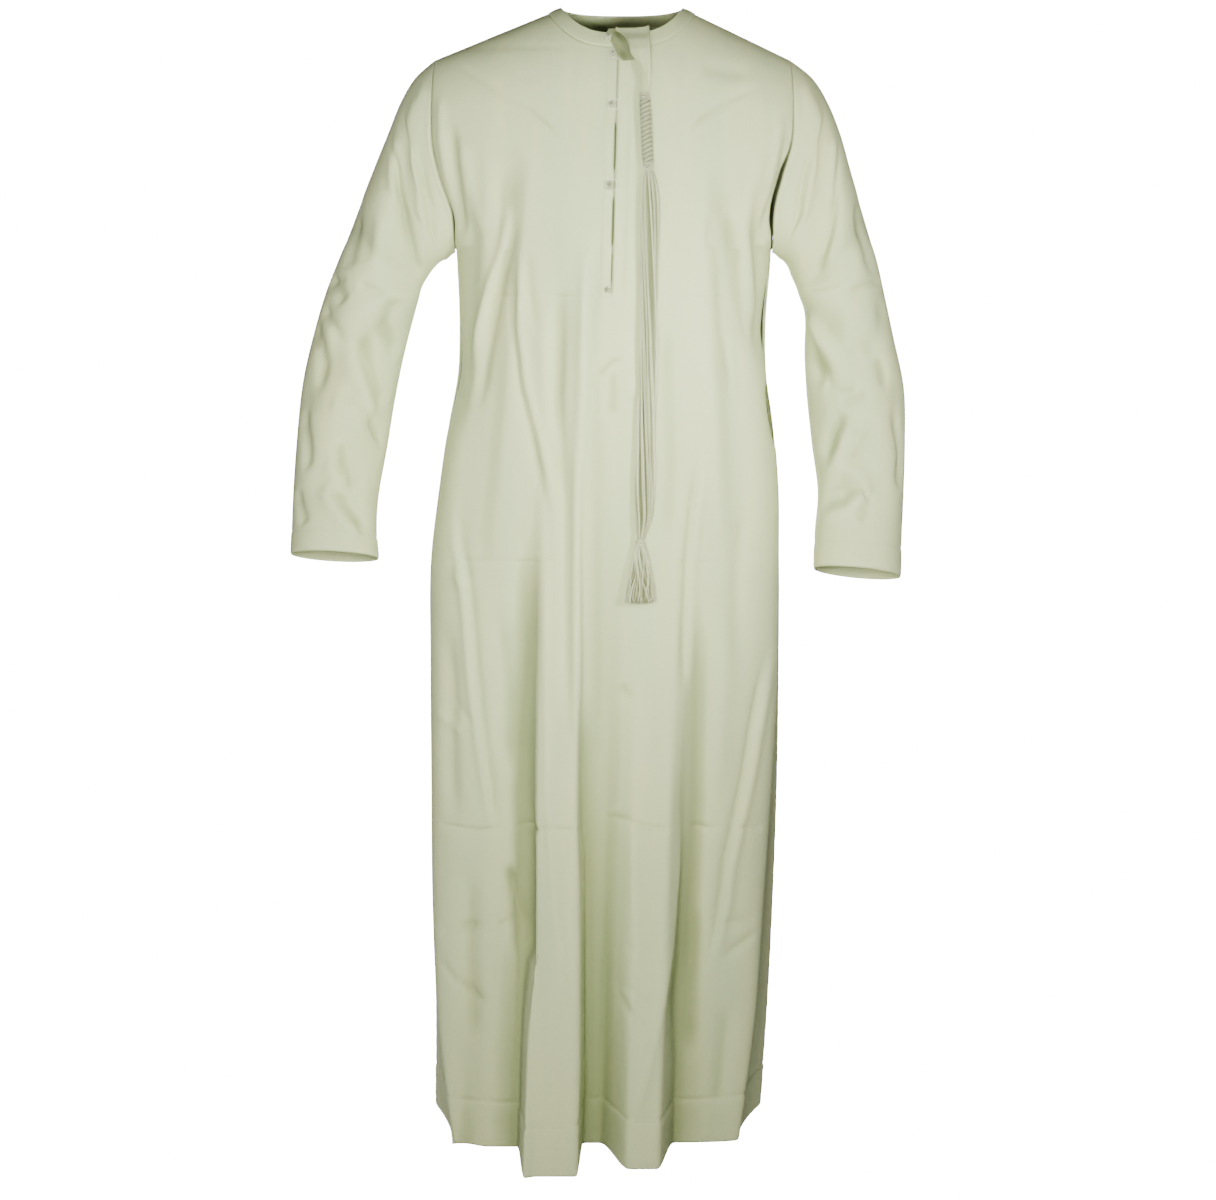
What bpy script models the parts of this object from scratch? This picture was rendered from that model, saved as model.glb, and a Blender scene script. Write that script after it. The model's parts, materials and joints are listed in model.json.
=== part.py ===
"""Ankle-length collarless thobe in the hollow form it takes when worn, with a tassel at the neck.

Frame: +Z is up and the front faces -Y.  The origin is the neck side point's height on the
shoulder line, where the wearer's shoulders hold the robe.  Left and right in the names of
sizes are the viewer's, at -X and +X.  Left and right in the names of sub-parts are the wearer's.
"""

import math
from typing import NamedTuple

import bmesh
import bpy
import numpy as np
from mathutils import Vector

# Driving sizes, in metres
HEM_Z = -1.402
ARMPIT_Z = -0.292
TIP_Z = -0.062
CLOTH = 0.0015
BAND_CLOTH = 0.002
SEAM_SHARE = 0.00034
BAND_SHARE = 0.0005
SEAT = 0.0003
TILTED_SEAT = 0.0008
UNDER_GAP = 0.0005

NECK_X = 0.012
NECK_RADIUS = 0.0735
BAND_WIDTH = 0.016
NECK_SEAM_RADIUS = NECK_RADIUS + BAND_WIDTH
NECK_FRONT_DROP = 0.035
NECK_BACK_DROP = 0.004
SEAM_FRONT_DROP = 0.052
SEAM_BACK_DROP = 0.020
NECK_SQUARE = 3.2
NECK_RISE = 0.010
BAND_RISE = 0.0008
BAND_DEPTH_SHARE = 0.86
SHOULDER_LEFT = -0.216
SHOULDER_RIGHT = 0.217
SHOULDER_ROUND = 0.085
NECK_ROUND = 0.035

ARMHOLE_FRONT = -0.068
ARMHOLE_BACK = 0.072
ARMHOLE_LEVEL_Z = -0.165
BACK_ARMHOLE_WIDER = 0.010
ARMHOLE_EDGE = 6
HANG_BELOW = 0.10
ARMHOLE_WIDENS = (-TIP_Z + 0.006, -TIP_Z + 0.06)
BACK_POWER_LOW = 0.88
BACK_POWER_HIGH = 1.35
BACK_POWER_TURN = (ARMPIT_Z - 0.08, ARMPIT_Z + 0.16)
BACK_TURN_IN = 1.6
EDGE_HOLD = 12

SLIT_TOP_X = 0.008
SLIT_END_X = -0.0015
SLIT_END_Z = -0.343
SLIT_GAP = 0.0016
BELOW_SLIT = 0.25
BELOW_SLIT_HALF = 0.005
PLACKET_HALF = 0.016

POCKET_TOP_Z = -0.445
POCKET_END_Z = -0.533
POCKET_GAPE = 0.007

UPPER_ROWS = 12
ROWS_TO_POCKET = 4
ROWS_AT_POCKET = 4
ROWS_TO_HEM = 13
SHOULDER_CELLS = 7
NECK_CELLS = 6
BACK_NECK_CELLS = 10
SLEEVE_RINGS = 19
SLEEVE_LENGTH = 0.60
SLEEVE_RADIUS = 0.058

TASSEL_X = 0.038
TAB_END_Z = -0.108


class BodySection(NamedTuple):
    """The robe's level section at height z: its reach each way, and where its side seams run."""

    z: float
    left: float
    right: float
    side_y: float
    seam_left: float
    seam_right: float
    seam_left_y: float
    seam_right_y: float
    front_y: float
    back_y: float
    front_power: float


BODY = (
    #           z       left    right   side_y  seam_l  seam_r  seam_ly seam_ry front_y back_y  power
    BodySection(0.010, -0.216, 0.217, 0.000, -0.216, 0.217, 0.000, 0.000, -0.096, 0.094, 1.50),
    BodySection(-0.062, -0.216, 0.217, 0.000, -0.216, 0.217, 0.000, 0.000, -0.108, 0.106, 1.50),
    BodySection(-0.120, -0.217, 0.218, 0.000, -0.217, 0.218, 0.000, 0.000, -0.118, 0.116, 1.50),
    BodySection(-0.165, -0.216, 0.216, 0.000, -0.216, 0.216, 0.000, 0.000, -0.125, 0.119, 1.45),
    BodySection(-0.205, -0.207, 0.205, 0.000, -0.207, 0.205, 0.000, 0.000, -0.129, 0.118, 1.30),
    BodySection(-0.245, -0.194, 0.196, 0.000, -0.194, 0.196, 0.000, 0.000, -0.131, 0.115, 1.10),
    BodySection(-0.292, -0.192, 0.196, 0.000, -0.192, 0.196, 0.000, 0.000, -0.131, 0.110, 0.95),
    BodySection(-0.386, -0.189, 0.190, 0.000, -0.189, 0.190, 0.000, 0.000, -0.129, 0.101, 0.85),
    BodySection(-0.440, -0.191, 0.191, 0.000, -0.191, 0.191, 0.000, 0.000, -0.127, 0.099, 0.82),
    BodySection(-0.505, -0.203, 0.200, 0.000, -0.203, 0.200, 0.000, 0.000, -0.125, 0.103, 0.80),
    BodySection(-0.585, -0.215, 0.207, 0.000, -0.215, 0.207, 0.000, 0.000, -0.122, 0.114, 0.78),
    BodySection(-0.665, -0.225, 0.209, 0.002, -0.225, 0.208, -0.002, -0.002, -0.119, 0.122, 0.76),
    BodySection(-0.800, -0.227, 0.210, 0.008, -0.227, 0.208, -0.006, -0.008, -0.115, 0.126, 0.74),
    BodySection(-0.950, -0.228, 0.210, 0.018, -0.227, 0.201, -0.012, -0.020, -0.108, 0.128, 0.70),
    BodySection(-1.100, -0.229, 0.207, 0.030, -0.226, 0.191, -0.026, -0.032, -0.100, 0.132, 0.64),
    BodySection(-1.250, -0.228, 0.202, 0.044, -0.219, 0.180, -0.050, -0.046, -0.092, 0.137, 0.56),
    BodySection(-1.402, -0.231, 0.195, 0.070, -0.200, 0.160, -0.086, -0.064, -0.082, 0.143, 0.50),
)


class SleeveRing(NamedTuple):
    """One ring of a sleeve: its outer and inner points, its middle depth and its own half depth."""

    outer_x: float
    outer_z: float
    inner_x: float
    inner_z: float
    y: float
    half_depth: float
    lean: float
    own: float


SLEEVE_AT_LEFT = (
    #          outer_x outer_z inner_x inner_z  y     half_depth lean own
    SleeveRing(-0.240, -0.083, -0.200, -0.300, 0.002, 0.071, 0.0, 0.12),
    SleeveRing(-0.258, -0.112, -0.204, -0.303, 0.002, 0.070, 0.0, 0.25),
    SleeveRing(-0.274, -0.150, -0.208, -0.304, 0.002, 0.069, 0.0, 0.40),
    SleeveRing(-0.291, -0.190, -0.213, -0.307, 0.003, 0.067, 0.0, 0.56),
    SleeveRing(-0.307, -0.229, -0.219, -0.313, 0.004, 0.066, 0.0, 0.72),
    SleeveRing(-0.322, -0.267, -0.226, -0.322, 0.006, 0.065, 0.0, 0.86),
    SleeveRing(-0.338, -0.305, -0.236, -0.340, 0.008, 0.064, 2.0, 1.00),
    SleeveRing(-0.355, -0.347, -0.244, -0.368, 0.011, 0.062, 3.0, 1.00),
    SleeveRing(-0.371, -0.400, -0.256, -0.413, 0.011, 0.061, 6.0, 1.00),
    SleeveRing(-0.384, -0.459, -0.268, -0.470, 0.002, 0.059, 10.0, 1.00),
    SleeveRing(-0.389, -0.520, -0.277, -0.529, -0.016, 0.055, 13.0, 1.00),
    SleeveRing(-0.392, -0.580, -0.287, -0.588, -0.036, 0.051, 14.0, 1.00),
    SleeveRing(-0.393, -0.622, -0.289, -0.629, -0.049, 0.048, 15.0, 1.00),
    SleeveRing(-0.394, -0.661, -0.286, -0.666, -0.060, 0.047, 15.0, 1.00),
)

SLEEVE_AT_RIGHT = (
    #          outer_x outer_z inner_x inner_z  y     half_depth lean own
    SleeveRing(0.244, -0.083, 0.204, -0.300, 0.002, 0.071, 0.0, 0.12),
    SleeveRing(0.263, -0.112, 0.208, -0.303, 0.002, 0.070, 0.0, 0.25),
    SleeveRing(0.279, -0.150, 0.210, -0.304, 0.002, 0.069, 0.0, 0.40),
    SleeveRing(0.291, -0.190, 0.213, -0.307, 0.003, 0.067, 0.0, 0.56),
    SleeveRing(0.303, -0.229, 0.217, -0.313, 0.004, 0.066, 0.0, 0.72),
    SleeveRing(0.315, -0.267, 0.221, -0.323, 0.006, 0.065, 0.0, 0.86),
    SleeveRing(0.327, -0.306, 0.229, -0.341, 0.008, 0.064, 2.0, 1.00),
    SleeveRing(0.337, -0.347, 0.238, -0.368, 0.011, 0.062, 3.0, 1.00),
    SleeveRing(0.349, -0.400, 0.238, -0.412, 0.011, 0.061, 6.0, 1.00),
    SleeveRing(0.362, -0.462, 0.241, -0.468, 0.002, 0.059, 10.0, 1.00),
    SleeveRing(0.362, -0.524, 0.246, -0.524, -0.016, 0.055, 13.0, 1.00),
    SleeveRing(0.359, -0.587, 0.253, -0.583, -0.036, 0.051, 14.0, 1.00),
    SleeveRing(0.356, -0.640, 0.249, -0.632, -0.049, 0.048, 15.0, 1.00),
    SleeveRing(0.354, -0.689, 0.247, -0.678, -0.062, 0.047, 15.0, 1.00),
)


class Fold(NamedTuple):
    """A fold that runs down a panel: its crest's left and right edges, flanks and depth, top and foot."""

    top_z: float
    foot_z: float
    top_left: float
    top_right: float
    foot_left: float
    foot_right: float
    left_flank: float
    right_flank: float
    top_depth: float
    foot_depth: float
    growth: float


FRONT_FOLDS = (
    #    top_z  foot_z  top_l   top_r   foot_l  foot_r  flank_l flank_r top_d  foot_d growth
    Fold(-0.56, -1.402, -0.080, -0.044, -0.106, -0.043, 0.013, 0.007, 0.004, 0.122, 2.0),
    Fold(-0.62, -1.402, 0.040, 0.078, 0.021, 0.055, 0.037, 0.023, 0.003, 0.096, 2.0),
    Fold(-0.95, -1.402, -0.150, -0.125, -0.155, -0.122, 0.035, 0.030, 0.000, 0.014, 1.0),
    Fold(-0.20, -0.62, -0.123, -0.118, -0.178, -0.160, 0.030, 0.022, -0.009, -0.006, 1.0),
    Fold(-0.22, -0.60, 0.130, 0.136, 0.150, 0.158, 0.022, 0.030, -0.009, -0.005, 1.0),
    Fold(-0.28, -0.80, -0.050, -0.036, -0.062, -0.034, 0.020, 0.020, 0.003, 0.007, 1.0),
)

BACK_FOLDS = (
    #    top_z  foot_z  top_l   top_r   foot_l  foot_r  flank_l flank_r top_d  foot_d growth
    Fold(-0.60, -1.402, -0.120, -0.085, -0.150, -0.100, 0.032, 0.026, 0.004, 0.046, 1.6),
    Fold(-0.55, -1.402, -0.012, 0.018, -0.024, 0.022, 0.030, 0.034, 0.004, 0.052, 1.6),
    Fold(-0.66, -1.402, 0.090, 0.120, 0.094, 0.136, 0.026, 0.030, 0.003, 0.040, 1.6),
    Fold(-0.24, -0.60, -0.090, -0.075, -0.100, -0.080, 0.030, 0.030, -0.008, -0.006, 1.0),
    Fold(-0.24, -0.60, 0.070, 0.085, 0.082, 0.100, 0.030, 0.030, -0.008, -0.006, 1.0),
)


class SleeveFold(NamedTuple):
    """A fold across or along a sleeve, from one place to another, as share of length and turn."""

    start_share: float
    start_turn: float
    end_share: float
    end_turn: float
    half_width: float
    depth: float


SLEEVE_FOLDS = (
    #          start  turn   end    turn   half_w  depth
    SleeveFold(0.08, 62.0, 0.42, 122.0, 0.024, -0.009),
    SleeveFold(0.40, 20.0, 0.47, 130.0, 0.022, -0.006),
    SleeveFold(0.52, 150.0, 0.62, 60.0, 0.024, 0.005),
    SleeveFold(0.62, 120.0, 0.72, 40.0, 0.022, -0.005),
    SleeveFold(0.76, 150.0, 0.86, 80.0, 0.022, -0.005),
    SleeveFold(0.34, 300.0, 0.50, 230.0, 0.028, -0.007),
    SleeveFold(0.55, 320.0, 0.66, 230.0, 0.026, -0.005),
)


def table_at(table, key, value):
    """The table's row at this value of one column, as a smooth curve through its rows."""
    rows = np.array(table, float)
    keys = rows[:, table[0]._fields.index(key)]
    if keys[0] > keys[-1]:
        rows, keys = rows[::-1], keys[::-1]
    value = min(max(value, keys[0]), keys[-1])
    low = min(int(np.searchsorted(keys, value, side="right")) - 1, len(keys) - 2)
    slopes = np.gradient(rows, keys, axis=0)
    span = keys[low + 1] - keys[low]
    share = (value - keys[low]) / span
    rise = share * share * (3 - 2 * share)
    start = share * (1 - share) ** 2 * span
    end = share * share * (share - 1) * span
    mixed = rows[low] + rise * (rows[low + 1] - rows[low]) + start * slopes[low] + end * slopes[low + 1]
    return type(table[0])(*mixed)


def ramp(value, low, high):
    """0 below low, 1 above high, and smooth between them."""
    share = min(max((value - low) / (high - low), 0.0), 1.0)
    return share * share * (3 - 2 * share)


def fold_depth(folds, x, z):
    """How far the folds move the cloth out at this place."""
    total = 0.0
    for fold in folds:
        run = (fold.top_z - z) / (fold.top_z - fold.foot_z)
        share = min(max(run, 0.0), 1.0)
        left = fold.top_left + (fold.foot_left - fold.top_left) * share
        right = fold.top_right + (fold.foot_right - fold.top_right) * share
        crest = ramp(x, left - fold.left_flank, left) * (1 - ramp(x, right, right + fold.right_flank))
        depth = fold.top_depth + (fold.foot_depth - fold.top_depth) * share**fold.growth
        total += crest * depth * ramp(run, -0.12, 0.08) * (1 - ramp(run, 1.01, 1.2))
    return total


def ridge_z(x):
    """Height of the shoulder line at x, which goes on level across the neck."""
    from_neck = abs(x - NECK_X)
    if from_neck < NECK_RADIUS:
        return NECK_RISE * (1 - (from_neck / NECK_RADIUS) ** 2)
    tip = SHOULDER_LEFT if x < NECK_X else SHOULDER_RIGHT
    return TIP_Z * (from_neck - NECK_RADIUS) / (abs(tip - NECK_X) - NECK_RADIUS)


def neck_seam_z(x, drop):
    """Height of the neck band's seam at x, for the front's or the back's drop."""
    across = min(abs(x - NECK_X) / NECK_SEAM_RADIUS, 1.0)
    return ridge_z(NECK_X + NECK_SEAM_RADIUS) * across**NECK_SQUARE - drop * (1 - across**NECK_SQUARE)


def shoulder_share(x, z):
    """How much of its full depth the body has under the rounded shoulder line."""
    outward = min(abs(x - NECK_X) / SHOULDER_RIGHT, 1.0)
    reach = SHOULDER_ROUND + NECK_ROUND * (1 - outward)
    fall = 1 - min(max(ridge_z(x) - z, 0.0) / reach, 1.0)
    return math.sqrt(1 - fall * fall)


def armhole_y(z, reach):
    """Depth of the armhole's front or back edge at height z: level at first, then round the armpit."""
    if z >= ARMHOLE_LEVEL_Z:
        return reach
    turn = min((ARMHOLE_LEVEL_Z - z) / (ARMHOLE_LEVEL_Z - ARMPIT_Z), 1.0)
    return reach * math.sqrt(1 - turn * turn)


def hang_y(z, reach):
    """Depth that the cloth beside the armhole hangs at, which fades out below the armpit."""
    return reach * ramp(z, ARMPIT_Z - HANG_BELOW, ARMHOLE_LEVEL_Z)


def slit_x(z):
    """Where the front slit runs at height z."""
    share = min(max(-z / -SLIT_END_Z, 0.0), 1.0)
    return SLIT_TOP_X + (SLIT_END_X - SLIT_TOP_X) * share


def front_point(turn, z):
    """Point of the front panel at this turn from its middle, in degrees, and this height."""
    row = table_at(BODY, "z", z)
    angle = math.radians(turn)
    middle = (row.seam_left + row.seam_right) / 2
    half = (row.seam_right - row.seam_left) / 2
    x = middle + half * math.sin(angle)
    edge_y = row.seam_left_y + (row.seam_right_y - row.seam_left_y) * (math.sin(angle) + 1) / 2
    base = edge_y + hang_y(z, ARMHOLE_FRONT)
    y = base + (row.front_y - base) * max(math.cos(angle), 0.0) ** row.front_power
    y += (armhole_y(z, ARMHOLE_FRONT) - hang_y(z, ARMHOLE_FRONT)) * abs(math.sin(angle)) ** ARMHOLE_EDGE
    y *= shoulder_share(x, z)
    hold = 1 - abs(math.sin(angle)) ** EDGE_HOLD
    return np.array([x, y - hold * fold_depth(FRONT_FOLDS, x, z), z])


def back_point(turn_share, z):
    """Point of the back panel, from its seam at -1 (viewer's left) to its seam at 1."""
    row = table_at(BODY, "z", z)
    middle = (row.left + row.right) / 2
    half = (row.right - row.left) / 2
    seam = row.seam_right if turn_share > 0 else row.seam_left
    seam_y = row.seam_right_y if turn_share > 0 else row.seam_left_y
    past = math.acos(min(abs(seam - middle) / half, 1.0))
    angle = abs(turn_share) * (math.pi / 2 + past)
    side = math.copysign(1.0, turn_share)
    power = BACK_POWER_LOW + (BACK_POWER_HIGH - BACK_POWER_LOW) * ramp(z, *BACK_POWER_TURN)
    armhole = armhole_y(z, ARMHOLE_BACK)
    hang = hang_y(z, ARMHOLE_BACK)
    if angle <= math.pi / 2:
        widest = BACK_ARMHOLE_WIDER * armhole / ARMHOLE_BACK * ramp(-z, *ARMHOLE_WIDENS)
        x = middle + side * (half * math.sin(angle) + widest * math.sin(angle) ** 2)
        base = row.side_y + hang
        y = base + (row.back_y - base) * math.cos(angle) ** power
    else:
        forward = (angle - math.pi / 2) / past
        x = seam + side * (half - abs(seam - middle)) * (1 - forward) ** BACK_TURN_IN
        y = row.side_y + (seam_y - row.side_y) * forward + hang
    y += (armhole - hang) * abs(turn_share) ** ARMHOLE_EDGE
    y *= shoulder_share(x, z)
    hold = 1 - abs(turn_share) ** EDGE_HOLD
    return np.array([x, y + hold * fold_depth(BACK_FOLDS, x, z), z])


def lower_heights():
    """Heights of the rows from the armpit to the hem, close together at the pocket."""
    first = np.linspace(ARMPIT_Z, POCKET_TOP_Z, ROWS_TO_POCKET + 1)
    pocket = np.linspace(POCKET_TOP_Z, POCKET_END_Z, ROWS_AT_POCKET + 1)
    last = np.linspace(POCKET_END_Z, HEM_Z, ROWS_TO_HEM + 1)
    return np.concatenate([first[1:], pocket[1:], last[1:]])


def upper_height(top, row):
    """Height of one of the rows from a column's top to the armpit, closest at both ends."""
    share = (1 - math.cos(math.pi * row / UPPER_ROWS)) / 2
    return top + (ARMPIT_Z - top) * share


def turns_between(x_values, cells):
    """Turns of the columns from one x to the next at shoulder height, with this many cells each."""
    middle = (SHOULDER_LEFT + SHOULDER_RIGHT) / 2
    half = (SHOULDER_RIGHT - SHOULDER_LEFT) / 2
    knots = [math.degrees(math.asin(max(-1.0, min(1.0, (x - middle) / half)))) for x in x_values]
    turns = [knots[0]]
    for start, end, count in zip(knots, knots[1:], cells):
        turns.extend(np.linspace(start, end, count + 1)[1:])
    return turns


class Garment:
    """The robe's whole surface as one welded sheet, whose faces are labelled with their piece."""

    def __init__(self):
        """Starts with no points and no faces."""
        self.points = []
        self.faces = {}

    def add_point(self, point):
        """Adds a point and gives its number."""
        self.points.append(np.asarray(point, float))
        return len(self.points) - 1

    def add_face(self, piece, corners):
        """Adds a face, its corners anticlockwise as seen from outside."""
        self.faces.setdefault(piece, []).append(tuple(corners))

    def normals(self):
        """Outward direction at every point: each face that meets there counts by its angle."""
        points = np.array(self.points)
        total = np.zeros_like(points)
        for face in [face for faces in self.faces.values() for face in faces]:
            for before, corner, after in zip(face[-1:] + face[:-1], face, face[1:] + face[:1]):
                ahead = points[after] - points[corner]
                behind = points[before] - points[corner]
                cross = np.cross(ahead, behind)
                area = np.linalg.norm(cross)
                total[corner] += cross / area * math.atan2(area, ahead @ behind)
        return total / np.linalg.norm(total, axis=1)[:, None]


def make_front(garment):
    """Adds the front panel and gives its point numbers, row by row from the top."""
    knots = [
        SHOULDER_LEFT,
        NECK_X - NECK_SEAM_RADIUS,
        SLIT_TOP_X - PLACKET_HALF,
        SLIT_TOP_X - SLIT_GAP / 2,
        SLIT_TOP_X + SLIT_GAP / 2,
        SLIT_TOP_X + PLACKET_HALF,
        NECK_X + NECK_SEAM_RADIUS,
        SHOULDER_RIGHT,
    ]
    cells = [SHOULDER_CELLS, NECK_CELLS, 1, 1, 1, NECK_CELLS, SHOULDER_CELLS]
    turns = turns_between(knots, cells)
    slit = SHOULDER_CELLS + NECK_CELLS + 1
    columns = []
    for number, turn in enumerate(turns):
        x = front_point(turn, TIP_Z)[0]
        in_neck = SHOULDER_CELLS < number < len(turns) - 1 - SHOULDER_CELLS
        top = neck_seam_z(x, SEAM_FRONT_DROP) if in_neck else ridge_z(x)
        heights = [upper_height(top, row) for row in range(UPPER_ROWS + 1)]
        heights.extend(lower_heights())
        near = max(1 - abs(number - slit - 0.5) / (NECK_CELLS + 2), 0.0)
        column = []
        for z in heights:
            lean = math.degrees((slit_x(z) - SLIT_TOP_X) * near / SHOULDER_RIGHT)
            column.append(garment.add_point(front_point(turn + lean, z)))
        columns.append(column)
    straighten_slit(garment, columns, slit)
    for number in range(len(turns) - 1):
        for row in range(len(columns[0]) - 1):
            left, right = columns[number], columns[number + 1]
            middle_z = garment.points[left[row + 1]][2]
            if number == slit and middle_z > SLIT_END_Z:
                continue
            garment.add_face("front_panel", (left[row + 1], right[row + 1], right[row], left[row]))
    return columns, slit


def straighten_slit(garment, columns, slit):
    """Moves the columns beside the slit so that its edges run true, and the cells below it widen."""
    for row in range(len(columns[slit])):
        z = garment.points[columns[slit][row]][2]
        centre = slit_x(z)
        below = ramp(SLIT_END_Z - z, 0.0, BELOW_SLIT)
        half_gap = SLIT_GAP / 2 + below * BELOW_SLIT_HALF
        offsets = (-PLACKET_HALF, -half_gap, half_gap, PLACKET_HALF)
        for offset, column in zip(offsets, columns[slit - 1 : slit + 3]):
            old = garment.points[column[row]]
            moved = centre + offset
            depth = shoulder_share(moved, z) / max(shoulder_share(old[0], z), 1e-6)
            garment.points[column[row]] = np.array([moved, old[1] * depth, z])


def make_back(garment, front_columns):
    """Adds the back panel, which shares the front's points along the shoulders and side seams."""
    shoulder = turns_between([SHOULDER_LEFT, NECK_X - NECK_SEAM_RADIUS], [SHOULDER_CELLS])
    far_shoulder = turns_between([NECK_X + NECK_SEAM_RADIUS, SHOULDER_RIGHT], [SHOULDER_CELLS])
    neck = np.linspace(shoulder[-1], far_shoulder[0], BACK_NECK_CELLS + 1)[1:-1]
    turns = shoulder + list(neck) + far_shoulder
    columns = []
    last = len(turns) - 1
    for number, turn in enumerate(turns):
        in_neck = SHOULDER_CELLS < number < last - SHOULDER_CELLS
        at_edge = number in (0, last)
        x = back_point(turn / 90, TIP_Z)[0]
        top = neck_seam_z(x, SEAM_BACK_DROP) if in_neck else ridge_z(x)
        heights = [upper_height(top, row) for row in range(UPPER_ROWS + 1)]
        heights.extend(lower_heights())
        column = []
        matching = number if number <= SHOULDER_CELLS else number - last - 1
        for row, z in enumerate(heights):
            if (row == 0 and not in_neck) or (at_edge and row >= UPPER_ROWS):
                column.append(front_columns[matching][row])
            else:
                column.append(garment.add_point(back_point(turn / 90, z)))
        columns.append(column)
    for left, right in zip(columns, columns[1:]):
        for row in range(len(left) - 1):
            garment.add_face("back_panel", (left[row], right[row], right[row + 1], left[row + 1]))
    return columns


def make_neck_band(garment, front_columns, back_columns, slit):
    """Adds the band: a strip from the neck seam in to the neckline, open at the slit."""
    top = [column[0] for column in front_columns]
    last = len(top) - 1
    right = top[slit + 1 : last - SHOULDER_CELLS + 1]
    left = top[SHOULDER_CELLS : slit + 1]
    back = [column[0] for column in back_columns[SHOULDER_CELLS + 1 : -SHOULDER_CELLS - 1]]
    seam = right + back[::-1] + left
    rows = [seam]
    narrow = NECK_RADIUS / NECK_SEAM_RADIUS
    edge = []
    for number in seam:
        x, y, _ = garment.points[number]
        across = min(abs(x - NECK_X) / NECK_SEAM_RADIUS, 1.0)
        drop = NECK_FRONT_DROP if y < 0 else NECK_BACK_DROP
        z = -drop * (1 - across**NECK_SQUARE)
        edge.append(np.array([NECK_X + (x - NECK_X) * narrow, y * BAND_DEPTH_SHARE, z]))
    middle = []
    for number, point in zip(seam, edge):
        halfway = (garment.points[number] + point) / 2
        middle.append(garment.add_point(halfway + np.array([0.0, 0.0, BAND_RISE])))
    rows.append(middle)
    rows.append([garment.add_point(point) for point in edge])
    for low, high in zip(rows, rows[1:]):
        for start in range(len(low) - 1):
            garment.add_face("neck_band", (low[start], low[start + 1], high[start + 1], high[start]))
    return rows


def sleeve_relief(share, turn):
    """How far the sleeve's folds move its cloth out at this share of its length and this turn."""
    total = 0.0
    for fold in SLEEVE_FOLDS:
        start = np.array([fold.start_share * SLEEVE_LENGTH, math.radians(fold.start_turn) * SLEEVE_RADIUS])
        end = np.array([fold.end_share * SLEEVE_LENGTH, math.radians(fold.end_turn) * SLEEVE_RADIUS])
        run = end - start
        away = np.array([share * SLEEVE_LENGTH, math.radians(turn) * SLEEVE_RADIUS]) - start
        along = min(max(away @ run / (run @ run), 0.0), 1.0)
        gap = np.linalg.norm(away - run * along)
        total += fold.depth * math.exp(-((gap / fold.half_width) ** 2))
    return total


def make_sleeve(garment, piece, table, front_edge, back_edge):
    """Adds a sleeve from the armhole's points down to the cuff."""
    ring = list(front_edge[: UPPER_ROWS + 1]) + list(back_edge[1:UPPER_ROWS])[::-1]
    armhole = np.array([garment.points[number] for number in ring])
    top, foot = armhole[0], armhole[UPPER_ROWS]
    axis = (top - foot) / 2
    centre = (top + foot) / 2
    length = np.linalg.norm(axis)
    outward = np.array([math.copysign(1.0, centre[0]), 0.0, 0.0])
    shape = armhole - centre
    up = shape @ axis / length**2
    depth = shape[:, 1] / armhole[:, 1].max()
    bulge = shape @ outward - up * (axis @ outward)
    turns = [360.0 * number / len(ring) for number in range(len(ring))]
    steps = np.linspace(0, len(table) - 1, SLEEVE_RINGS)
    rows = [ring]
    for number, step in enumerate(steps):
        low = min(int(step), len(table) - 2)
        row = spline_row(table, low, step - low)
        out = np.array([row.outer_x, row.y, row.outer_z])
        inner = np.array([row.inner_x, row.y, row.inner_z])
        middle = (out + inner) / 2
        reach = (out - inner) / 2
        lean = math.radians(row.lean)
        forward = np.array([0.0, -math.cos(lean), math.sin(lean)])
        away = np.cross(reach, forward)
        away *= math.copysign(1.0, away @ outward) / np.linalg.norm(away)
        share = (number + 1) / len(steps)
        new = []
        for index, turn in enumerate(turns):
            angle = math.radians(turn)
            ratio = (1 - row.own) * up[index] + row.own * math.cos(angle)
            side = (1 - row.own) * -depth[index] + row.own * math.sin(angle)
            point = middle + reach * ratio + forward * row.half_depth * side
            point = point + away * bulge[index] * (1 - row.own)
            spoke = reach / np.linalg.norm(reach) * math.cos(angle) + forward * math.sin(angle)
            fade = ramp(share, 0.05, 0.2) * (1 - ramp(share, 0.93, 1.0))
            new.append(garment.add_point(point + spoke * fade * sleeve_relief(share, turn)))
        rows.append(new)
    for upper, lower in zip(rows, rows[1:]):
        for start in range(len(ring)):
            end = (start + 1) % len(ring)
            corners = (upper[start], lower[start], lower[end], upper[end])
            garment.add_face(piece, corners if outward[0] < 0 else corners[::-1])
    return rows


def spline_row(table, low, share):
    """A row between two rows of the table, on a smooth curve through its neighbours."""
    rows = [np.array(table[min(max(low + step, 0), len(table) - 1)]) for step in (-1, 0, 1, 2)]
    before, start, end, after = rows
    out = (end - before) / 2
    into = (after - start) / 2
    rise = share * share * (3 - 2 * share)
    mixed = start + rise * (end - start) + share * (1 - share) ** 2 * out + share * share * (share - 1) * into
    return type(table[0])(*mixed)


def wall_mesh(name, faces, outer, inner):
    """A closed wall between outer and inner points, over these faces."""
    numbers = sorted({corner for face in faces for corner in face})
    place = {number: index for index, number in enumerate(numbers)}
    bm = bmesh.new()
    out = [bm.verts.new(outer[number]) for number in numbers]
    inside = [bm.verts.new(inner[number]) for number in numbers]
    edges = {}
    for face in faces:
        corners = [place[number] for number in face]
        bm.faces.new([out[index] for index in corners])
        bm.faces.new([inside[index] for index in corners[:1] + corners[:0:-1]])
        for start, end in zip(corners, corners[1:] + corners[:1]):
            edges[start, end] = True
    for start, end in edges:
        if (end, start) not in edges:
            bm.faces.new([out[end], out[start], inside[start], inside[end]])
    return mesh_from(name, bm)


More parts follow.
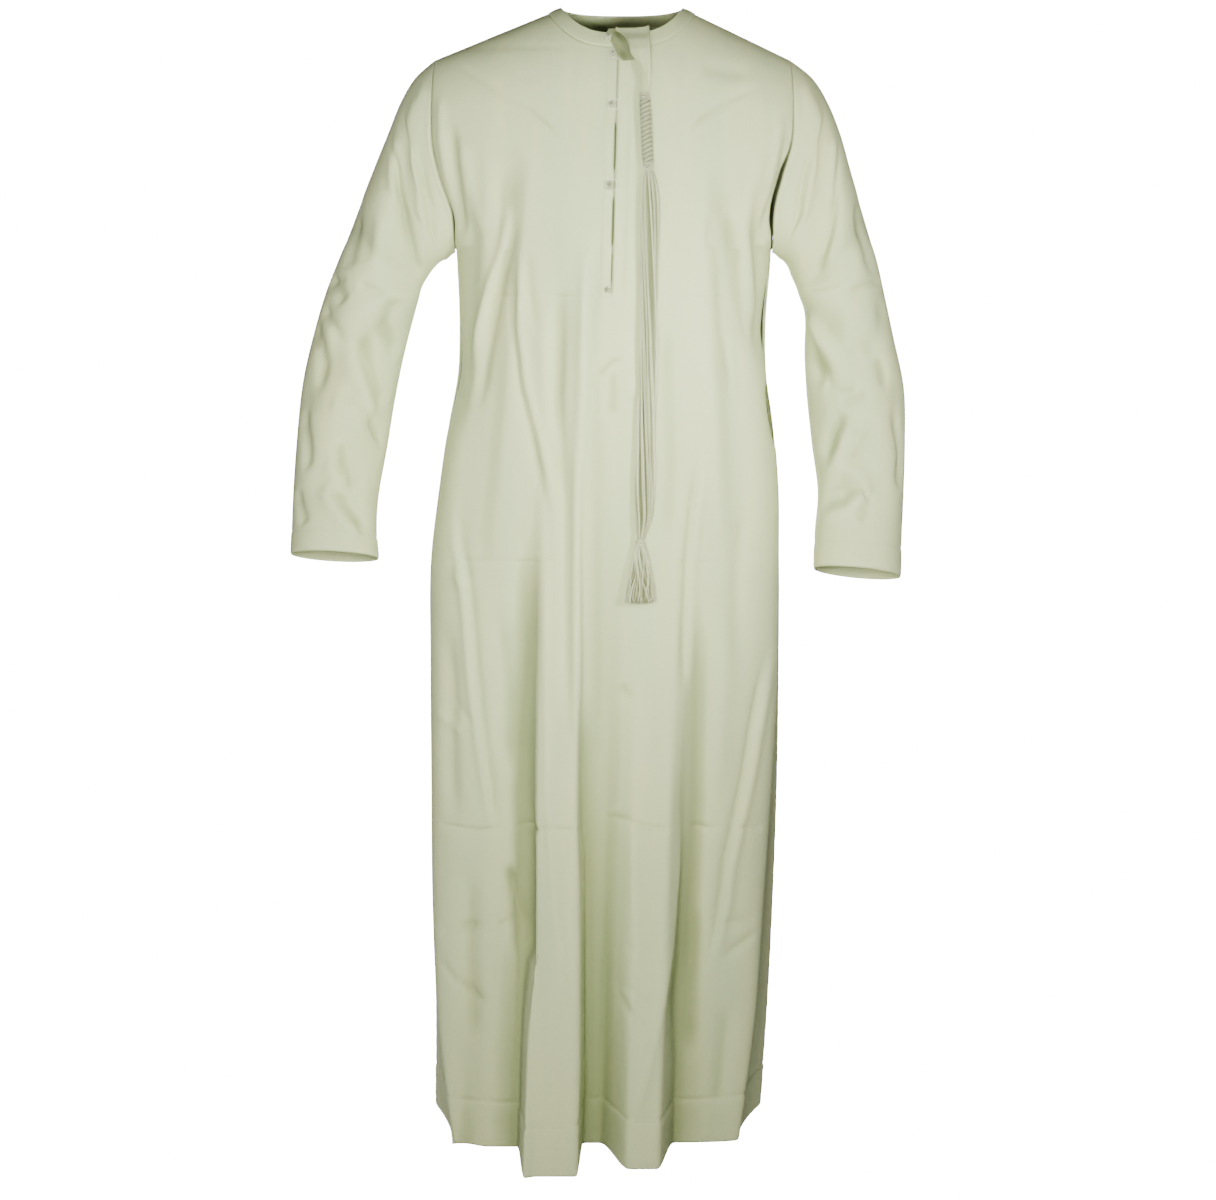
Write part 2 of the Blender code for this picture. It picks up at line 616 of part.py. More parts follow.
def mesh_from(name, bm):
    """Triangulates the bmesh and stores it as a mesh."""
    bmesh.ops.triangulate(bm, faces=bm.faces[:], quad_method="FIXED")
    mesh = bpy.data.meshes.new(name)
    bm.to_mesh(mesh)
    bm.free()
    return mesh


def inward_steps(faces, points, normals):
    """For each edge point of a piece, the unit step along the cloth into the piece."""
    edges = {(a, b) for face in faces for a, b in zip(face, face[1:] + face[:1])}
    rim = {number for a, b in edges if (b, a) not in edges for number in (a, b)}
    steps = {}
    for face in faces:
        centre = sum(points[number] for number in face) / len(face)
        for number in face:
            if number in rim:
                steps[number] = steps.get(number, 0) + (centre - points[number])
    for number, step in steps.items():
        step = step - normals[number] * (step @ normals[number])
        steps[number] = step / np.linalg.norm(step)
    return steps


def piece_wall(name, faces, garment, normals, first, second, shifts=None, share=SEAM_SHARE):
    """The wall of a piece from depth first to depth second inside the garment's surface."""
    points = garment.points
    steps = inward_steps(faces, points, normals)
    outer = {}
    inner = {}
    for number in {corner for face in faces for corner in face}:
        place = points[number] + share * steps.get(number, 0)
        if shifts and number in shifts:
            place = place + shifts[number]
        outer[number] = place - normals[number] * first
        inner[number] = place - normals[number] * second
    return wall_mesh(name, faces, outer, inner)


def pocket_shifts(front_columns, garment):
    """How far each point of the front's pocket edge stands forward of the seam."""
    shifts = {}
    for number in front_columns[-1][UPPER_ROWS:]:
        z = garment.points[number][2]
        if POCKET_END_Z < z < POCKET_TOP_Z:
            share = (POCKET_TOP_Z - z) / (POCKET_TOP_Z - POCKET_END_Z)
            before = garment.points[front_columns[-2][front_columns[-1].index(number)]]
            step = before - garment.points[number]
            shifts[number] = POCKET_GAPE * math.sin(math.pi * share) * step / np.linalg.norm(step)
    return shifts


def strip_faces(columns, rows):
    """Faces over neighbouring columns of points, from the first row to the last."""
    faces = []
    for left, right in zip(columns, columns[1:]):
        for row in range(rows[0], rows[1]):
            faces.append((left[row + 1], right[row + 1], right[row], left[row]))
    return faces


def on_front(garment, front_columns, x, z):
    """Place and outward direction on the front panel's own facets at x and z."""
    best = None
    for left, right in zip(front_columns, front_columns[1:]):
        for row in range(len(left) - 1):
            a, b = garment.points[left[row]], garment.points[right[row]]
            c, d = garment.points[left[row + 1]], garment.points[right[row + 1]]
            if not (min(c[2], d[2]) <= z <= max(a[2], b[2])):
                continue
            down = (a[2] - z) / (a[2] - c[2])
            start = a + (c - a) * down
            down = (b[2] - z) / (b[2] - d[2])
            end = b + (d - b) * down
            if start[0] - 1e-9 <= x <= end[0] + 1e-9:
                across = (x - start[0]) / (end[0] - start[0])
                place = start + (end - start) * across
                normal = np.cross(end - start, a - c)
                best = (place, normal / np.linalg.norm(normal))
    return best


def turned_piece(name, place, axis, profile, sides, lobes=0, lobe_depth=0.0, twist=0.0):
    """A closed solid turned round an axis, from a profile of (height, radius) rows."""
    bm = bmesh.new()
    up = Vector(axis).normalized()
    across = up.orthogonal().normalized()
    beside = up.cross(across)
    rings = []
    for height, radius in profile:
        ring = []
        for number in range(sides):
            angle = 2 * math.pi * number / sides
            reach = radius * (1 + lobe_depth * math.cos(lobes * (angle - twist * height)))
            offset = across * math.cos(angle) * reach + beside * math.sin(angle) * reach
            ring.append(bm.verts.new(Vector(place) + up * height + offset))
        rings.append(ring)
    for low, high in zip(rings, rings[1:]):
        for number in range(sides):
            after = (number + 1) % sides
            bm.faces.new([low[number], low[after], high[after], high[number]])
    bm.faces.new(rings[0][::-1])
    bm.faces.new(rings[-1])
    return mesh_from(name, bm)


def button_profile(radius, height):
    """Rows of a knot button from its flat seat to its crown."""
    steps = 5
    rows = [(0.0, radius * 0.62)]
    for step in range(1, steps):
        angle = math.pi * (0.18 + 0.72 * step / steps)
        rows.append((height * (1 - math.cos(angle)) / 2, radius * math.sin(angle)))
    rows.append((height, radius * 0.25))
    return rows


def ring_cord(name, path, normal, radius):
    """A closed loop of square cord that follows these points, flat side towards the cloth."""
    bm = bmesh.new()
    count = len(path)
    rings = []
    for number, point in enumerate(path):
        along = path[(number + 1) % count] - path[number - 1]
        beside = np.cross(normal, along)
        beside /= np.linalg.norm(beside)
        corners = ((-1, 0), (1, 0), (1, 2), (-1, 2))
        rings.append([bm.verts.new(point + radius * (a * beside + b * normal)) for a, b in corners])
    for number, ring in enumerate(rings):
        after = rings[(number + 1) % count]
        for side in range(4):
            nearby = (side + 1) % 4
            bm.faces.new([ring[nearby], ring[side], after[side], after[nearby]])
    bmesh.ops.recalc_face_normals(bm, faces=bm.faces[:])
    return mesh_from(name, bm)


STRAND_SWAY = 0.0011
STRAND_PHASE = 2.1
STEP_PHASE = 1.3
SWAY_DEPTH_SHARE = 0.4
STRAND_RAGGED = 0.003
RAGGED_PHASE = 3.7
SHORT_BUNCH_ROWS = 4


def strand_cluster(name, cap_top, cap_foot, grid, strand_share, rows):
    """A cap whose underside runs out into strands; rows are (centre, half width, half depth)."""
    bm = bmesh.new()
    count_x, count_y = grid
    centre, half_x, half_y = cap_foot
    xs = np.linspace(-1, 1, count_x + 1)
    ys = np.linspace(-1, 1, count_y + 1)
    foot = [[bm.verts.new(centre + np.array([x * half_x, y * half_y, 0.0])) for x in xs] for y in ys]
    cells = []
    for j in range(count_y):
        for i in range(count_x):
            cells.append(bm.faces.new([foot[j][i], foot[j + 1][i], foot[j + 1][i + 1], foot[j][i + 1]]))
    rim = foot[0] + [line[-1] for line in foot[1:]] + foot[-1][-2::-1] + [line[0] for line in foot[-2:0:-1]]
    upper_centre, upper_x, upper_y = cap_top
    upper = []
    for vert in rim:
        offset = np.array(vert.co) - centre
        place = upper_centre + np.array([offset[0] / half_x * upper_x, offset[1] / half_y * upper_y, 0.0])
        upper.append(bm.verts.new(place))
    for number in range(len(rim)):
        after = (number + 1) % len(rim)
        bm.faces.new([rim[number], rim[after], upper[after], upper[number]])
    bm.faces.new(upper)
    for number, face in enumerate(cells):
        j, i = divmod(number, count_x)
        across = (xs[i] + xs[i + 1]) / 2
        forward = (ys[j] + ys[j + 1]) / 2
        bmesh.ops.inset_individual(bm, faces=[face], thickness=(1 - strand_share) * half_x / count_x)
        for step, (middle, wide, deep) in enumerate(rows):
            made = bmesh.ops.extrude_discrete_faces(bm, faces=[face])["faces"]
            face = made[0]
            now = sum((np.array(vert.co) for vert in face.verts), np.zeros(3)) / 4
            sway = STRAND_SWAY * math.sin(STRAND_PHASE * number + STEP_PHASE * step)
            last = step == len(rows) - 1 and len(rows) <= SHORT_BUNCH_ROWS
            ragged = STRAND_RAGGED * math.sin(RAGGED_PHASE * number) if last else 0.0
            target = middle + np.array([across * wide + sway, forward * deep + sway * SWAY_DEPTH_SHARE, ragged])
            for vert in face.verts:
                vert.co = Vector(target + (np.array(vert.co) - now))
    bmesh.ops.recalc_face_normals(bm, faces=bm.faces[:])
    return mesh_from(name, bm)


def cloth_material(name, colour, roughness):
    """A plain woven finish."""
    material = bpy.data.materials.new(name)
    material.use_nodes = True
    shader = material.node_tree.nodes["Principled BSDF"]
    shader.inputs["Base Color"].default_value = (*colour, 1.0)
    shader.inputs["Roughness"].default_value = roughness
    shader.inputs["Metallic"].default_value = 0.0
    material.diffuse_color = (*colour, 1.0)
    return material


PANEL_COLOUR = (0.72, 0.76, 0.58)
BUTTON_COLOUR = (0.74, 0.78, 0.62)
INNER_COLOUR = (0.52, 0.56, 0.38)
THREAD_COLOUR = (0.62, 0.66, 0.45)


def place(name, mesh, material):
    """Puts a finished mesh in the scene as one named sub-part."""
    mesh.materials.append(material)
    mesh.shade_smooth()
    mesh.set_sharp_from_angle(angle=math.radians(50))
    part = bpy.data.objects.new(name, mesh)
    bpy.context.scene.collection.objects.link(part)
    return part


class TabRow(NamedTuple):
    """A row of the tab in front of the chest: its height, edges, distance from the chest and curl."""

    z: float
    left: float
    right: float
    stand: float
    curl: float


TAB = (
    #      z       left    right   stand   curl
    TabRow(-0.037, 0.001, 0.043, 0.009, 0.000),
    TabRow(-0.043, 0.005, 0.045, 0.013, 0.004),
    TabRow(-0.050, 0.011, 0.046, 0.015, 0.007),
    TabRow(-0.058, 0.017, 0.0465, 0.016, 0.008),
    TabRow(-0.067, 0.023, 0.047, 0.015, 0.007),
    TabRow(-0.078, 0.030, 0.047, 0.013, 0.004),
    TabRow(-0.092, 0.033, 0.046, 0.011, 0.001),
    TabRow(TAB_END_Z, 0.0335, 0.0435, 0.0105, 0.000),
)
TAB_CELLS = 6
TAB_CLOTH = 0.0012
TAB_CLEAR = 0.0009
TAB_INSIDE = 0.012
TAB_CHEST_Z = -0.058
TAB_LIFT_START = 0.030
TAB_LIFT_END = 0.045
TAB_OFF_CHEST = 0.0006


def band_edge(garment, band_rows, x):
    """The band's upper edge at x on the front, and its slope down to the seam."""
    count = len(band_rows[0])
    for row_end in range(count - 1):
        first, second = (garment.points[band_rows[2][index]] for index in (row_end, row_end + 1))
        if first[1] > 0 or not min(first[0], second[0]) <= x <= max(first[0], second[0]):
            continue
        share = (x - first[0]) / (second[0] - first[0])
        seams = (garment.points[band_rows[0][index]] for index in (row_end, row_end + 1))
        edge = first + (second - first) * share
        low, high = seams
        slope = (low + (high - low) * share - edge) * np.array([0.0, 1.0, 1.0])
        return edge, slope / np.linalg.norm(slope)
    first = garment.points[band_rows[2][0]]
    slope = (garment.points[band_rows[0][0]] - first) * np.array([0.0, 1.0, 1.0])
    return np.array([x, first[1], first[2]]), slope / np.linalg.norm(slope)


def make_tab(name, garment, front_columns, band_rows):
    """The self-fabric tab: up behind the band, over the neckline and down the front to the tassel."""
    sheet = Garment()
    lines = []
    top = TAB[0]
    behind = BAND_CLOTH + TAB_CLOTH + TAB_CLEAR
    before = TAB_CLOTH + TAB_CLEAR
    middle = (before - behind) / 2
    reach = (before + behind) / 2
    for share in (1.0, 0.5, 0.0):
        lines.append([(share * TAB_INSIDE, -behind)] * (TAB_CELLS + 1))
    for turn in (45.0, 90.0, 135.0):
        angle = math.radians(turn)
        lines.append([(-reach * math.sin(angle), middle - reach * math.cos(angle))] * (TAB_CELLS + 1))
    rows = []
    for line in lines:
        row = []
        for number, (down, out) in enumerate(line):
            x = top.left + (top.right - top.left) * number / TAB_CELLS
            edge, slope = band_edge(garment, band_rows, x)
            outward = np.array([0.0, slope[2], -slope[1]])
            row.append(sheet.add_point(np.array([x, 0, 0]) + (edge + slope * down + outward * out) * [0, 1, 1]))
        rows.append(row)
    for place_row in TAB:
        row = []
        for number in range(TAB_CELLS + 1):
            share = number / TAB_CELLS
            x = place_row.left + (place_row.right - place_row.left) * share
            chest = on_front(garment, front_columns, x, min(place_row.z, TAB_CHEST_Z))[0][1]
            edge, slope = band_edge(garment, band_rows, x)
            if place_row.z > TAB_CHEST_Z:
                chest = edge[1] + slope[1] / slope[2] * (place_row.z - edge[2])
            lifted = place_row.stand * ramp(-place_row.z, TAB_LIFT_START, TAB_LIFT_END)
            y = chest - lifted - place_row.curl * (1 - share) ** 2
            row.append(sheet.add_point([x, min(y, chest - before - TAB_OFF_CHEST), place_row.z]))
        rows.append(row)
    for low, high in zip(rows, rows[1:]):
        for number in range(TAB_CELLS):
            sheet.add_face(name, (high[number], high[number + 1], low[number + 1], low[number]))
    normals = sheet.normals()
    return piece_wall(name, sheet.faces[name], sheet, normals, 0.0, TAB_CLOTH)


class StrandRow(NamedTuple):
    """A level of a bunch of strands: its height, middle, half width and half depth."""

    z: float
    x: float
    half_x: float
    half_y: float


SKEIN_ROWS = (
    #         z       x       half_x  half_y
    StrandRow(-0.215, 0.0435, 0.0078, 0.0040),
    StrandRow(-0.250, 0.0438, 0.0100, 0.0042),
    StrandRow(-0.300, 0.0436, 0.0098, 0.0042),
    StrandRow(-0.360, 0.0434, 0.0092, 0.0042),
    StrandRow(-0.420, 0.0425, 0.0092, 0.0042),
    StrandRow(-0.480, 0.0412, 0.0100, 0.0042),
    StrandRow(-0.540, 0.0398, 0.0112, 0.0042),
    StrandRow(-0.585, 0.0385, 0.0118, 0.0042),
    StrandRow(-0.615, 0.0372, 0.0090, 0.0040),
    StrandRow(-0.6355, 0.0340, 0.0044, 0.0030),
)
SKEIN_STRANDS = (4, 3)
SKEIN_STRAND_SHARE = 0.62
SKEIN_CLEAR = 0.0090

END_ROWS = (
    #         z       x       half_x  half_y
    StrandRow(-0.668, 0.0345, 0.0125, 0.0062),
    StrandRow(-0.690, 0.0338, 0.0170, 0.0078),
    StrandRow(-0.712, 0.0330, 0.0200, 0.0090),
)
END_HEAD_Z = -0.652
END_STRANDS = (8, 5)
END_STRAND_SHARE = 0.60
END_CLEAR = 0.0130
END_HEAD_CLEAR = 0.0100

SHANK_FOOT = (TASSEL_X + 0.0045, -0.196)
SHANK_TOP_CLEAR = 0.0105
SHANK_CLEAR = 0.0095
SHANK_RADIUS = 0.0074
SHANK_TURNS = 16
SHANK_SIDES = 12
SHANK_PLIES = 3
SHANK_PLY_DEPTH = 0.13
SHANK_TWIST = 95.0
SHANK_HEAD = ((0.0, 0.0035), (0.0015, 0.0055), (0.006, 0.0062), (0.010, 0.0045), (0.012, 0.0058))
SHANK_KNOT = ((0.008, 0.0058), (0.005, 0.0062), (0.001, 0.0058), (0.0, 0.0045))


def make_shank(top, foot):
    """The plaited shank, a head knot and a foot knot with three plies turned round between them."""
    down = foot - top
    length = np.linalg.norm(down)
    start = SHANK_HEAD[-1][0] + 0.002
    end = length - SHANK_KNOT[0][0] - 0.002
    profile = list(SHANK_HEAD)
    for step in range(SHANK_TURNS + 1):
        profile.append((start + (end - start) * step / SHANK_TURNS, SHANK_RADIUS))
    profile.extend((length - before_foot, radius) for before_foot, radius in SHANK_KNOT)
    plies = (SHANK_PLIES, SHANK_PLY_DEPTH, SHANK_TWIST)
    return turned_piece("tassel_shank", top, down, profile, SHANK_SIDES, *plies)


def make_tassel(garment, front_columns):
    """The tassel's plaited shank, loose skein and end tassel, each hanging clear of the chest."""

    def hanging(x, z, clear):
        """Middle of the tassel at this place, clear of the front panel."""
        return np.array([x, on_front(garment, front_columns, x, z)[0][1] - clear, z])

    shank_top = hanging(TASSEL_X, TAB_END_Z - SEAT, SHANK_TOP_CLEAR)
    shank_foot = hanging(*SHANK_FOOT, SHANK_CLEAR)
    shank = make_shank(shank_top, shank_foot)

    cap_z = shank_foot[2] - TILTED_SEAT
    cap_top = (hanging(shank_foot[0], cap_z, SHANK_CLEAR), 0.0040, 0.0035)
    cap_foot = (hanging(shank_foot[0], cap_z - 0.004, SHANK_CLEAR), 0.0062, 0.0048)
    rows = [(hanging(row.x, row.z, SKEIN_CLEAR), row.half_x, row.half_y) for row in SKEIN_ROWS]
    skein = strand_cluster("tassel_skein", cap_top, cap_foot, SKEIN_STRANDS, SKEIN_STRAND_SHARE, rows)

    last = SKEIN_ROWS[-1]
    end_top = (hanging(last.x, last.z - SEAT, SKEIN_CLEAR), 0.0034, 0.0030)
    end_foot = (hanging(last.x, END_HEAD_Z, END_HEAD_CLEAR), 0.0068, 0.0052)
    rows = [(hanging(row.x, row.z, END_CLEAR), row.half_x, row.half_y) for row in END_ROWS]
    end = strand_cluster("tassel_end", end_top, end_foot, END_STRANDS, END_STRAND_SHARE, rows)
    return shank, skein, end


class ButtonPlace(NamedTuple):
    """A knot button beside the slit: its height, its distance from the slit and its radius."""

    name: str
    z: float
    beside: float
    radius: float


BUTTONS = (
    #           name        z       beside   radius
    ButtonPlace("button_1", -0.062, -0.0050, 0.0040),
    ButtonPlace("button_2", -0.121, -0.0050, 0.0045),
    ButtonPlace("button_3", -0.215, -0.0045, 0.0048),
    ButtonPlace("button_4", -0.337, -0.0045, 0.0048),
)
LOOPLESS = "button_4"
NECK_BUTTON = (0.0040, 0.0052)
NECK_BUTTON_SEAT = 0.0005
BUTTON_SEAT = 0.0006
BUTTON_RISE = 1.3
BUTTON_SIDES = 8
LOOP_STEPS = 12
LOOP_SEAT = 0.0005
LOOP_CORD = 0.0006
LOOP_WIDER = 0.0022
LOOP_TALLER = 0.0014
LOOP_SHIFT = 0.0012


def loop_path(garment, front_columns, button, out):
    """Points of the near-square thread loop that lies round a button."""
    path = []
    for step in range(LOOP_STEPS):
        angle = 2 * math.pi * (step + 0.5) / LOOP_STEPS
        wide = math.copysign(abs(math.cos(angle)) ** 0.5, math.cos(angle))
        tall = math.copysign(abs(math.sin(angle)) ** 0.5, math.sin(angle))
        x = slit_x(button.z) + button.beside + LOOP_SHIFT + (button.radius + LOOP_WIDER) * wide
        height = button.z + (button.radius + LOOP_TALLER) * tall
        spot, _ = on_front(garment, front_columns, x, height)
        path.append(spot + out * LOOP_SEAT)
    return path


def make_buttons(garment, front_columns, band_rows, normals, thread, cloth):
    """Knot buttons beside the slit, and the thread loops that hold three of them."""
    for button in BUTTONS:
        seat, out = on_front(garment, front_columns, slit_x(button.z) + button.beside, button.z)
        profile = button_profile(button.radius, button.radius * BUTTON_RISE)
        mesh = turned_piece(button.name, seat + out * BUTTON_SEAT, out, profile, BUTTON_SIDES)
        place(button.name, mesh, cloth)
        if button.name == LOOPLESS:
            continue
        name = button.name.replace("button", "loop")
        path = loop_path(garment, front_columns, button, out)
        place(name, ring_cord(name, path, out, LOOP_CORD), thread)
    seat = (garment.points[band_rows[1][-2]] + garment.points[band_rows[1][-3]]) / 2
    out = normals[band_rows[1][-2]]
    profile = button_profile(*NECK_BUTTON)
    mesh = turned_piece("button_neck", seat + out * NECK_BUTTON_SEAT, out, profile, BUTTON_SIDES)
    place("button_neck", mesh, cloth)


def clear_scene():
    """Removes everything that is in the scene."""
    for item in list(bpy.data.objects):
        bpy.data.objects.remove(item, do_unlink=True)


def main():
    """Builds every sub-part of the robe."""
    clear_scene()
    panel = cloth_material("panel_cloth", PANEL_COLOUR, 0.85)
    knot = cloth_material("button_cloth", BUTTON_COLOUR, 0.8)
    inside = cloth_material("inside_cloth", INNER_COLOUR, 0.9)
    thread = cloth_material("tassel_thread", THREAD_COLOUR, 0.6)

    garment = Garment()
    front_columns, slit = make_front(garment)
    back_columns = make_back(garment, front_columns)
    band_rows = make_neck_band(garment, front_columns, back_columns, slit)
    make_sleeve(garment, "sleeve_right", SLEEVE_AT_LEFT, front_columns[0], back_columns[0])
    make_sleeve(garment, "sleeve_left", SLEEVE_AT_RIGHT, front_columns[-1], back_columns[-1])
    normals = garment.normals()

    shifts = pocket_shifts(front_columns, garment)
    front = piece_wall("front_panel", garment.faces["front_panel"], garment, normals, 0, CLOTH, shifts)
    place("front_panel", front, panel)
    place("back_panel", piece_wall("back_panel", garment.faces["back_panel"], garment, normals, 0, CLOTH), panel)
    band = piece_wall("neck_band", garment.faces["neck_band"], garment, normals, 0, BAND_CLOTH, None, BAND_SHARE)
    place("neck_band", band, panel)
    for name in ("sleeve_right", "sleeve_left"):
        place(name, piece_wall(name, garment.faces[name], garment, normals, 0, CLOTH), panel)

    under = CLOTH + UNDER_GAP
    ends = [row for row, number in enumerate(front_columns[slit]) if garment.points[number][2] > SLIT_END_Z]
    faces = strip_faces(front_columns[slit - 1 : slit + 3], (0, max(ends) + 1))
    mesh = piece_wall("placket_underlap", faces, garment, normals, under, under + CLOTH)
    place("placket_underlap", mesh, inside)
    pocket_row = UPPER_ROWS + ROWS_TO_POCKET
    across = [front_columns[-2], front_columns[-1], back_columns[-2]]
    faces = strip_faces(across, (pocket_row - 1, pocket_row + ROWS_AT_POCKET + 1))
    mesh = piece_wall("pocket_facing", faces, garment, normals, under, under + CLOTH)
    place("pocket_facing", mesh, inside)

    place("tassel_tab", make_tab("tassel_tab", garment, front_columns, band_rows), panel)
    names = ("tassel_shank", "tassel_skein", "tassel_end")
    for name, mesh in zip(names, make_tassel(garment, front_columns)):
        place(name, mesh, thread)
    make_buttons(garment, front_columns, band_rows, normals, thread, knot)


main()
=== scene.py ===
"""Dresses the robe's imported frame: cloth panels with their folds, seams, buttons and tassel."""

import json  # noqa: E402
import logging  # noqa: E402
import math  # noqa: E402
from dataclasses import dataclass, field  # noqa: E402
from enum import Enum  # noqa: E402
from typing import NamedTuple, Optional, Sequence  # noqa: E402

import bmesh  # noqa: E402
import bpy  # noqa: E402
import numpy as np  # noqa: E402
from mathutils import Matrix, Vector  # noqa: E402

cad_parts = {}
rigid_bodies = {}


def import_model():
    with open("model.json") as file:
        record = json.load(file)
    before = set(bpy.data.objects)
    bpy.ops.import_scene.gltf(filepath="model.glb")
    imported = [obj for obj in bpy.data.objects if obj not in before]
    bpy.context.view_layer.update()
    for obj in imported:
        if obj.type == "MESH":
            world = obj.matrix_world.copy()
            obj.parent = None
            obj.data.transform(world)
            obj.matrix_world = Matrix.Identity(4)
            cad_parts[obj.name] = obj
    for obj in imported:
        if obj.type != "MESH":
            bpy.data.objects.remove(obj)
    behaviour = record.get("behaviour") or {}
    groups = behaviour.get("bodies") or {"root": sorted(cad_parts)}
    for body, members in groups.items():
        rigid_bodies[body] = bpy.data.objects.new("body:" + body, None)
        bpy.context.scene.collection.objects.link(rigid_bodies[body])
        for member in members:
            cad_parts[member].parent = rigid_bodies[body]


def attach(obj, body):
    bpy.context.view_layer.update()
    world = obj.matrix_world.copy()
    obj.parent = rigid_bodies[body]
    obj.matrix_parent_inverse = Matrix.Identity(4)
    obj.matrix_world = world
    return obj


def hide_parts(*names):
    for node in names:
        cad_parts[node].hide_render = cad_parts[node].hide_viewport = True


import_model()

logging.basicConfig(level=logging.INFO, format="%(name)s: %(message)s")
log = logging.getLogger("robe")

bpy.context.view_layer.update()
Array = np.ndarray
Colour = tuple[float, float, float]
Socket = bpy.types.NodeSocket


# ---------------------------------------------------------------- tables of the robe's form


class BodySection(NamedTuple):
    """The robe's level section at height z: its reach each way, and where its side seams run."""

    z: float
    left: float
    right: float
    side_y: float
    seam_left: float
    seam_right: float
    seam_left_y: float
    seam_right_y: float
    front_y: float
    back_y: float
    front_power: float


BODY = (
    #           z       left    right   side_y  seam_l  seam_r  seam_ly seam_ry front_y back_y  power
    BodySection(0.010, -0.216, 0.217, 0.000, -0.216, 0.217, 0.000, 0.000, -0.096, 0.094, 1.50),
    BodySection(-0.062, -0.216, 0.217, 0.000, -0.216, 0.217, 0.000, 0.000, -0.108, 0.106, 1.50),
    BodySection(-0.120, -0.217, 0.218, 0.000, -0.217, 0.218, 0.000, 0.000, -0.118, 0.116, 1.50),
    BodySection(-0.165, -0.216, 0.216, 0.000, -0.216, 0.216, 0.000, 0.000, -0.125, 0.119, 1.45),
    BodySection(-0.205, -0.207, 0.205, 0.000, -0.207, 0.205, 0.000, 0.000, -0.129, 0.118, 1.30),
    BodySection(-0.245, -0.194, 0.196, 0.000, -0.194, 0.196, 0.000, 0.000, -0.131, 0.115, 1.10),
    BodySection(-0.292, -0.192, 0.196, 0.000, -0.192, 0.196, 0.000, 0.000, -0.131, 0.110, 0.95),
    BodySection(-0.386, -0.189, 0.190, 0.000, -0.189, 0.190, 0.000, 0.000, -0.129, 0.101, 0.85),
    BodySection(-0.440, -0.191, 0.191, 0.000, -0.191, 0.191, 0.000, 0.000, -0.127, 0.099, 0.82),
    BodySection(-0.505, -0.203, 0.200, 0.000, -0.203, 0.200, 0.000, 0.000, -0.125, 0.103, 0.80),
    BodySection(-0.585, -0.215, 0.207, 0.000, -0.215, 0.207, 0.000, 0.000, -0.122, 0.114, 0.78),
    BodySection(-0.665, -0.225, 0.209, 0.002, -0.225, 0.208, -0.002, -0.002, -0.119, 0.122, 0.76),
    BodySection(-0.800, -0.227, 0.210, 0.008, -0.227, 0.208, -0.006, -0.008, -0.115, 0.126, 0.74),
    BodySection(-0.950, -0.228, 0.210, 0.018, -0.227, 0.201, -0.012, -0.020, -0.108, 0.128, 0.70),
    BodySection(-1.100, -0.229, 0.207, 0.030, -0.226, 0.191, -0.026, -0.032, -0.100, 0.132, 0.64),
    BodySection(-1.250, -0.228, 0.202, 0.044, -0.219, 0.180, -0.050, -0.046, -0.092, 0.137, 0.56),
    BodySection(-1.402, -0.231, 0.195, 0.070, -0.200, 0.160, -0.086, -0.064, -0.082, 0.143, 0.50),
)


class SleeveRing(NamedTuple):
    """One ring of a sleeve: its outer and inner points, middle depth, half depth and lean in degrees.

    Its last number says how far its shape is its own: 0 follows the armhole, 1 is an even oval.
    """

    outer_x: float
    outer_z: float
    inner_x: float
    inner_z: float
    y: float
    half_depth: float
    lean: float
    own: float


SLEEVE_RIGHT_RINGS = (
    #          outer_x outer_z inner_x inner_z  y     half_depth lean own
    SleeveRing(-0.240, -0.083, -0.200, -0.300, 0.002, 0.071, 0.0, 0.12),
    SleeveRing(-0.258, -0.112, -0.204, -0.303, 0.002, 0.070, 0.0, 0.25),
    SleeveRing(-0.274, -0.150, -0.208, -0.304, 0.002, 0.069, 0.0, 0.40),
    SleeveRing(-0.291, -0.190, -0.213, -0.307, 0.003, 0.067, 0.0, 0.56),
    SleeveRing(-0.307, -0.229, -0.219, -0.313, 0.004, 0.066, 0.0, 0.72),
    SleeveRing(-0.322, -0.267, -0.226, -0.322, 0.006, 0.065, 0.0, 0.86),
    SleeveRing(-0.338, -0.305, -0.236, -0.340, 0.008, 0.064, 2.0, 1.00),
    SleeveRing(-0.355, -0.347, -0.244, -0.368, 0.011, 0.062, 3.0, 1.00),
    SleeveRing(-0.371, -0.400, -0.256, -0.413, 0.011, 0.061, 6.0, 1.00),
    SleeveRing(-0.384, -0.459, -0.268, -0.470, 0.002, 0.059, 10.0, 1.00),
    SleeveRing(-0.389, -0.520, -0.277, -0.529, -0.016, 0.055, 13.0, 1.00),
    SleeveRing(-0.392, -0.580, -0.287, -0.588, -0.036, 0.051, 14.0, 1.00),
    SleeveRing(-0.393, -0.622, -0.289, -0.629, -0.049, 0.048, 15.0, 1.00),
    SleeveRing(-0.394, -0.661, -0.286, -0.666, -0.060, 0.047, 15.0, 1.00),
)

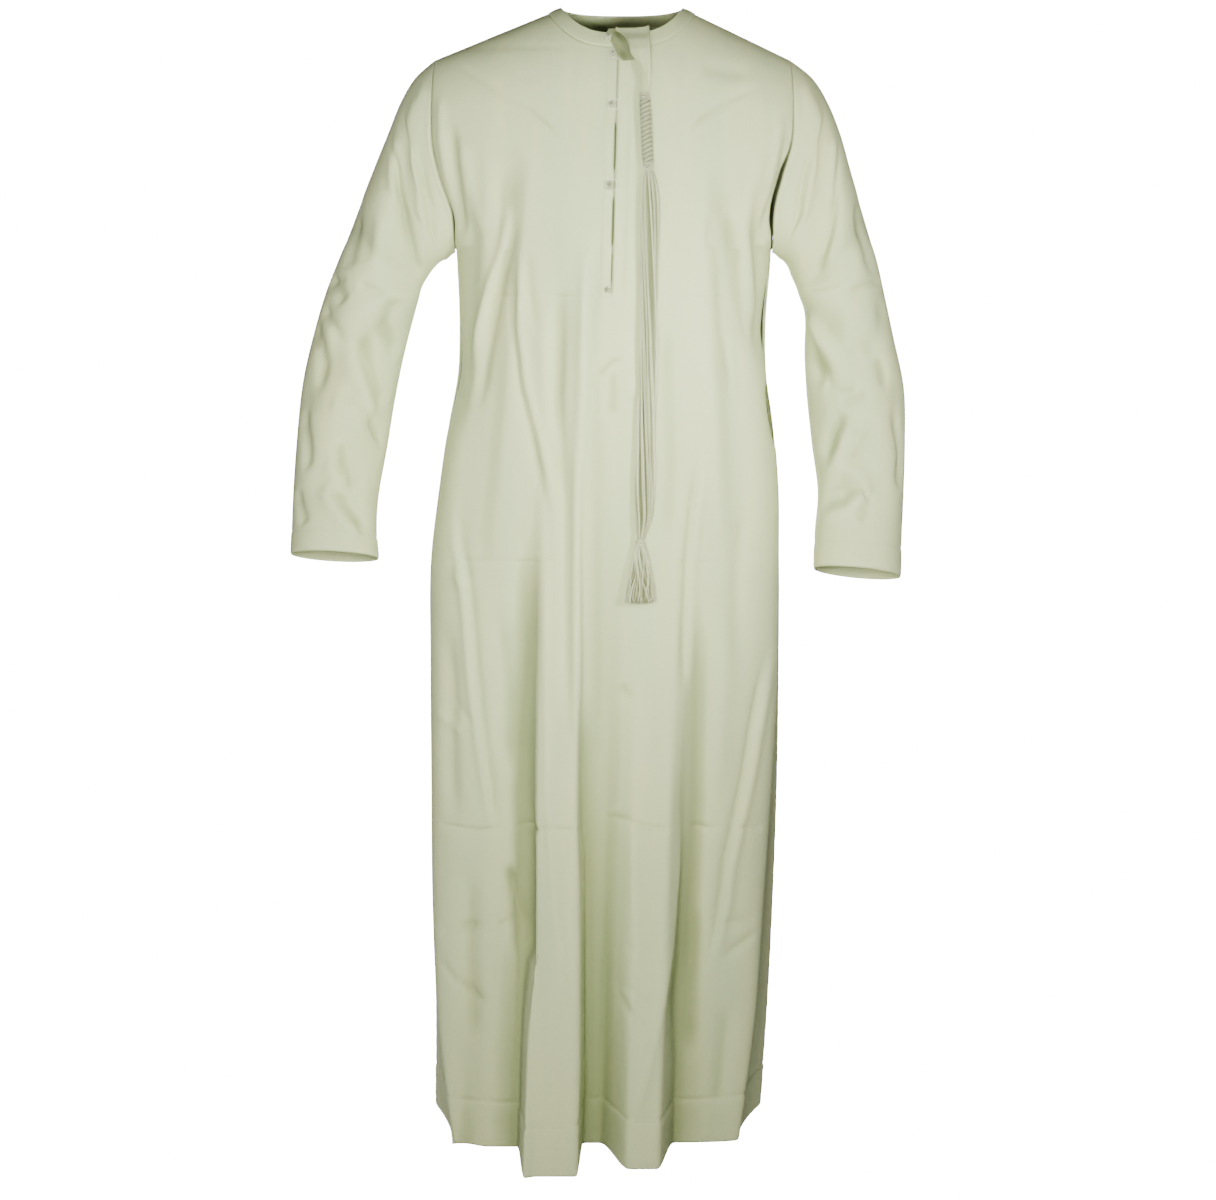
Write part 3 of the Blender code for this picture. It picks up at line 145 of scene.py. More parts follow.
SLEEVE_LEFT_RINGS = (
    #          outer_x outer_z inner_x inner_z  y     half_depth lean own
    SleeveRing(0.244, -0.083, 0.204, -0.300, 0.002, 0.071, 0.0, 0.12),
    SleeveRing(0.263, -0.112, 0.208, -0.303, 0.002, 0.070, 0.0, 0.25),
    SleeveRing(0.279, -0.150, 0.210, -0.304, 0.002, 0.069, 0.0, 0.40),
    SleeveRing(0.291, -0.190, 0.213, -0.307, 0.003, 0.067, 0.0, 0.56),
    SleeveRing(0.303, -0.229, 0.217, -0.313, 0.004, 0.066, 0.0, 0.72),
    SleeveRing(0.315, -0.267, 0.221, -0.323, 0.006, 0.065, 0.0, 0.86),
    SleeveRing(0.327, -0.306, 0.229, -0.341, 0.008, 0.064, 2.0, 1.00),
    SleeveRing(0.337, -0.347, 0.238, -0.368, 0.011, 0.062, 3.0, 1.00),
    SleeveRing(0.349, -0.400, 0.238, -0.412, 0.011, 0.061, 6.0, 1.00),
    SleeveRing(0.362, -0.462, 0.241, -0.468, 0.002, 0.059, 10.0, 1.00),
    SleeveRing(0.362, -0.524, 0.246, -0.524, -0.016, 0.055, 13.0, 1.00),
    SleeveRing(0.359, -0.587, 0.253, -0.583, -0.036, 0.051, 14.0, 1.00),
    SleeveRing(0.356, -0.640, 0.249, -0.632, -0.049, 0.048, 15.0, 1.00),
    SleeveRing(0.354, -0.689, 0.247, -0.678, -0.062, 0.047, 15.0, 1.00),
)


class Fold(NamedTuple):
    """A fold that runs down a panel: its span, its crest's edges, its flanks and its depths."""

    top_z: float
    foot_z: float
    top_left: float
    top_right: float
    foot_left: float
    foot_right: float
    left_flank: float
    right_flank: float
    top_depth: float
    foot_depth: float
    growth: float


FRONT_FOLDS = (
    #    top_z  foot_z  top_l   top_r   foot_l  foot_r  flank_l flank_r top_d  foot_d growth
    Fold(-0.56, -1.402, -0.080, -0.044, -0.106, -0.043, 0.013, 0.007, 0.004, 0.122, 2.0),
    Fold(-0.62, -1.402, 0.040, 0.078, 0.021, 0.055, 0.037, 0.023, 0.003, 0.096, 2.0),
    Fold(-0.95, -1.402, -0.150, -0.125, -0.155, -0.122, 0.035, 0.030, 0.000, 0.014, 1.0),
    Fold(-0.20, -0.62, -0.123, -0.118, -0.178, -0.160, 0.030, 0.022, -0.009, -0.006, 1.0),
    Fold(-0.22, -0.60, 0.130, 0.136, 0.150, 0.158, 0.022, 0.030, -0.009, -0.005, 1.0),
    Fold(-0.28, -0.80, -0.050, -0.036, -0.062, -0.034, 0.020, 0.020, 0.003, 0.007, 1.0),
)

BACK_FOLDS = (
    #    top_z  foot_z  top_l   top_r   foot_l  foot_r  flank_l flank_r top_d  foot_d growth
    Fold(-0.60, -1.402, -0.120, -0.085, -0.150, -0.100, 0.032, 0.026, 0.004, 0.046, 1.6),
    Fold(-0.55, -1.402, -0.012, 0.018, -0.024, 0.022, 0.030, 0.034, 0.004, 0.052, 1.6),
    Fold(-0.66, -1.402, 0.090, 0.120, 0.094, 0.136, 0.026, 0.030, 0.003, 0.040, 1.6),
    Fold(-0.24, -0.60, -0.090, -0.075, -0.100, -0.080, 0.030, 0.030, -0.008, -0.006, 1.0),
    Fold(-0.24, -0.60, 0.070, 0.085, 0.082, 0.100, 0.030, 0.030, -0.008, -0.006, 1.0),
)


class SleeveFold(NamedTuple):
    """A broad fold of a sleeve, from one place to another, as share of length and turn."""

    start_share: float
    start_turn: float
    end_share: float
    end_turn: float
    half_width: float
    depth: float


SLEEVE_FOLDS = (
    #          start  turn   end    turn   half_w  depth
    SleeveFold(0.08, 62.0, 0.42, 122.0, 0.024, -0.009),
    SleeveFold(0.40, 20.0, 0.47, 130.0, 0.022, -0.006),
    SleeveFold(0.52, 150.0, 0.62, 60.0, 0.024, 0.005),
    SleeveFold(0.62, 120.0, 0.72, 40.0, 0.022, -0.005),
    SleeveFold(0.76, 150.0, 0.86, 80.0, 0.022, -0.005),
    SleeveFold(0.34, 300.0, 0.50, 230.0, 0.028, -0.007),
    SleeveFold(0.55, 320.0, 0.66, 230.0, 0.026, -0.005),
)


# ---------------------------------------------------------------- curves and creases


def ramp(value: Array, low: float, high: float) -> Array:
    """Gives 0 below low, 1 above high, and a smooth rise between them."""
    share = np.clip((np.asarray(value, float) - low) / (high - low), 0.0, 1.0)
    return share * share * (3 - 2 * share)


def bell(off: Array, width: float) -> Array:
    """Gives 1 where off is 0, and falls away evenly on both sides over this width."""
    return np.exp(-((off / width) ** 2))


def run_of(points: Array, axis: int = 0) -> Array:
    """Distance run along a path, or along each line of a grid, from 0 at its first point."""
    steps = np.linalg.norm(np.diff(points, axis=axis), axis=-1)
    return np.insert(np.cumsum(steps, axis=axis), 0, 0.0, axis=axis)


def between(knots: Sequence[float], cells: int) -> Array:
    """The knots, with even values between them that make this many cells from each to the next.

    Args:
        knots: The knots, in order.
        cells: Number of cells between a knot and the next.

    Returns:
        The knots and the values.
    """
    found = [knots[0]]
    for start, end in zip(knots, knots[1:]):
        found.extend(np.linspace(start, end, cells + 1)[1:])
    return np.array(found)


class SmoothTable:
    """A table read as smooth curves through its rows, by one of its columns."""

    def __init__(self, rows: Sequence[NamedTuple], key: Optional[str] = None) -> None:
        """Orders the rows and works out the curves' slopes at them.

        Args:
            rows: The table, as named tuples of one kind.
            key: The column that the others are read by, or none to read them by row number.
        """
        self.names = rows[0]._fields
        values = np.array(rows, float)
        keys = np.arange(len(values), dtype=float) if key is None else values[:, self.names.index(key)]
        order = np.argsort(keys)
        self.keys = keys[order]
        self.values = values[order]
        self.slopes = np.gradient(self.values, self.keys, axis=0)

    def at(self, where: Array, name: str) -> Array:
        """Reads one column.

        Args:
            where: Values of the key column.
            name: The column to read.

        Returns:
            The column's values there.
        """
        column = self.names.index(name)
        where = np.clip(np.asarray(where, float), self.keys[0], self.keys[-1])
        low = np.clip(np.searchsorted(self.keys, where, side="right") - 1, 0, len(self.keys) - 2)
        span = self.keys[low + 1] - self.keys[low]
        share = (where - self.keys[low]) / span
        start, end = self.values[low, column], self.values[low + 1, column]
        rise = share * share * (3 - 2 * share)
        out = self.slopes[low, column] * span
        into = self.slopes[low + 1, column] * span
        bend = share * (1 - share) ** 2 * out + share * share * (share - 1) * into
        return start + rise * (end - start) + bend


class Edge(Enum):
    """How the cloth rises across a crease."""

    SOFT = "soft"
    PRESSED = "pressed"
    STEP = "step"


@dataclass(frozen=True)
class Crease:
    """A crease: a line over the cloth with a width and a depth, below zero for a trough."""

    path: tuple[tuple[float, float], ...]
    width: float
    depth: float
    edge: Edge = Edge.SOFT
    fade: float = 0.22

    def relief(self, across: Array, down: Array) -> Array:
        """How far the crease moves the cloth out.

        Args:
            across: The cloth's places across, in the crease's own measure.
            down: The cloth's places down.

        Returns:
            The rise at each place, in metres.
        """
        points = np.array(self.path)
        steps = np.linalg.norm(np.diff(points, axis=0), axis=1)
        total = steps.sum()
        best = np.full(across.shape, 1e9)
        signed = np.zeros(across.shape)
        along = np.zeros(across.shape)
        run = 0.0
        for start, end, step in zip(points, points[1:], steps):
            way = (end - start) / step
            dx, dy = across - start[0], down - start[1]
            share = np.clip(dx * way[0] + dy * way[1], 0.0, step)
            off_x, off_y = dx - share * way[0], dy - share * way[1]
            gap = np.hypot(off_x, off_y)
            nearer = gap < best
            best = np.where(nearer, gap, best)
            side = np.sign(way[0] * off_y - way[1] * off_x)
            signed = np.where(nearer, side * gap, signed)
            along = np.where(nearer, run + share, along)
            run += step
        near_end = np.minimum(along, total - along) / total
        taper = ramp(near_end, -0.02, self.fade)
        ratio = best / self.width
        if self.edge is Edge.PRESSED:
            shape = np.exp(-np.sqrt(ratio * ratio + 0.05) + 0.2236)
        elif self.edge is Edge.STEP:
            shape = signed / self.width * np.exp(0.5 - 0.5 * ratio * ratio)
        else:
            shape = np.exp(-ratio * ratio)
        return self.depth * taper * shape


SOFT, PRESSED, STEP = Edge


def creases(*rows: tuple) -> tuple[Crease, ...]:
    """Reads creases from rows of edge, width, depth and the places along them, in millimetres."""
    found = []
    for edge, width, depth, *path in rows:
        places = (np.array(path).reshape(-1, 2) / 1000).tolist()
        found.append(Crease(tuple(map(tuple, places)), width / 1000, depth / 1000, edge))
    return tuple(found)


def relief_of(table: Sequence[Crease], across: Array, down: Array) -> Array:
    """Adds up the creases over a grid of places.

    Args:
        table: The creases.
        across: Places across, in the creases' own measure.
        down: Places down.

    Returns:
        The rise at each place.
    """
    total = np.zeros(across.shape)
    for crease in table:
        total += crease.relief(across, down)
    return total


# ---------------------------------------------------------------- the robe's form

# how far the first rows of a panel or a sleeve lie from its top edge
CLOSE_ROWS = (0.0, 0.0009, 0.0022)


@dataclass
class RobeForm:
    """The robe's surfaces as worn: body, neck and armholes, in metres."""

    hem_z: float = -1.402
    armpit_z: float = -0.292
    tip_z: float = -0.062
    neck_x: float = 0.012
    neck_radius: float = 0.0735
    band_width: float = 0.016
    front_drop: float = 0.035
    back_drop: float = 0.004
    seam_front_drop: float = 0.052
    seam_back_drop: float = 0.020
    neck_square: float = 3.2
    neck_rise: float = 0.010
    band_depth_share: float = 0.86
    shoulder_left: float = -0.216
    shoulder_right: float = 0.217
    shoulder_round: float = 0.085
    neck_round: float = 0.035
    armhole_front: float = -0.068
    armhole_back: float = 0.072
    armhole_level_z: float = -0.165
    armhole_wider: float = 0.010
    armhole_edge: float = 6.0
    armhole_rim: float = 26.0
    armhole_soft: float = 0.035
    armhole_wider_z: tuple[float, float] = (-0.068, -0.122)
    back_rise_z: tuple[float, float] = (-0.08, 0.16)
    hang_below: float = 0.10
    back_power_low: float = 0.88
    back_power_high: float = 1.35
    back_turn_in: float = 1.6
    edge_hold: float = 12.0
    slit_top_x: float = 0.008
    slit_end_x: float = -0.0015
    slit_end_z: float = -0.343
    shoulder_rows: int = 9
    shoulder_lap: float = 0.0001
    shoulder_shares: tuple[float, ...] = (1.0, 0.96, 0.90, 0.65, 0.40, 0.20, 0.08)
    neck_clear: float = 0.0005
    neck_blend: float = 0.006
    shoulder_dip: float = 0.0005
    middle_x: float = 0.0005
    half_x: float = 0.2165
    yoke: float = 0.25
    body: SmoothTable = field(default_factory=lambda: SmoothTable(BODY, "z"))

    @property
    def seam_radius(self) -> float:
        """Half the width across the neck at the band's seam."""
        return self.neck_radius + self.band_width

    def ridge_z(self, x: Array) -> Array:
        """Height of the shoulder line, or of the crown over the neck.

        Args:
            x: Places across.

        Returns:
            The heights.
        """
        from_neck = np.abs(np.asarray(x, float) - self.neck_x)
        tip = np.where(np.asarray(x) < self.neck_x, self.shoulder_left, self.shoulder_right)
        run = np.abs(tip - self.neck_x) - self.neck_radius
        slope = self.tip_z * (from_neck - self.neck_radius) / run
        crown = self.neck_rise * (1 - (from_neck / self.neck_radius) ** 2)
        return np.where(from_neck < self.neck_radius, crown, slope)

    def neck_seam_z(self, x: Array, drop: float) -> Array:
        """Height of the band's seam at x, for the front's or the back's drop.

        Args:
            x: Places across.
            drop: How far the neckline drops on this side.

        Returns:
            The heights.
        """
        across = np.minimum(np.abs(np.asarray(x, float) - self.neck_x) / self.seam_radius, 1.0)
        side = float(self.ridge_z(np.array(self.neck_x + self.seam_radius)))
        return side * across**self.neck_square - drop * (1 - across**self.neck_square)

    def shoulder_share(self, x: Array, z: Array) -> Array:
        """Share of its full depth that the body has under the rounded shoulder line.

        Args:
            x: Places across.
            z: Heights.

        Returns:
            The shares.
        """
        outward = np.minimum(np.abs(x - self.neck_x) / self.shoulder_right, 1.0)
        reach = self.shoulder_round + self.neck_round * (1 - outward)
        fall = 1 - np.clip((self.ridge_z(x) - z) / reach, 0.0, 1.0)
        return np.sqrt(np.maximum(1 - fall * fall, 0.0))

    def armhole_y(self, z: Array, reach: float) -> Array:
        """Depth of the armhole's edge at height z."""
        turn = np.clip((self.armhole_level_z - z) / (self.armhole_level_z - self.armpit_z), 0.0, 1.0)
        return reach * np.sqrt(1 - turn * turn)

    def hang_y(self, z: Array, reach: float) -> Array:
        """Depth that the cloth beside the armhole hangs at."""
        return reach * ramp(z, self.armpit_z - self.hang_below, self.armhole_level_z)

    def beside_armhole(self, z: Array, across: Array, reach: float) -> Array:
        """How far the cloth beside the armhole leaves the hanging cloth to meet its seam.

        Args:
            z: Heights.
            across: From 0 at the middle of the panel to 1 at the seam.
            reach: The armhole's depth on this side.

        Returns:
            The change of depth.
        """
        steps = np.linspace(-self.armhole_soft, self.armhole_soft, 11)
        soft = sum(self.armhole_y(z + step, reach) for step in steps) / len(steps)
        exact = self.armhole_y(z, reach)
        eased = (soft - self.hang_y(z, reach)) * across**self.armhole_edge
        return eased + (exact - soft) * across**self.armhole_rim

    def slit_x(self, z: Array) -> Array:
        """Where the front slit runs at height z."""
        share = np.clip(np.asarray(z, float) / self.slit_end_z, 0.0, 1.0)
        return self.slit_top_x + (self.slit_end_x - self.slit_top_x) * share

    def turn_at(self, x: Array) -> Array:
        """Turn from the body's middle of places along its top edge, in radians."""
        return np.arcsin(np.clip((x - self.middle_x) / self.half_x, -1, 1))

    def row_heights(self, x: Array, drop: float, upper: Array, lower: Array) -> Array:
        """Heights of a panel's rows below these places along its top edge.

        Args:
            x: Places across, a row of them for each of the panel's rows.
            drop: How far the neckline drops on this side.
            upper: Shares of the fall from the top edge to the armpits.
            lower: Shares of the fall from the armpits to the hem.

        Returns:
            The heights.
        """
        in_neck = np.abs(x - self.neck_x) < self.seam_radius - 1e-6
        top = np.where(in_neck, self.neck_seam_z(x, drop), self.ridge_z(x))
        count = len(upper)
        z = np.empty(x.shape)
        z[:count] = top[:count] + (self.armpit_z - top[:count]) * upper[:, None]
        z[count:] = self.armpit_z + (self.hem_z - self.armpit_z) * lower[:, None]
        return z

    def close_shoulder(self, points: Array) -> Array:
        """Brings a panel's shoulder edges up to their seam, with close rows beside it.

        Args:
            points: The panel's points, with its top row along the shoulders and the neckline.

        Returns:
            The same points, moved.
        """
        clear = np.abs(points[0, :, 0] - self.neck_x) - self.seam_radius
        for column in np.flatnonzero(clear > self.neck_clear):
            points[0, column, 1] = np.sign(points[4, column, 1]) * self.shoulder_lap
            part = points[: self.shoulder_rows + 1, column].copy()
            run = run_of(part)
            even = np.linspace(CLOSE_ROWS[-1], run[-1], self.shoulder_rows - 1)
            share = min(clear[column] / self.neck_blend, 1.0)
            places = (1 - share) * run + share * np.concatenate([CLOSE_ROWS[:-1], even])
            for axis in range(3):
                points[: self.shoulder_rows + 1, column, axis] = np.interp(places, run, part[:, axis])
        return points

    def meet_shoulder(self, points: Array) -> Array:
        """Puts a creased panel's shoulder edges on the one line of their seam.

        Args:
            points: The panel's points, which are moved in place.

        Returns:
            The same points.
        """
        beside = np.abs(points[0, :, 0] - self.neck_x) > self.seam_radius + self.neck_clear
        goal = points[0, beside].copy()
        goal[:, 1] = np.sign(points[4, beside, 1]) * self.shoulder_lap
        goal[:, 2] = self.ridge_z(goal[:, 0]) - self.shoulder_dip
        move = goal - points[0, beside]
        for row, share in enumerate(self.shoulder_shares):
            points[row, beside] += share * move
        return points

    @staticmethod
    def folds_out(folds: Sequence[Fold], x: Array, z: Array) -> Array:
        """How far the long folds move the cloth out at these places.

        Args:
            folds: The folds.
            x: Places across.
            z: Heights.

        Returns:
            The rise at each place.
        """
        total = np.zeros(np.broadcast(x, z).shape)
        for fold in folds:
            run = (fold.top_z - z) / (fold.top_z - fold.foot_z)
            share = np.clip(run, 0.0, 1.0)
            left = fold.top_left + (fold.foot_left - fold.top_left) * share
            right = fold.top_right + (fold.foot_right - fold.top_right) * share
            rise = np.clip((x - left + fold.left_flank) / fold.left_flank, 0, 1)
            sink = np.clip((x - right) / fold.right_flank, 0, 1)
            crest = rise * rise * (3 - 2 * rise) * (1 - sink * sink * (3 - 2 * sink))
            depth = fold.top_depth + (fold.foot_depth - fold.top_depth) * share**fold.growth
            total += crest * depth * ramp(run, -0.12, 0.08) * (1 - ramp(run, 1.01, 1.2))
        return total

    def front_x(self, turn: Array, z: Array) -> Array:
        """Place across the front at this turn from its middle, in radians."""
        left, right = self.body.at(z, "seam_left"), self.body.at(z, "seam_right")
        return (left + right) / 2 + (right - left) / 2 * np.sin(turn)

    def front(self, x: Array, z: Array) -> Array:
        """Points of the front panel.

        Args:
            x: Places across.
            z: Heights, of the same shape.

        Returns:
            The points, with one more axis.
        """
        left, right = self.body.at(z, "seam_left"), self.body.at(z, "seam_right")
        across = np.clip((x - (left + right) / 2) / ((right - left) / 2), -1, 1)
        cos = np.sqrt(1 - across * across)
        left_y, right_y = self.body.at(z, "seam_left_y"), self.body.at(z, "seam_right_y")
        hang = self.hang_y(z, self.armhole_front)
        base = left_y + (right_y - left_y) * (across + 1) / 2 + hang
        y = base + (self.body.at(z, "front_y") - base) * cos ** self.body.at(z, "front_power")
        y = y + self.beside_armhole(z, np.abs(across), self.armhole_front)
        y = y * self.shoulder_share(x, z)
        hold = 1 - np.abs(across) ** self.edge_hold
        return np.stack([x, y - hold * self.folds_out(FRONT_FOLDS, x, z), z], axis=-1)

    def back(self, turn: Array, z: Array) -> Array:
        """Points of the back panel.

        Args:
            turn: From -1 at the seam on the viewer's left to 1 at the other seam.
            z: Heights, of the same shape.

        Returns:
            The points, with one more axis.
        """
        at = self.body.at
        left, right = at(z, "left"), at(z, "right")
        middle, half = (left + right) / 2, (right - left) / 2
        seam = np.where(turn > 0, at(z, "seam_right"), at(z, "seam_left"))
        seam_y = np.where(turn > 0, at(z, "seam_right_y"), at(z, "seam_left_y"))
        side_y = at(z, "side_y")
        past = np.arccos(np.minimum(np.abs(seam - middle) / half, 1.0))
        angle = np.abs(turn) * (math.pi / 2 + past)
        side = np.sign(turn)
        low, high = self.back_rise_z
        rise = ramp(z, self.armpit_z + low, self.armpit_z + high)
        power = self.back_power_low + (self.back_power_high - self.back_power_low) * rise
        armhole, hang = self.armhole_y(z, self.armhole_back), self.hang_y(z, self.armhole_back)
        start, whole = self.armhole_wider_z
        widest = self.armhole_wider * armhole / self.armhole_back * ramp(-z, -start, -whole)
        sin, cos = np.sin(angle), np.maximum(np.cos(angle), 0.0)
        near_x = middle + side * (half * sin + widest * sin**2)
        near_y = side_y + hang + (at(z, "back_y") - side_y - hang) * cos**power
        forward = np.clip((angle - math.pi / 2) / np.maximum(past, 1e-9), 0, 1)
        far_x = seam + side * (half - np.abs(seam - middle)) * (1 - forward) ** self.back_turn_in
        far_y = side_y + (seam_y - side_y) * forward + hang
        near = angle <= math.pi / 2
        x, y = np.where(near, near_x, far_x), np.where(near, near_y, far_y)
        y = y + self.beside_armhole(z, np.abs(turn), self.armhole_back)
        y = y * self.shoulder_share(x, z)
        hold = 1 - np.abs(turn) ** self.edge_hold
        return np.stack([x, y + hold * self.folds_out(BACK_FOLDS, x, z), z], axis=-1)

    def neck_ring(self, angle: Array) -> tuple[Array, Array]:
        """The band's seam and its free edge round the neck.

        Args:
            angle: Turns round the neck in radians, 0 at +X and a quarter turn at the back.

        Returns:
            Points of the seam and of the free edge.
        """
        across = np.cos(angle)
        x = self.neck_x + self.seam_radius * np.sign(across) * np.abs(across)
        in_front = np.sin(angle) < 0
        drop = np.where(in_front, self.seam_front_drop, self.seam_back_drop)
        side = float(self.ridge_z(np.array(self.neck_x + self.seam_radius)))
        square = np.abs(across) ** self.neck_square
        z = side * square - drop * (1 - square)
        turn = self.turn_at(x) / (math.pi / 2)
        seam = np.where(in_front[:, None], self.front(x, z), self.back(turn, z))
        edge_drop = np.where(in_front, self.front_drop, self.back_drop)
        edge = np.stack(
            [
                self.neck_x + (seam[:, 0] - self.neck_x) * self.neck_radius / self.seam_radius,
                seam[:, 1] * self.band_depth_share,
                -edge_drop * (1 - square),
            ],
            axis=-1,
        )
        return seam, edge


# ---------------------------------------------------------------- sheets of cloth


def normals_of(points: Array, ring: bool = False) -> Array:
    """Unit normals of a grid of points.

    Args:
        points: Rows by columns of points, rows running down and columns to the viewer's right.
        ring: Whether the last column meets the first.

    Returns:
        The normals, on the side that faces the viewer of the front.
    """
    if ring:
        across = np.roll(points, -1, axis=1) - np.roll(points, 1, axis=1)
    else:
        across = np.gradient(points, axis=1)
    down = np.gradient(points, axis=0)
    return unit(np.cross(down, across))


def arc_columns(points: Array, knots: Sequence[int], cells: Sequence[int], keep: float = 0.7) -> Array:
    """Shares of dense columns that give even cells along each row between knots.

    Args:
        points: Rows by dense columns of points.
        knots: Dense columns that stay columns of the sheet.
        cells: Number of cells between each knot and the next.
        keep: Weight of depth against width in the spacing.

    Returns:
        For each row, the places of the new columns, as dense column numbers.
    """
    weights = np.array([1.0, keep, 0.35])
    steps = np.linalg.norm(np.diff(points, axis=1) * weights, axis=-1)
    run = np.concatenate([np.zeros((len(points), 1)), np.cumsum(steps, axis=1)], axis=1)
    rows = []
    numbers = np.arange(points.shape[1])
    for line in run:
        places = [float(knots[0])]
        for start, end, count in zip(knots, knots[1:], cells):
            goal = np.linspace(line[start], line[end], count + 1)[1:]
            places.extend(np.interp(goal, line, numbers))
        rows.append(places)
    return np.array(rows)


def fall_of_rows(top: float, foot: float, count: int, closer: Sequence[tuple[float, float, float]]) -> Array:
    """Shares of the fall from top to foot for rows that close up at some heights.

    Args:
        top: Height of the first row.
        foot: Height of the last row.
        count: Number of cells.
        closer: For each place, its height, its reach and how much closer the rows lie there.

    Returns:
        The shares, without the first row's.
    """
    share = np.linspace(0.0, 1.0, 4001)
    z = top + (foot - top) * share
    weight = np.ones(z.shape)
    for middle, reach, gain in closer:
        weight += gain * bell(z - middle, reach)
    run = np.concatenate([[0.0], np.cumsum((weight[1:] + weight[:-1]) / 2)])
    return np.interp(np.linspace(0.0, run[-1], count + 1)[1:], run, share)


def spread(values: Array, reach: int, axis: int, ring: bool) -> Array:
    """Averages a grid along one axis.

    Args:
        values: The grid.
        reach: How many cells each way.
        axis: The axis.
        ring: Whether the grid closes on itself along it.

    Returns:
        The averages, of the same shape.
    """
    edges = [(0, 0)] * values.ndim
    edges[axis] = (reach + 1, reach)
    if ring:
        padded = np.pad(values, edges, mode="wrap")
    else:
        padded = np.pad(values, edges, mode="reflect", reflect_type="odd")
    total = np.cumsum(padded, axis=axis)
    count = total.shape[axis]
    high = np.take(total, np.arange(2 * reach + 1, count), axis=axis)
    low = np.take(total, np.arange(0, count - 2 * reach - 1), axis=axis)
    return (high - low) / (2 * reach + 1)


# for fine, middling and broad hollows of the painted shade: reach in cells, depth that counts in metres,
# weight
HOLLOW_SCALES = ((2, 0.0011, 0.24), (6, 0.0050, 0.34), (15, 0.0150, 0.66))


def hollows_of(points: Array, normal: Array, ring: bool = False) -> Array:
    """How far the cloth lies in a hollow at each place, the mask for painted shade in hollows and painted
    highlight on crests.

    Args:
        points: Rows by columns of points.
        normal: Their outward directions.
        ring: Whether the last column meets the first.

    Returns:
        From -1 on a crest to 1 in a hollow.
    """
    total = np.zeros(points.shape[:2])
    for reach, depth, weight in HOLLOW_SCALES:
        even = points
        for _ in range(2):
            even = spread(spread(even, reach, 0, False), reach, 1, ring)
        total += weight * np.tanh(((even - points) * normal).sum(axis=-1) / depth)
    return np.clip(total, -1.0, 1.0)


def row_shares(count: int, length: float) -> Array:
    """Shares down a panel: even, with two close rows at its top edge."""
    even = np.linspace(0.0, 1.0, count + 1)
    return np.concatenate([[row / length for row in CLOSE_ROWS], even[1:]])


def unit(ways: Array) -> Array:
    """The same directions at length one."""
    return ways / np.maximum(np.linalg.norm(ways, axis=-1, keepdims=True), 1e-12)


@dataclass
class ClothSheet:
    """A sheet of cloth with a wall, built from a grid of its outer points."""

    name: str
    points: Array
    ring: bool = False
    thickness: float = 0.0012
    holes: Optional[Array] = None
    flip: bool = False
    hollows: Optional[Array] = None

    def build(self) -> bpy.types.Object:
        """Makes the sheet with its own measured UV map and its wall.

        Returns:
            The finished piece.
        """
        rows, columns = self.points.shape[:2]
        mesh = bpy.data.meshes.new(self.name)
        bm = bmesh.new()
        layer = bm.loops.layers.uv.new("cloth")
        # the hollow layer carries the painted shade that the cloth's material reads
        depth = bm.verts.layers.float.new("hollow")
        verts = [bm.verts.new(point) for point in self.points.reshape(-1, 3)]
        if self.hollows is not None:
            for vert, value in zip(verts, self.hollows.reshape(-1)):
                vert[depth] = float(value)
        down = np.linalg.norm(np.diff(self.points, axis=0), axis=-1).mean(axis=1)
        v = np.concatenate([[0.0], np.cumsum(down)])
        middle = self.points[rows // 2]
        closed = np.concatenate([middle, middle[:1]]) if self.ring else middle
        u = run_of(closed)
        last = columns if self.ring else columns - 1
        for row in range(rows - 1):
            for column in range(last):
                if self.holes is not None and self.holes[row, column]:
                    continue
                after = (column + 1) % columns
                corners = [(row + 1, column), (row + 1, after), (row, after), (row, column)]
                places = [(column, row + 1), (column + 1, row + 1), (column + 1, row), (column, row)]
                if self.flip:
                    corners, places = corners[::-1], places[::-1]
                face = bm.faces.new([verts[a * columns + b] for a, b in corners])
                face.smooth = True
                for loop, (across, along) in zip(face.loops, places):
                    loop[layer].uv = (u[across], -v[along])
        bmesh.ops.delete(bm, geom=[vert for vert in bm.verts if not vert.link_faces], context="VERTS")
        bm.to_mesh(mesh)
        bm.free()
        piece = bpy.data.objects.new(self.name, mesh)
        bpy.context.scene.collection.objects.link(piece)
        wall = piece.modifiers.new("wall", "SOLIDIFY")
        wall.thickness = self.thickness
        wall.offset = -1.0
        wall.use_even_offset = False
        Bench.select(piece)
        bpy.ops.object.modifier_apply(modifier=wall.name)
        return piece

    def area(self) -> float:
        """Area of the cloth in square metres."""
        points = self.points
        if self.ring:
            points = np.concatenate([points, points[:, :1]], axis=1)
        across, down = np.diff(points, axis=1)[:-1], np.diff(points, axis=0)[:, :-1]
        cells = np.linalg.norm(np.cross(across, down), axis=-1)
        if self.holes is not None:
            cells = cells[:, : self.holes.shape[1]] * ~self.holes
        return float(cells.sum())


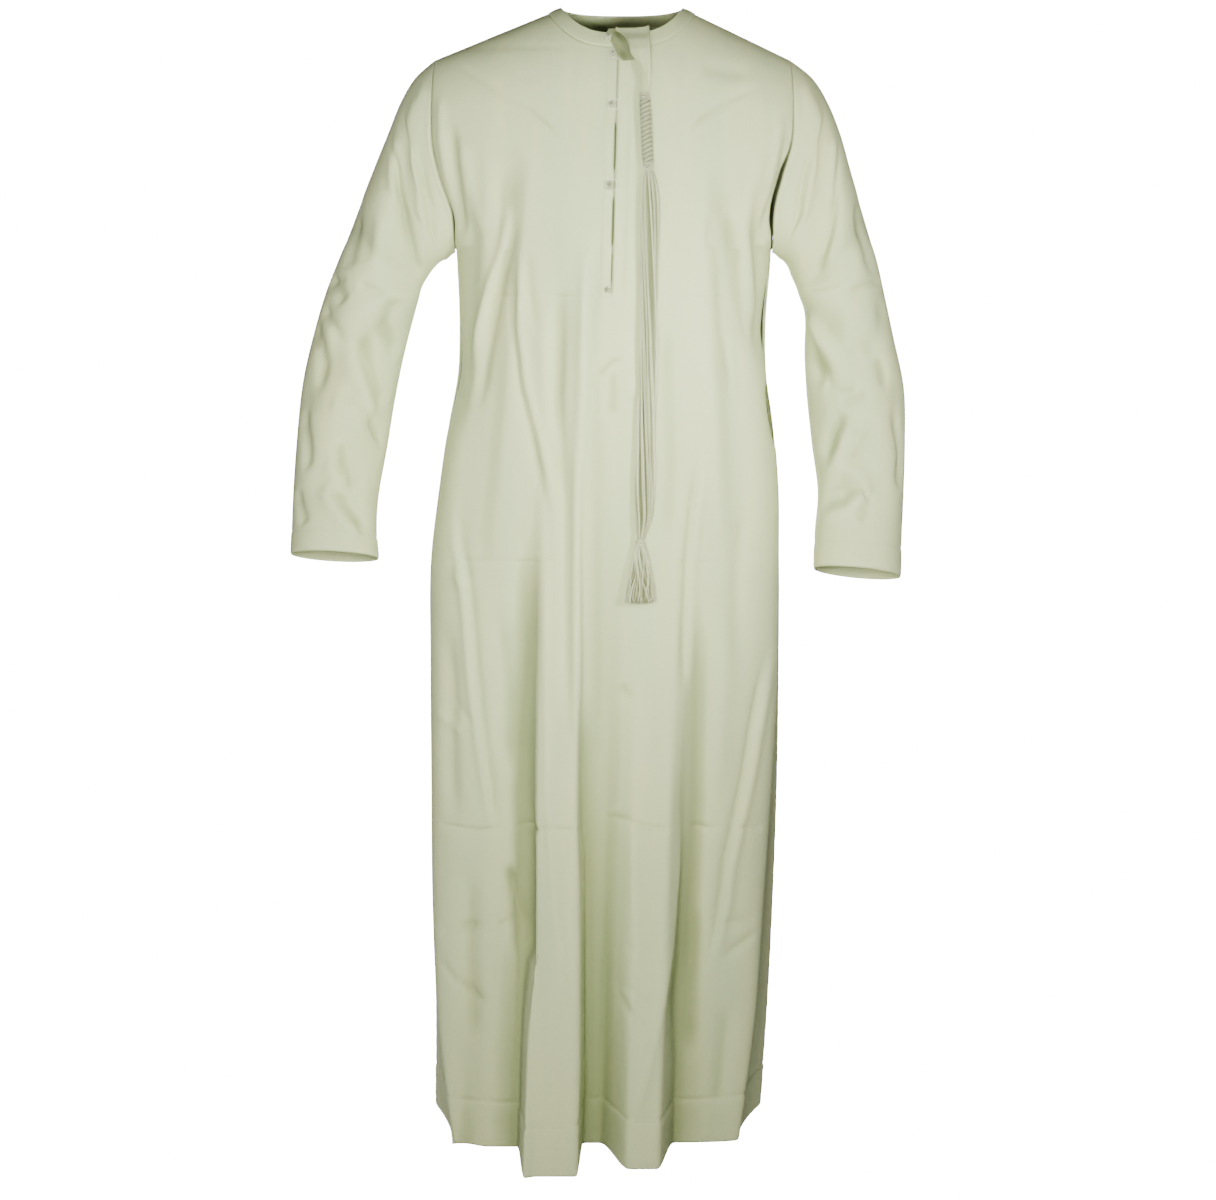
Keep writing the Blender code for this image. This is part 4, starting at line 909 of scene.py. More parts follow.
class Bench:
    """Selecting and finishing pieces with Blender's own operators."""

    @staticmethod
    def clear() -> None:
        """Leaves nothing selected."""
        for item in bpy.context.view_layer.objects:
            item.select_set(False)

    @staticmethod
    def select(piece: bpy.types.Object) -> None:
        """Makes one piece the selected and active one.

        Args:
            piece: The piece.
        """
        Bench.clear()
        bpy.context.view_layer.objects.active = piece
        piece.select_set(True)

    @staticmethod
    def finish(piece: bpy.types.Object, material: bpy.types.Material) -> bpy.types.Object:
        """Gives a piece its material and lets it ride on the robe.

        Args:
            piece: The piece.
            material: Its material.

        Returns:
            The same piece.
        """
        piece.data.materials.clear()
        piece.data.materials.append(material)
        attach(piece, "root")
        return piece

    @staticmethod
    def join(pieces: Sequence[bpy.types.Object], name: str) -> bpy.types.Object:
        """Joins pieces into one, with its origin at the robe's own.

        Args:
            pieces: The pieces.
            name: The name of the joined piece.

        Returns:
            The joined piece.
        """
        Bench.clear()
        for piece in pieces:
            piece.select_set(True)
        bpy.context.view_layer.objects.active = pieces[0]
        if len(pieces) > 1:
            bpy.ops.object.join()
        joined = bpy.context.view_layer.objects.active
        bpy.ops.object.transform_apply(location=True, rotation=True, scale=True)
        joined.name = name
        joined.data.name = name
        return joined


class TubeWork:
    """Round cords and threads, many to a mesh, and other swept loops."""

    @staticmethod
    def frames(path: Array, hint: Array) -> tuple[Array, Array]:
        """Two unit directions across a path at each of its points.

        Args:
            path: The points.
            hint: A direction that isn't along the path.

        Returns:
            The first and second directions.
        """
        along = unit(np.gradient(path, axis=0))
        first = unit(np.cross(along, hint))
        return first, np.cross(first, along)

    @staticmethod
    def rings(path: Array, radii: Array, sides: int, hint: Array) -> Array:
        """Rings of points round a path.

        Args:
            path: The path's points.
            radii: The radius at each of them.
            sides: Points in a ring.
            hint: A direction that isn't along the path.

        Returns:
            The rings, as rings by points round.
        """
        first, second = TubeWork.frames(path, hint)
        angle = 2 * np.pi * np.arange(sides) / sides
        round_x = np.cos(angle)[None, :, None] * first[:, None, :]
        round_y = np.sin(angle)[None, :, None] * second[:, None, :]
        return path[:, None, :] + radii[:, None, None] * (round_x + round_y)

    @staticmethod
    def buried(rings: Array, middle: Array, reach: Array) -> Array:
        """How deep in its bunch a cord lies, from 0 on the outside to 1 within.

        Args:
            rings: The cord's rings, as rings by points round.
            middle: The bunch's middle beside each ring.
            reach: The bunch's half width and half depth there.

        Returns:
            The depth of each point.
        """
        off = (rings - middle[:, None, :])[..., :2] / reach[:, None, :]
        return 1.0 - ramp(np.hypot(off[..., 0], off[..., 1]), 0.62, 0.98)

    @staticmethod
    def build(
        name: str,
        loops: Sequence[Array],
        closed: bool = False,
        caps: bool = True,
        hollows: Optional[Sequence[Array]] = None,
    ) -> bpy.types.Object:
        """Joins stacks of rings into one mesh with a UV map measured along them.

        Args:
            name: The piece's name.
            loops: For each cord, its rings, as rings by points round.
            closed: Whether the last ring meets the first.
            caps: Whether open ends are closed over.
            hollows: The painted shade at each point, such as how deep in a bunch it lies.

        Returns:
            The piece.
        """
        verts: list[Array] = []
        faces: list[tuple[int, ...]] = []
        uvs: list[tuple[float, float]] = []
        start = 0
        for rings in loops:
            count, sides = rings.shape[:2]
            verts.append(rings.reshape(-1, 3))
            centre = rings.mean(axis=1)
            run = run_of(centre)
            for ring in range(count if closed else count - 1):
                after = (ring + 1) % count
                length = run[ring] + 0.001 if after == 0 else run[after]
                for side in range(sides):
                    near = (side + 1) % sides
                    faces.append(
                        (
                            start + ring * sides + side,
                            start + ring * sides + near,
                            start + after * sides + near,
                            start + after * sides + side,
                        )
                    )
                    uvs += [(side / sides, run[ring]), ((side + 1) / sides, run[ring])]
                    uvs += [((side + 1) / sides, length), (side / sides, length)]
            if not closed and caps:
                faces.append(tuple(start + side for side in range(sides))[::-1])
                uvs += [(0.0, 0.0)] * sides
                last = start + (count - 1) * sides
                faces.append(tuple(last + side for side in range(sides)))
                uvs += [(0.0, float(run[-1]))] * sides
            start += count * sides
        mesh = bpy.data.meshes.new(name)
        mesh.from_pydata(np.concatenate(verts).tolist(), [], faces)
        # painted shade, kept in the hollow attribute that the thread materials read
        if hollows is not None:
            mark = mesh.attributes.new("hollow", "FLOAT", "POINT")
            mark.data.foreach_set("value", np.concatenate([part.ravel() for part in hollows]))
        layer = mesh.uv_layers.new(name="cloth")
        layer.data.foreach_set("uv", np.array(uvs, float).ravel())
        mesh.update()
        bm = bmesh.new()
        bm.from_mesh(mesh)
        bmesh.ops.recalc_face_normals(bm, faces=bm.faces[:])
        bm.to_mesh(mesh)
        bm.free()
        mesh.shade_smooth()
        piece = bpy.data.objects.new(name, mesh)
        bpy.context.scene.collection.objects.link(piece)
        return piece


# ---------------------------------------------------------------- finishes


class Tone(Enum):
    """The robe's dye lots, as linear colours, with a dark tone that stands for painted shade and a knot tone
    made lighter as painted highlight.
    """

    CLOTH = (0.635, 0.690, 0.365)
    INSIDE = (0.470, 0.515, 0.290)
    # painted shade: a dark tone for cloth that lies in shade
    PAINTED_SHADE = (0.300, 0.330, 0.160)
    THREAD = (0.740, 0.770, 0.450)
    SEWING = (0.650, 0.690, 0.430)
    # lighter than the cloth as painted highlight on the knots and loops
    KNOT = (0.860, 0.880, 0.620)


class Nodes:
    """A tree of shader nodes, built a node at a time."""

    def __init__(self, tree: bpy.types.NodeTree) -> None:
        """Takes the tree to build in."""
        self.tree = tree

    def feed(self, node: bpy.types.Node, inputs: dict) -> bpy.types.Node:
        """Sets inputs of a node.

        Args:
            node: The node.
            inputs: For each input's name or number, an output of another node or a plain value.

        Returns:
            The same node.
        """
        for name, value in inputs.items():
            if isinstance(value, Socket):
                self.tree.links.new(value, node.inputs[name])
            else:
                node.inputs[name].default_value = value
        return node

    def add(self, kind: str, inputs: dict, **settings: object) -> bpy.types.Node:
        """Adds a node.

        Args:
            kind: Its kind, without the words that all shader nodes start with.
            inputs: Its inputs, as for feed.
            settings: Its other settings.

        Returns:
            The node.
        """
        node = self.tree.nodes.new("ShaderNode" + kind)
        for name, value in settings.items():
            setattr(node, name, value)
        return self.feed(node, inputs)

    def noise(self, vector: Socket, size: float, detail: float, rough: float) -> bpy.types.Node:
        """Adds a soft unevenness of this size, in metres."""
        inputs = {"Vector": vector, "Scale": 1.0 / size, "Detail": detail, "Roughness": rough}
        return self.add("TexNoise", inputs)

    def colours(self, value: Socket, stops: dict[float, Colour]) -> Socket:
        """Adds a colour that runs through these stops as a value rises.

        Args:
            value: The value.
            stops: The colour at each place from 0 to 1.

        Returns:
            The colour's output.
        """
        node = self.add("ValToRGB", {"Fac": value})
        elements = node.color_ramp.elements
        for place in list(stops)[1:-1]:
            elements.new(place)
        for element, place in zip(elements, stops):
            element.position = place
            element.color = (*stops[place], 1.0)
        return node.outputs["Color"]

    def multiply(self, base: Socket, other: Socket, share: float) -> Socket:
        """Adds a colour multiplied by another one by this share."""
        inputs = {"Factor": share, "A": base, "B": other}
        return self.add("Mix", inputs, data_type="RGBA", blend_type="MULTIPLY").outputs["Result"]

    def paint_shade(self, base: Socket, value: Socket, stops: dict[float, Colour]) -> None:
        """Gives the surface a colour with painted shade, darkened by the tints of these stops as a value
        rises.

        Args:
            base: The colour.
            value: The value.
            stops: The tint at each place from 0 to 1.
        """
        tint = self.colours(value, stops)
        shader = self.tree.nodes["Principled BSDF"]
        self.feed(shader, {"Base Color": self.multiply(base, tint, 1.0)})

    def level(self, value: Socket) -> Socket:
        """Adds a value moved from -1 to 1 into 0 to 1."""
        return self.add("MapRange", {"Value": value, "From Min": -1.0, "From Max": 1.0}).outputs["Result"]

    def bumps(self, *layers: tuple[Socket, float, float]) -> None:
        """Roughens the surface by heights, each with its strength and its depth in metres."""
        normal: dict = {}
        for height, strength, depth in layers:
            node = self.add("Bump", {"Height": height, "Strength": strength, "Distance": depth, **normal})
            normal = {"Normal": node.outputs["Normal"]}
        self.feed(self.tree.nodes["Principled BSDF"], normal)


def material_of(name: str, tone: Tone, surface: dict) -> tuple[bpy.types.Material, Nodes]:
    """Starts a material.

    Args:
        name: Its name.
        tone: Its plain colour.
        surface: Inputs of its surface.

    Returns:
        The material and its nodes.
    """
    material = bpy.data.materials.new(name)
    material.use_nodes = True
    material.diffuse_color = (*tone.value, 1.0)
    nodes = Nodes(material.node_tree)
    nodes.feed(nodes.tree.nodes["Principled BSDF"], surface)
    return material, nodes


@dataclass(frozen=True)
class WovenCloth:
    """A fine plain weave with a soft face, a little unevenness in its dye, and painted shade in its hollows
    with painted highlight on its crests.
    """

    name: str
    tone: Tone
    pitch: float = 0.00062
    bands: float = 20.0
    half_band: float = 3.14159
    weave_bump: float = 0.16
    crumple_bump: float = 0.30
    crumple_size: float = 0.055
    mottle: float = 0.05
    streaks: Colour = (26.0, 12.0, 3.2)
    # painted highlight on crests, painted shade on level cloth and deeper painted shade in hollows
    crest_highlight_tint: Colour = (1.0, 1.0, 1.0)
    level_shade_tint: Colour = (0.94, 0.95, 0.92)
    hollow_shade_tint: Colour = (0.50, 0.53, 0.42)
    roughness: float = 0.84
    sheen: float = 0.06

    def dyed(self, way: int, shares: Colour) -> Colour:
        """The cloth's colour, a little lighter or darker by these shares of the mottle."""
        return tuple(value * (1 + way * self.mottle * share) for value, share in zip(self.tone.value, shares))

    def threads(self, nodes: Nodes, place: bpy.types.Node, direction: str) -> Socket:
        """Adds one set of the weave's threads, by its direction over the cloth.

        Args:
            nodes: The nodes to add to.
            place: The node that gives the cloth's places.
            direction: The direction, X or Y.

        Returns:
            The threads' height.
        """
        inputs = {
            "Vector": place.outputs["UV"],
            "Scale": 1.0 / self.pitch / self.bands * self.half_band,
            "Distortion": 0.6,
            "Detail": 1.0,
            "Detail Scale": 0.35,
        }
        wave = nodes.add("TexWave", inputs, bands_direction=direction, wave_profile="SIN")
        return wave.outputs["Fac"]

    def make(self) -> bpy.types.Material:
        """Builds the cloth's material.

        Returns:
            The material.
        """
        surface = {
            "Roughness": self.roughness,
            "Sheen Weight": self.sheen,
            "Sheen Roughness": 0.55,
            "Sheen Tint": (0.95, 1.0, 0.86, 1.0),
            "Specular IOR Level": 0.22,
        }
        material, nodes = material_of(self.name, self.tone, surface)
        place = nodes.add("TexCoord", {})
        warp, weft = self.threads(nodes, place, "X"), self.threads(nodes, place, "Y")
        weave = nodes.add("Math", {0: warp, 1: weft}, operation="MAXIMUM").outputs["Value"]
        there = place.outputs["Object"]
        streaks = nodes.add("Mapping", {"Vector": there, "Scale": self.streaks})
        broad = nodes.noise(streaks.outputs["Vector"], 1.0, 3.0, 0.55)
        slub = nodes.noise(there, 0.004, 4.0, 0.6)
        crumple = nodes.noise(there, self.crumple_size, 3.5, 0.48)
        fine = nodes.noise(there, 0.0021, 2.0, 0.6)
        low, high = self.dyed(-1, (1.5, 0.6, 0.8)), self.dyed(1, (0.9, 0.3, -0.4))
        tint = nodes.colours(broad.outputs["Fac"], {0.32: low, 0.68: high})
        mixed = nodes.multiply(tint, slub.outputs["Color"], 0.10)
        grain = nodes.multiply(mixed, weave, 0.05)
        # painted shade and highlight from the hollow attribute: darker in hollows, lighter on crests
        hollow = nodes.add("Attribute", {}, attribute_name="hollow").outputs["Fac"]
        stops = {0.0: self.crest_highlight_tint, 0.5: self.level_shade_tint, 1.0: self.hollow_shade_tint}
        nodes.paint_shade(grain, nodes.level(hollow), stops)
        nodes.bumps(
            (crumple.outputs["Fac"], self.crumple_bump, 0.004),
            (weave, self.weave_bump, 0.0002),
            (fine.outputs["Fac"], 0.10, 0.0003),
        )
        return material


@dataclass(frozen=True)
class TwistedThread:
    """Thread twisted from fine filaments, with the twist's slant raised along it, painted shade in its
    grooves and deeper painted shade within a bunch.
    """

    name: str
    tone: Tone
    turns_per_metre: float = 260.0
    strands: float = 3.0
    roughness: float = 0.62
    bump: float = 0.5
    depth: float = 0.0005
    # painted shade in the twist's grooves, as a share of the tone
    groove_shade: float = 0.72
    fuzz: float = 900.0
    # painted shade where a thread lies deep in its bunch
    buried_shade_tint: Colour = (0.36, 0.38, 0.28)

    def make(self) -> bpy.types.Material:
        """Builds the thread's material.

        Returns:
            The material.
        """
        surface = {
            "Roughness": self.roughness,
            "Sheen Weight": 0.04,
            "Sheen Roughness": 0.4,
            "Specular IOR Level": 0.2,
        }
        material, nodes = material_of(self.name, self.tone, surface)
        place = nodes.add("TexCoord", {})
        scale = (self.strands, self.turns_per_metre, 1.0)
        turn = nodes.add("Mapping", {"Vector": place.outputs["UV"], "Scale": scale})
        split = nodes.add("SeparateXYZ", {"Vector": turn.outputs["Vector"]})
        total = nodes.add("Math", {0: split.outputs["X"], 1: split.outputs["Y"]}, operation="ADD")
        swing = nodes.add("Math", {0: total.outputs["Value"], 1: 2 * math.pi}, operation="MULTIPLY")
        wave = nodes.add("Math", {0: swing.outputs["Value"]}, operation="SINE")
        slant = nodes.level(wave.outputs["Value"])
        # painted shade in the twist's grooves
        groove_shade = tuple(value * self.groove_shade for value in self.tone.value)
        tint = nodes.colours(slant, {0.0: groove_shade, 1.0: self.tone.value})
        fuzz = nodes.add("TexNoise", {"Vector": place.outputs["Object"], "Scale": self.fuzz})
        mixed = nodes.multiply(tint, fuzz.outputs["Color"], 0.18)
        # painted shade from the hollow attribute
        hollow = nodes.add("Attribute", {}, attribute_name="hollow").outputs["Fac"]
        nodes.paint_shade(mixed, hollow, {0.0: (1.0, 1.0, 1.0), 1.0: self.buried_shade_tint})
        nodes.bumps((slant, self.bump, self.depth), (fuzz.outputs["Fac"], 0.25, 0.0002))
        return material


# ---------------------------------------------------------------- sub-assemblies


@dataclass(frozen=True)
class TurnedHem:
    """A hem turned up inside, with its stitched line and its soft edge, in metres."""

    depth: float
    rise: float
    line_dip: float
    line_width: float
    edge_width: float
    edge_dip: float = 0.0010
    step: tuple[float, float] = (-0.002, 0.003)

    def relief(self, up: Array) -> Array:
        """How far it raises or sinks the cloth at these distances up from its edge.

        Args:
            up: The distances.

        Returns:
            The rise at each of them.
        """
        low, high = self.depth + self.step[0], self.depth + self.step[1]
        raised = self.rise * (1 - ramp(up, low, high))
        line = self.line_dip * bell(up - self.depth, self.line_width)
        return raised - line - self.edge_dip * bell(up, self.edge_width)


@dataclass(frozen=True)
class PanelEdges:
    """How a panel's seams, its top edge and its hem shape the cloth, in metres."""

    top_dip: float
    hem: TurnedHem
    seam_dip: float = 0.0009
    seam_width: float = 0.0013
    press_dip: float = 0.0004
    press_from_seam: float = 0.0055
    press_width: float = 0.0018
    press_below: float = -0.05
    top_width: float = 0.0014

    def relief(self, points: Array, seam_share: Array | float = 1.0) -> Array:
        """How far the edges sink or raise the cloth.

        Args:
            points: The panel's points, with its top edge in the first row.
            seam_share: How much of its full dip the side seam has at each place.

        Returns:
            The rise at each place.
        """
        run, fall = run_of(points, axis=1), run_of(points)
        pressed = points[..., 2] < self.press_below
        total = np.zeros(run.shape)
        for edge in (run, run[:, -1:] - run):
            total -= self.seam_dip * bell(edge, self.seam_width) * seam_share
            total -= self.press_dip * bell(edge - self.press_from_seam, self.press_width) * pressed
        total -= self.top_dip * bell(fall, self.top_width)
        return total + self.hem.relief(fall[-1:] - fall)


def low_share(z: Array) -> Array:
    """Share of a seam's dip at this height: small on the rounded shoulder, whole below it."""
    return 0.15 + 0.85 * ramp(-z, 0.09, 0.18)


class Gape(NamedTuple):
    """A stretch where the slit stands open: its width, its foot and top, and where it is whole."""

    width: float
    foot: float
    whole_from: float
    whole_to: float
    top: float


GAPES = (
    Gape(0.0021, -0.203, -0.190, -0.150, -0.135),
    Gape(0.0023, -0.292, -0.277, -0.240, -0.222),
    Gape(0.0010, -0.338, -0.325, -0.300, -0.285),
)


class SlitEdge(NamedTuple):
    """A folded edge of the slit: its side, its rise, where it bends and ends, and its stitched line."""

    side: int
    rise: float
    bend: float
    flat_to: float
    end: float
    line: float
    line_dip: float


SLIT_EDGES = (
    #        side  rise    bend    flat_to  end    line    line_dip
    SlitEdge(1, 0.0013, 0.0012, 0.0140, 0.0165, 0.0155, 0.0009),
    SlitEdge(-1, 0.0003, 0.0010, 0.0110, 0.0150, 0.0130, 0.0007),
)


@dataclass
class FrontPanel:
    """The front panel: slit, chest and skirt folds, pocket mouth and turned-up hem."""

    form: RobeForm
    cloth: bpy.types.Material
    creases: Sequence[Crease]
    rows_upper: int = 74
    rows_lower: int = 250
    closer: tuple[tuple[float, float, float], ...] = (
        (-0.345, 0.005, 1.2),
        (-0.664, 0.007, 1.2),
        (-0.988, 0.016, 1.6),
        (-1.343, 0.006, 1.6),
        (-1.402, 0.004, 1.2),
    )
    cells: tuple[int, ...] = (44, 24, 6, 1, 6, 26, 38)
    placket: float = 0.016
    slit_half: float = 0.0008
    line_width: float = 0.0016
    shut: float = 0.0004
    pocket: tuple[float, float, float] = (-0.533, -0.445, 0.0135)
    edges: PanelEdges = PanelEdges(0.0005, TurnedHem(0.060, 0.0008, 0.0016, 0.0030, 0.0022))
    points: Array = field(init=False)
    normals: Array = field(init=False)
    slit: int = field(init=False)

    def gap(self, z: Array) -> Array:
        """Width of the slit at height z: nearly shut, with longer gapes between the buttons.

        Args:
            z: Heights.

        Returns:
            The widths.
        """
        gape = self.shut + 0.0 * np.asarray(z, float)
        for part in GAPES:
            opened = ramp(z, part.foot, part.whole_from) * ramp(-z, -part.top, -part.whole_to)
            gape = gape + part.width * opened
        return gape + 0.0012 * ramp(self.form.slit_end_z - z, 0.0, 0.10)

    def grid(self) -> Array:
        """Outer points of the panel before its creases."""
        form = self.form
        knots_x = np.array(
            [
                form.shoulder_left,
                form.neck_x - form.seam_radius,
                form.slit_top_x - self.placket,
                form.slit_top_x - self.slit_half,
                form.slit_top_x + self.slit_half,
                form.slit_top_x + self.placket,
                form.neck_x + form.seam_radius,
                form.shoulder_right,
            ]
        )
        dense_turns = between(form.turn_at(knots_x), 60)
        knots = range(0, len(dense_turns), 60)
        self.slit = sum(self.cells[:3])
        upper = row_shares(self.rows_upper, form.yoke)
        lower = fall_of_rows(form.armpit_z, form.hem_z, self.rows_lower, self.closer)

        def heights(turn: Array) -> Array:
            """Heights of the rows for a grid of turns."""
            x = form.front_x(turn, np.full(turn.shape, form.tip_z))
            return form.row_heights(x, form.seam_front_drop, upper, lower)

        turn = np.repeat(dense_turns[None, :], len(upper) + len(lower), axis=0)
        z = heights(turn)
        dense_points = form.front(form.front_x(turn, z), z)
        places = arc_columns(dense_points, knots, self.cells)
        turn = np.interp(places, np.arange(len(dense_turns)), dense_turns)
        z = heights(turn)
        x = form.front_x(turn, z)
        level = z[:, self.slit]
        middle = (x[:, self.slit] + x[:, self.slit + 1]) / 2
        hold = ramp(level, form.slit_end_z - 0.14, form.slit_end_z - 0.01)
        centre = middle + (form.slit_x(level) - middle) * hold
        near = np.maximum(1 - np.abs(x - middle[:, None]) / 0.10, 0.0)
        x = x + (centre - middle)[:, None] * near
        half = self.gap(level) / 2
        x[:, self.slit] = centre - half
        x[:, self.slit + 1] = centre + half
        return form.close_shoulder(form.front(x, z))

    def seams(self, points: Array) -> Array:
        """How far the edges and the folded slit edges sink or raise the cloth.

        Args:
            points: The panel's points before its creases.

        Returns:
            The rise at each place.
        """
        x, z = points[..., 0], points[..., 2]
        total = self.edges.relief(points, low_share(z))
        beside = x - self.form.slit_x(z)
        on_slit = ramp(z, self.form.slit_end_z - 0.012, self.form.slit_end_z + 0.004)
        for edge in SLIT_EDGES:
            off = beside * edge.side
            rise = edge.rise * ramp(off, 0.0, edge.bend) * (1 - ramp(off, edge.flat_to, edge.end))
            total += on_slit * (rise - edge.line_dip * bell(off - edge.line, self.line_width))
        return total

    def build(self) -> bpy.types.Object:
        """Makes the panel.

        Returns:
            The finished piece.
        """
        points = self.grid()
        low, high, gape = self.pocket
        share = np.clip((high - points[:, -1, 2]) / (high - low), 0, 1)
        move = gape * np.sin(np.pi * share) ** 0.85
        weight = np.linspace(0, 1, 13)[1:] ** 1.8
        points[:, -12:, 0] -= weight * move[:, None]
        points[:, -12:, 1] -= 0.35 * weight * move[:, None]
        normal = normals_of(points)
        relief = relief_of(self.creases, points[..., 0], points[..., 2]) + self.seams(points)
        columns = np.arange(points.shape[1])
        points = points + normal * relief[..., None]
        for side in (-1, 1):
            edge = self.slit if side < 0 else self.slit + 1
            depth = np.exp(-(columns - edge) ** 2 / 0.5) * ((columns - edge) * side >= 0)
            on = points[:, edge, 2] > self.form.slit_end_z
            sink = 0.0003 + 0.45 * np.minimum(self.gap(points[:, edge, 2]) - self.shut, 0.0016)
            points -= normal * (depth[None, :] * (sink * on)[:, None])[..., None]
        self.points = points = self.form.meet_shoulder(points)
        self.normals = normals_of(points)
        holes = np.zeros((points.shape[0] - 1, points.shape[1] - 1), bool)
        holes[:, self.slit] = points[1:, self.slit, 2] > self.form.slit_end_z
        # painted shade in the front's hollows, painted highlight on its crests
        shade = hollows_of(points, self.normals)
        sheet = ClothSheet("front_panel_cloth", points, thickness=0.0013, holes=holes, hollows=shade)
        piece = Bench.finish(sheet.build(), self.cloth)
        log.info("front panel: %.4f m2 of cloth, hem %.3f m round", sheet.area(), run_of(points[-1])[-1])
        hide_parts("front_panel")
        return piece

    def seat(self, x: float, z: float) -> tuple[Array, Array]:
        """Finds the cloth in front of a place.

        Args:
            x: The place across.
            z: Its height.

        Returns:
            The cloth's point there and its outward direction.
        """
        gap = (self.points[..., 0] - x) ** 2 + (self.points[..., 2] - z) ** 2
        row, column = np.unravel_index(int(np.argmin(gap)), gap.shape)
        point, normal = self.points[row, column], self.normals[row, column]
        shift = np.array([x - point[0], 0.0, z - point[2]])
        shift[1] = -(shift[0] * normal[0] + shift[2] * normal[2]) / normal[1]
        return point + shift, normal


@dataclass
class BackPanel:
    """The back panel, with its long soft folds and its share of the hem."""

    form: RobeForm
    cloth: bpy.types.Material
    creases: Sequence[Crease]
    rows_upper: int = 66
    rows_lower: int = 226
    closer: tuple[tuple[float, float, float], ...] = (
        (-0.351, 0.005, 1.2),
        (-0.678, 0.006, 1.2),
        (-1.004, 0.007, 1.6),
        (-1.343, 0.006, 1.4),
        (-1.402, 0.004, 1.2),
    )
    cells: tuple[int, ...] = (44, 52, 44)
    hold: float = 0.02
    edges: PanelEdges = PanelEdges(0.0008, TurnedHem(0.060, 0.0006, 0.0010, 0.0028, 0.0022))
    points: Array = field(init=False)

    def grid(self) -> Array:
        """Outer points of the panel before its creases, as seen from behind."""
        form = self.form
        neck = np.array([form.neck_x - form.seam_radius, form.neck_x + form.seam_radius])
        neck_turns = form.turn_at(neck) / (math.pi / 2)
        dense_turns = between([1.0, float(neck_turns[1]), float(neck_turns[0]), -1.0], 140)
        knots = range(0, len(dense_turns), 140)
        upper = row_shares(self.rows_upper, form.yoke)
        lower = fall_of_rows(form.armpit_z, form.hem_z, self.rows_lower, self.closer)

        def heights(turn: Array) -> Array:
            """Heights of the rows for a grid of turns."""
            x = form.middle_x + form.half_x * np.sin(turn * math.pi / 2)
            return form.row_heights(x, form.seam_back_drop, upper, lower)

        turn = np.repeat(dense_turns[None, :], len(upper) + len(lower), axis=0)
        places = arc_columns(form.back(turn, heights(turn)), knots, self.cells, keep=0.9)
        turn = np.interp(places, np.arange(len(dense_turns)), dense_turns)
        return form.close_shoulder(form.back(turn, heights(turn)))

    def build(self) -> bpy.types.Object:
        """Makes the panel.

        Returns:
            The finished piece.
        """
        points = self.grid()
        total = relief_of(self.creases, points[..., 0], points[..., 2])
        for seam in (points[:, :1], points[:, -1:]):
            total = total * (1 - bell(np.linalg.norm(points - seam, axis=-1), self.hold))
        total += self.edges.relief(points)
        self.points = self.form.meet_shoulder(points + normals_of(points) * total[..., None])
        # painted shade in the back's hollows, painted highlight on its crests
        shade = hollows_of(self.points, normals_of(self.points))
        sheet = ClothSheet("back_panel_cloth", self.points, thickness=0.0013, hollows=shade)
        piece = Bench.finish(sheet.build(), self.cloth)
        log.info("back panel: %.4f m2 of cloth, hem %.3f m round", sheet.area(), run_of(self.points[-1])[-1])
        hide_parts("back_panel")
        return piece


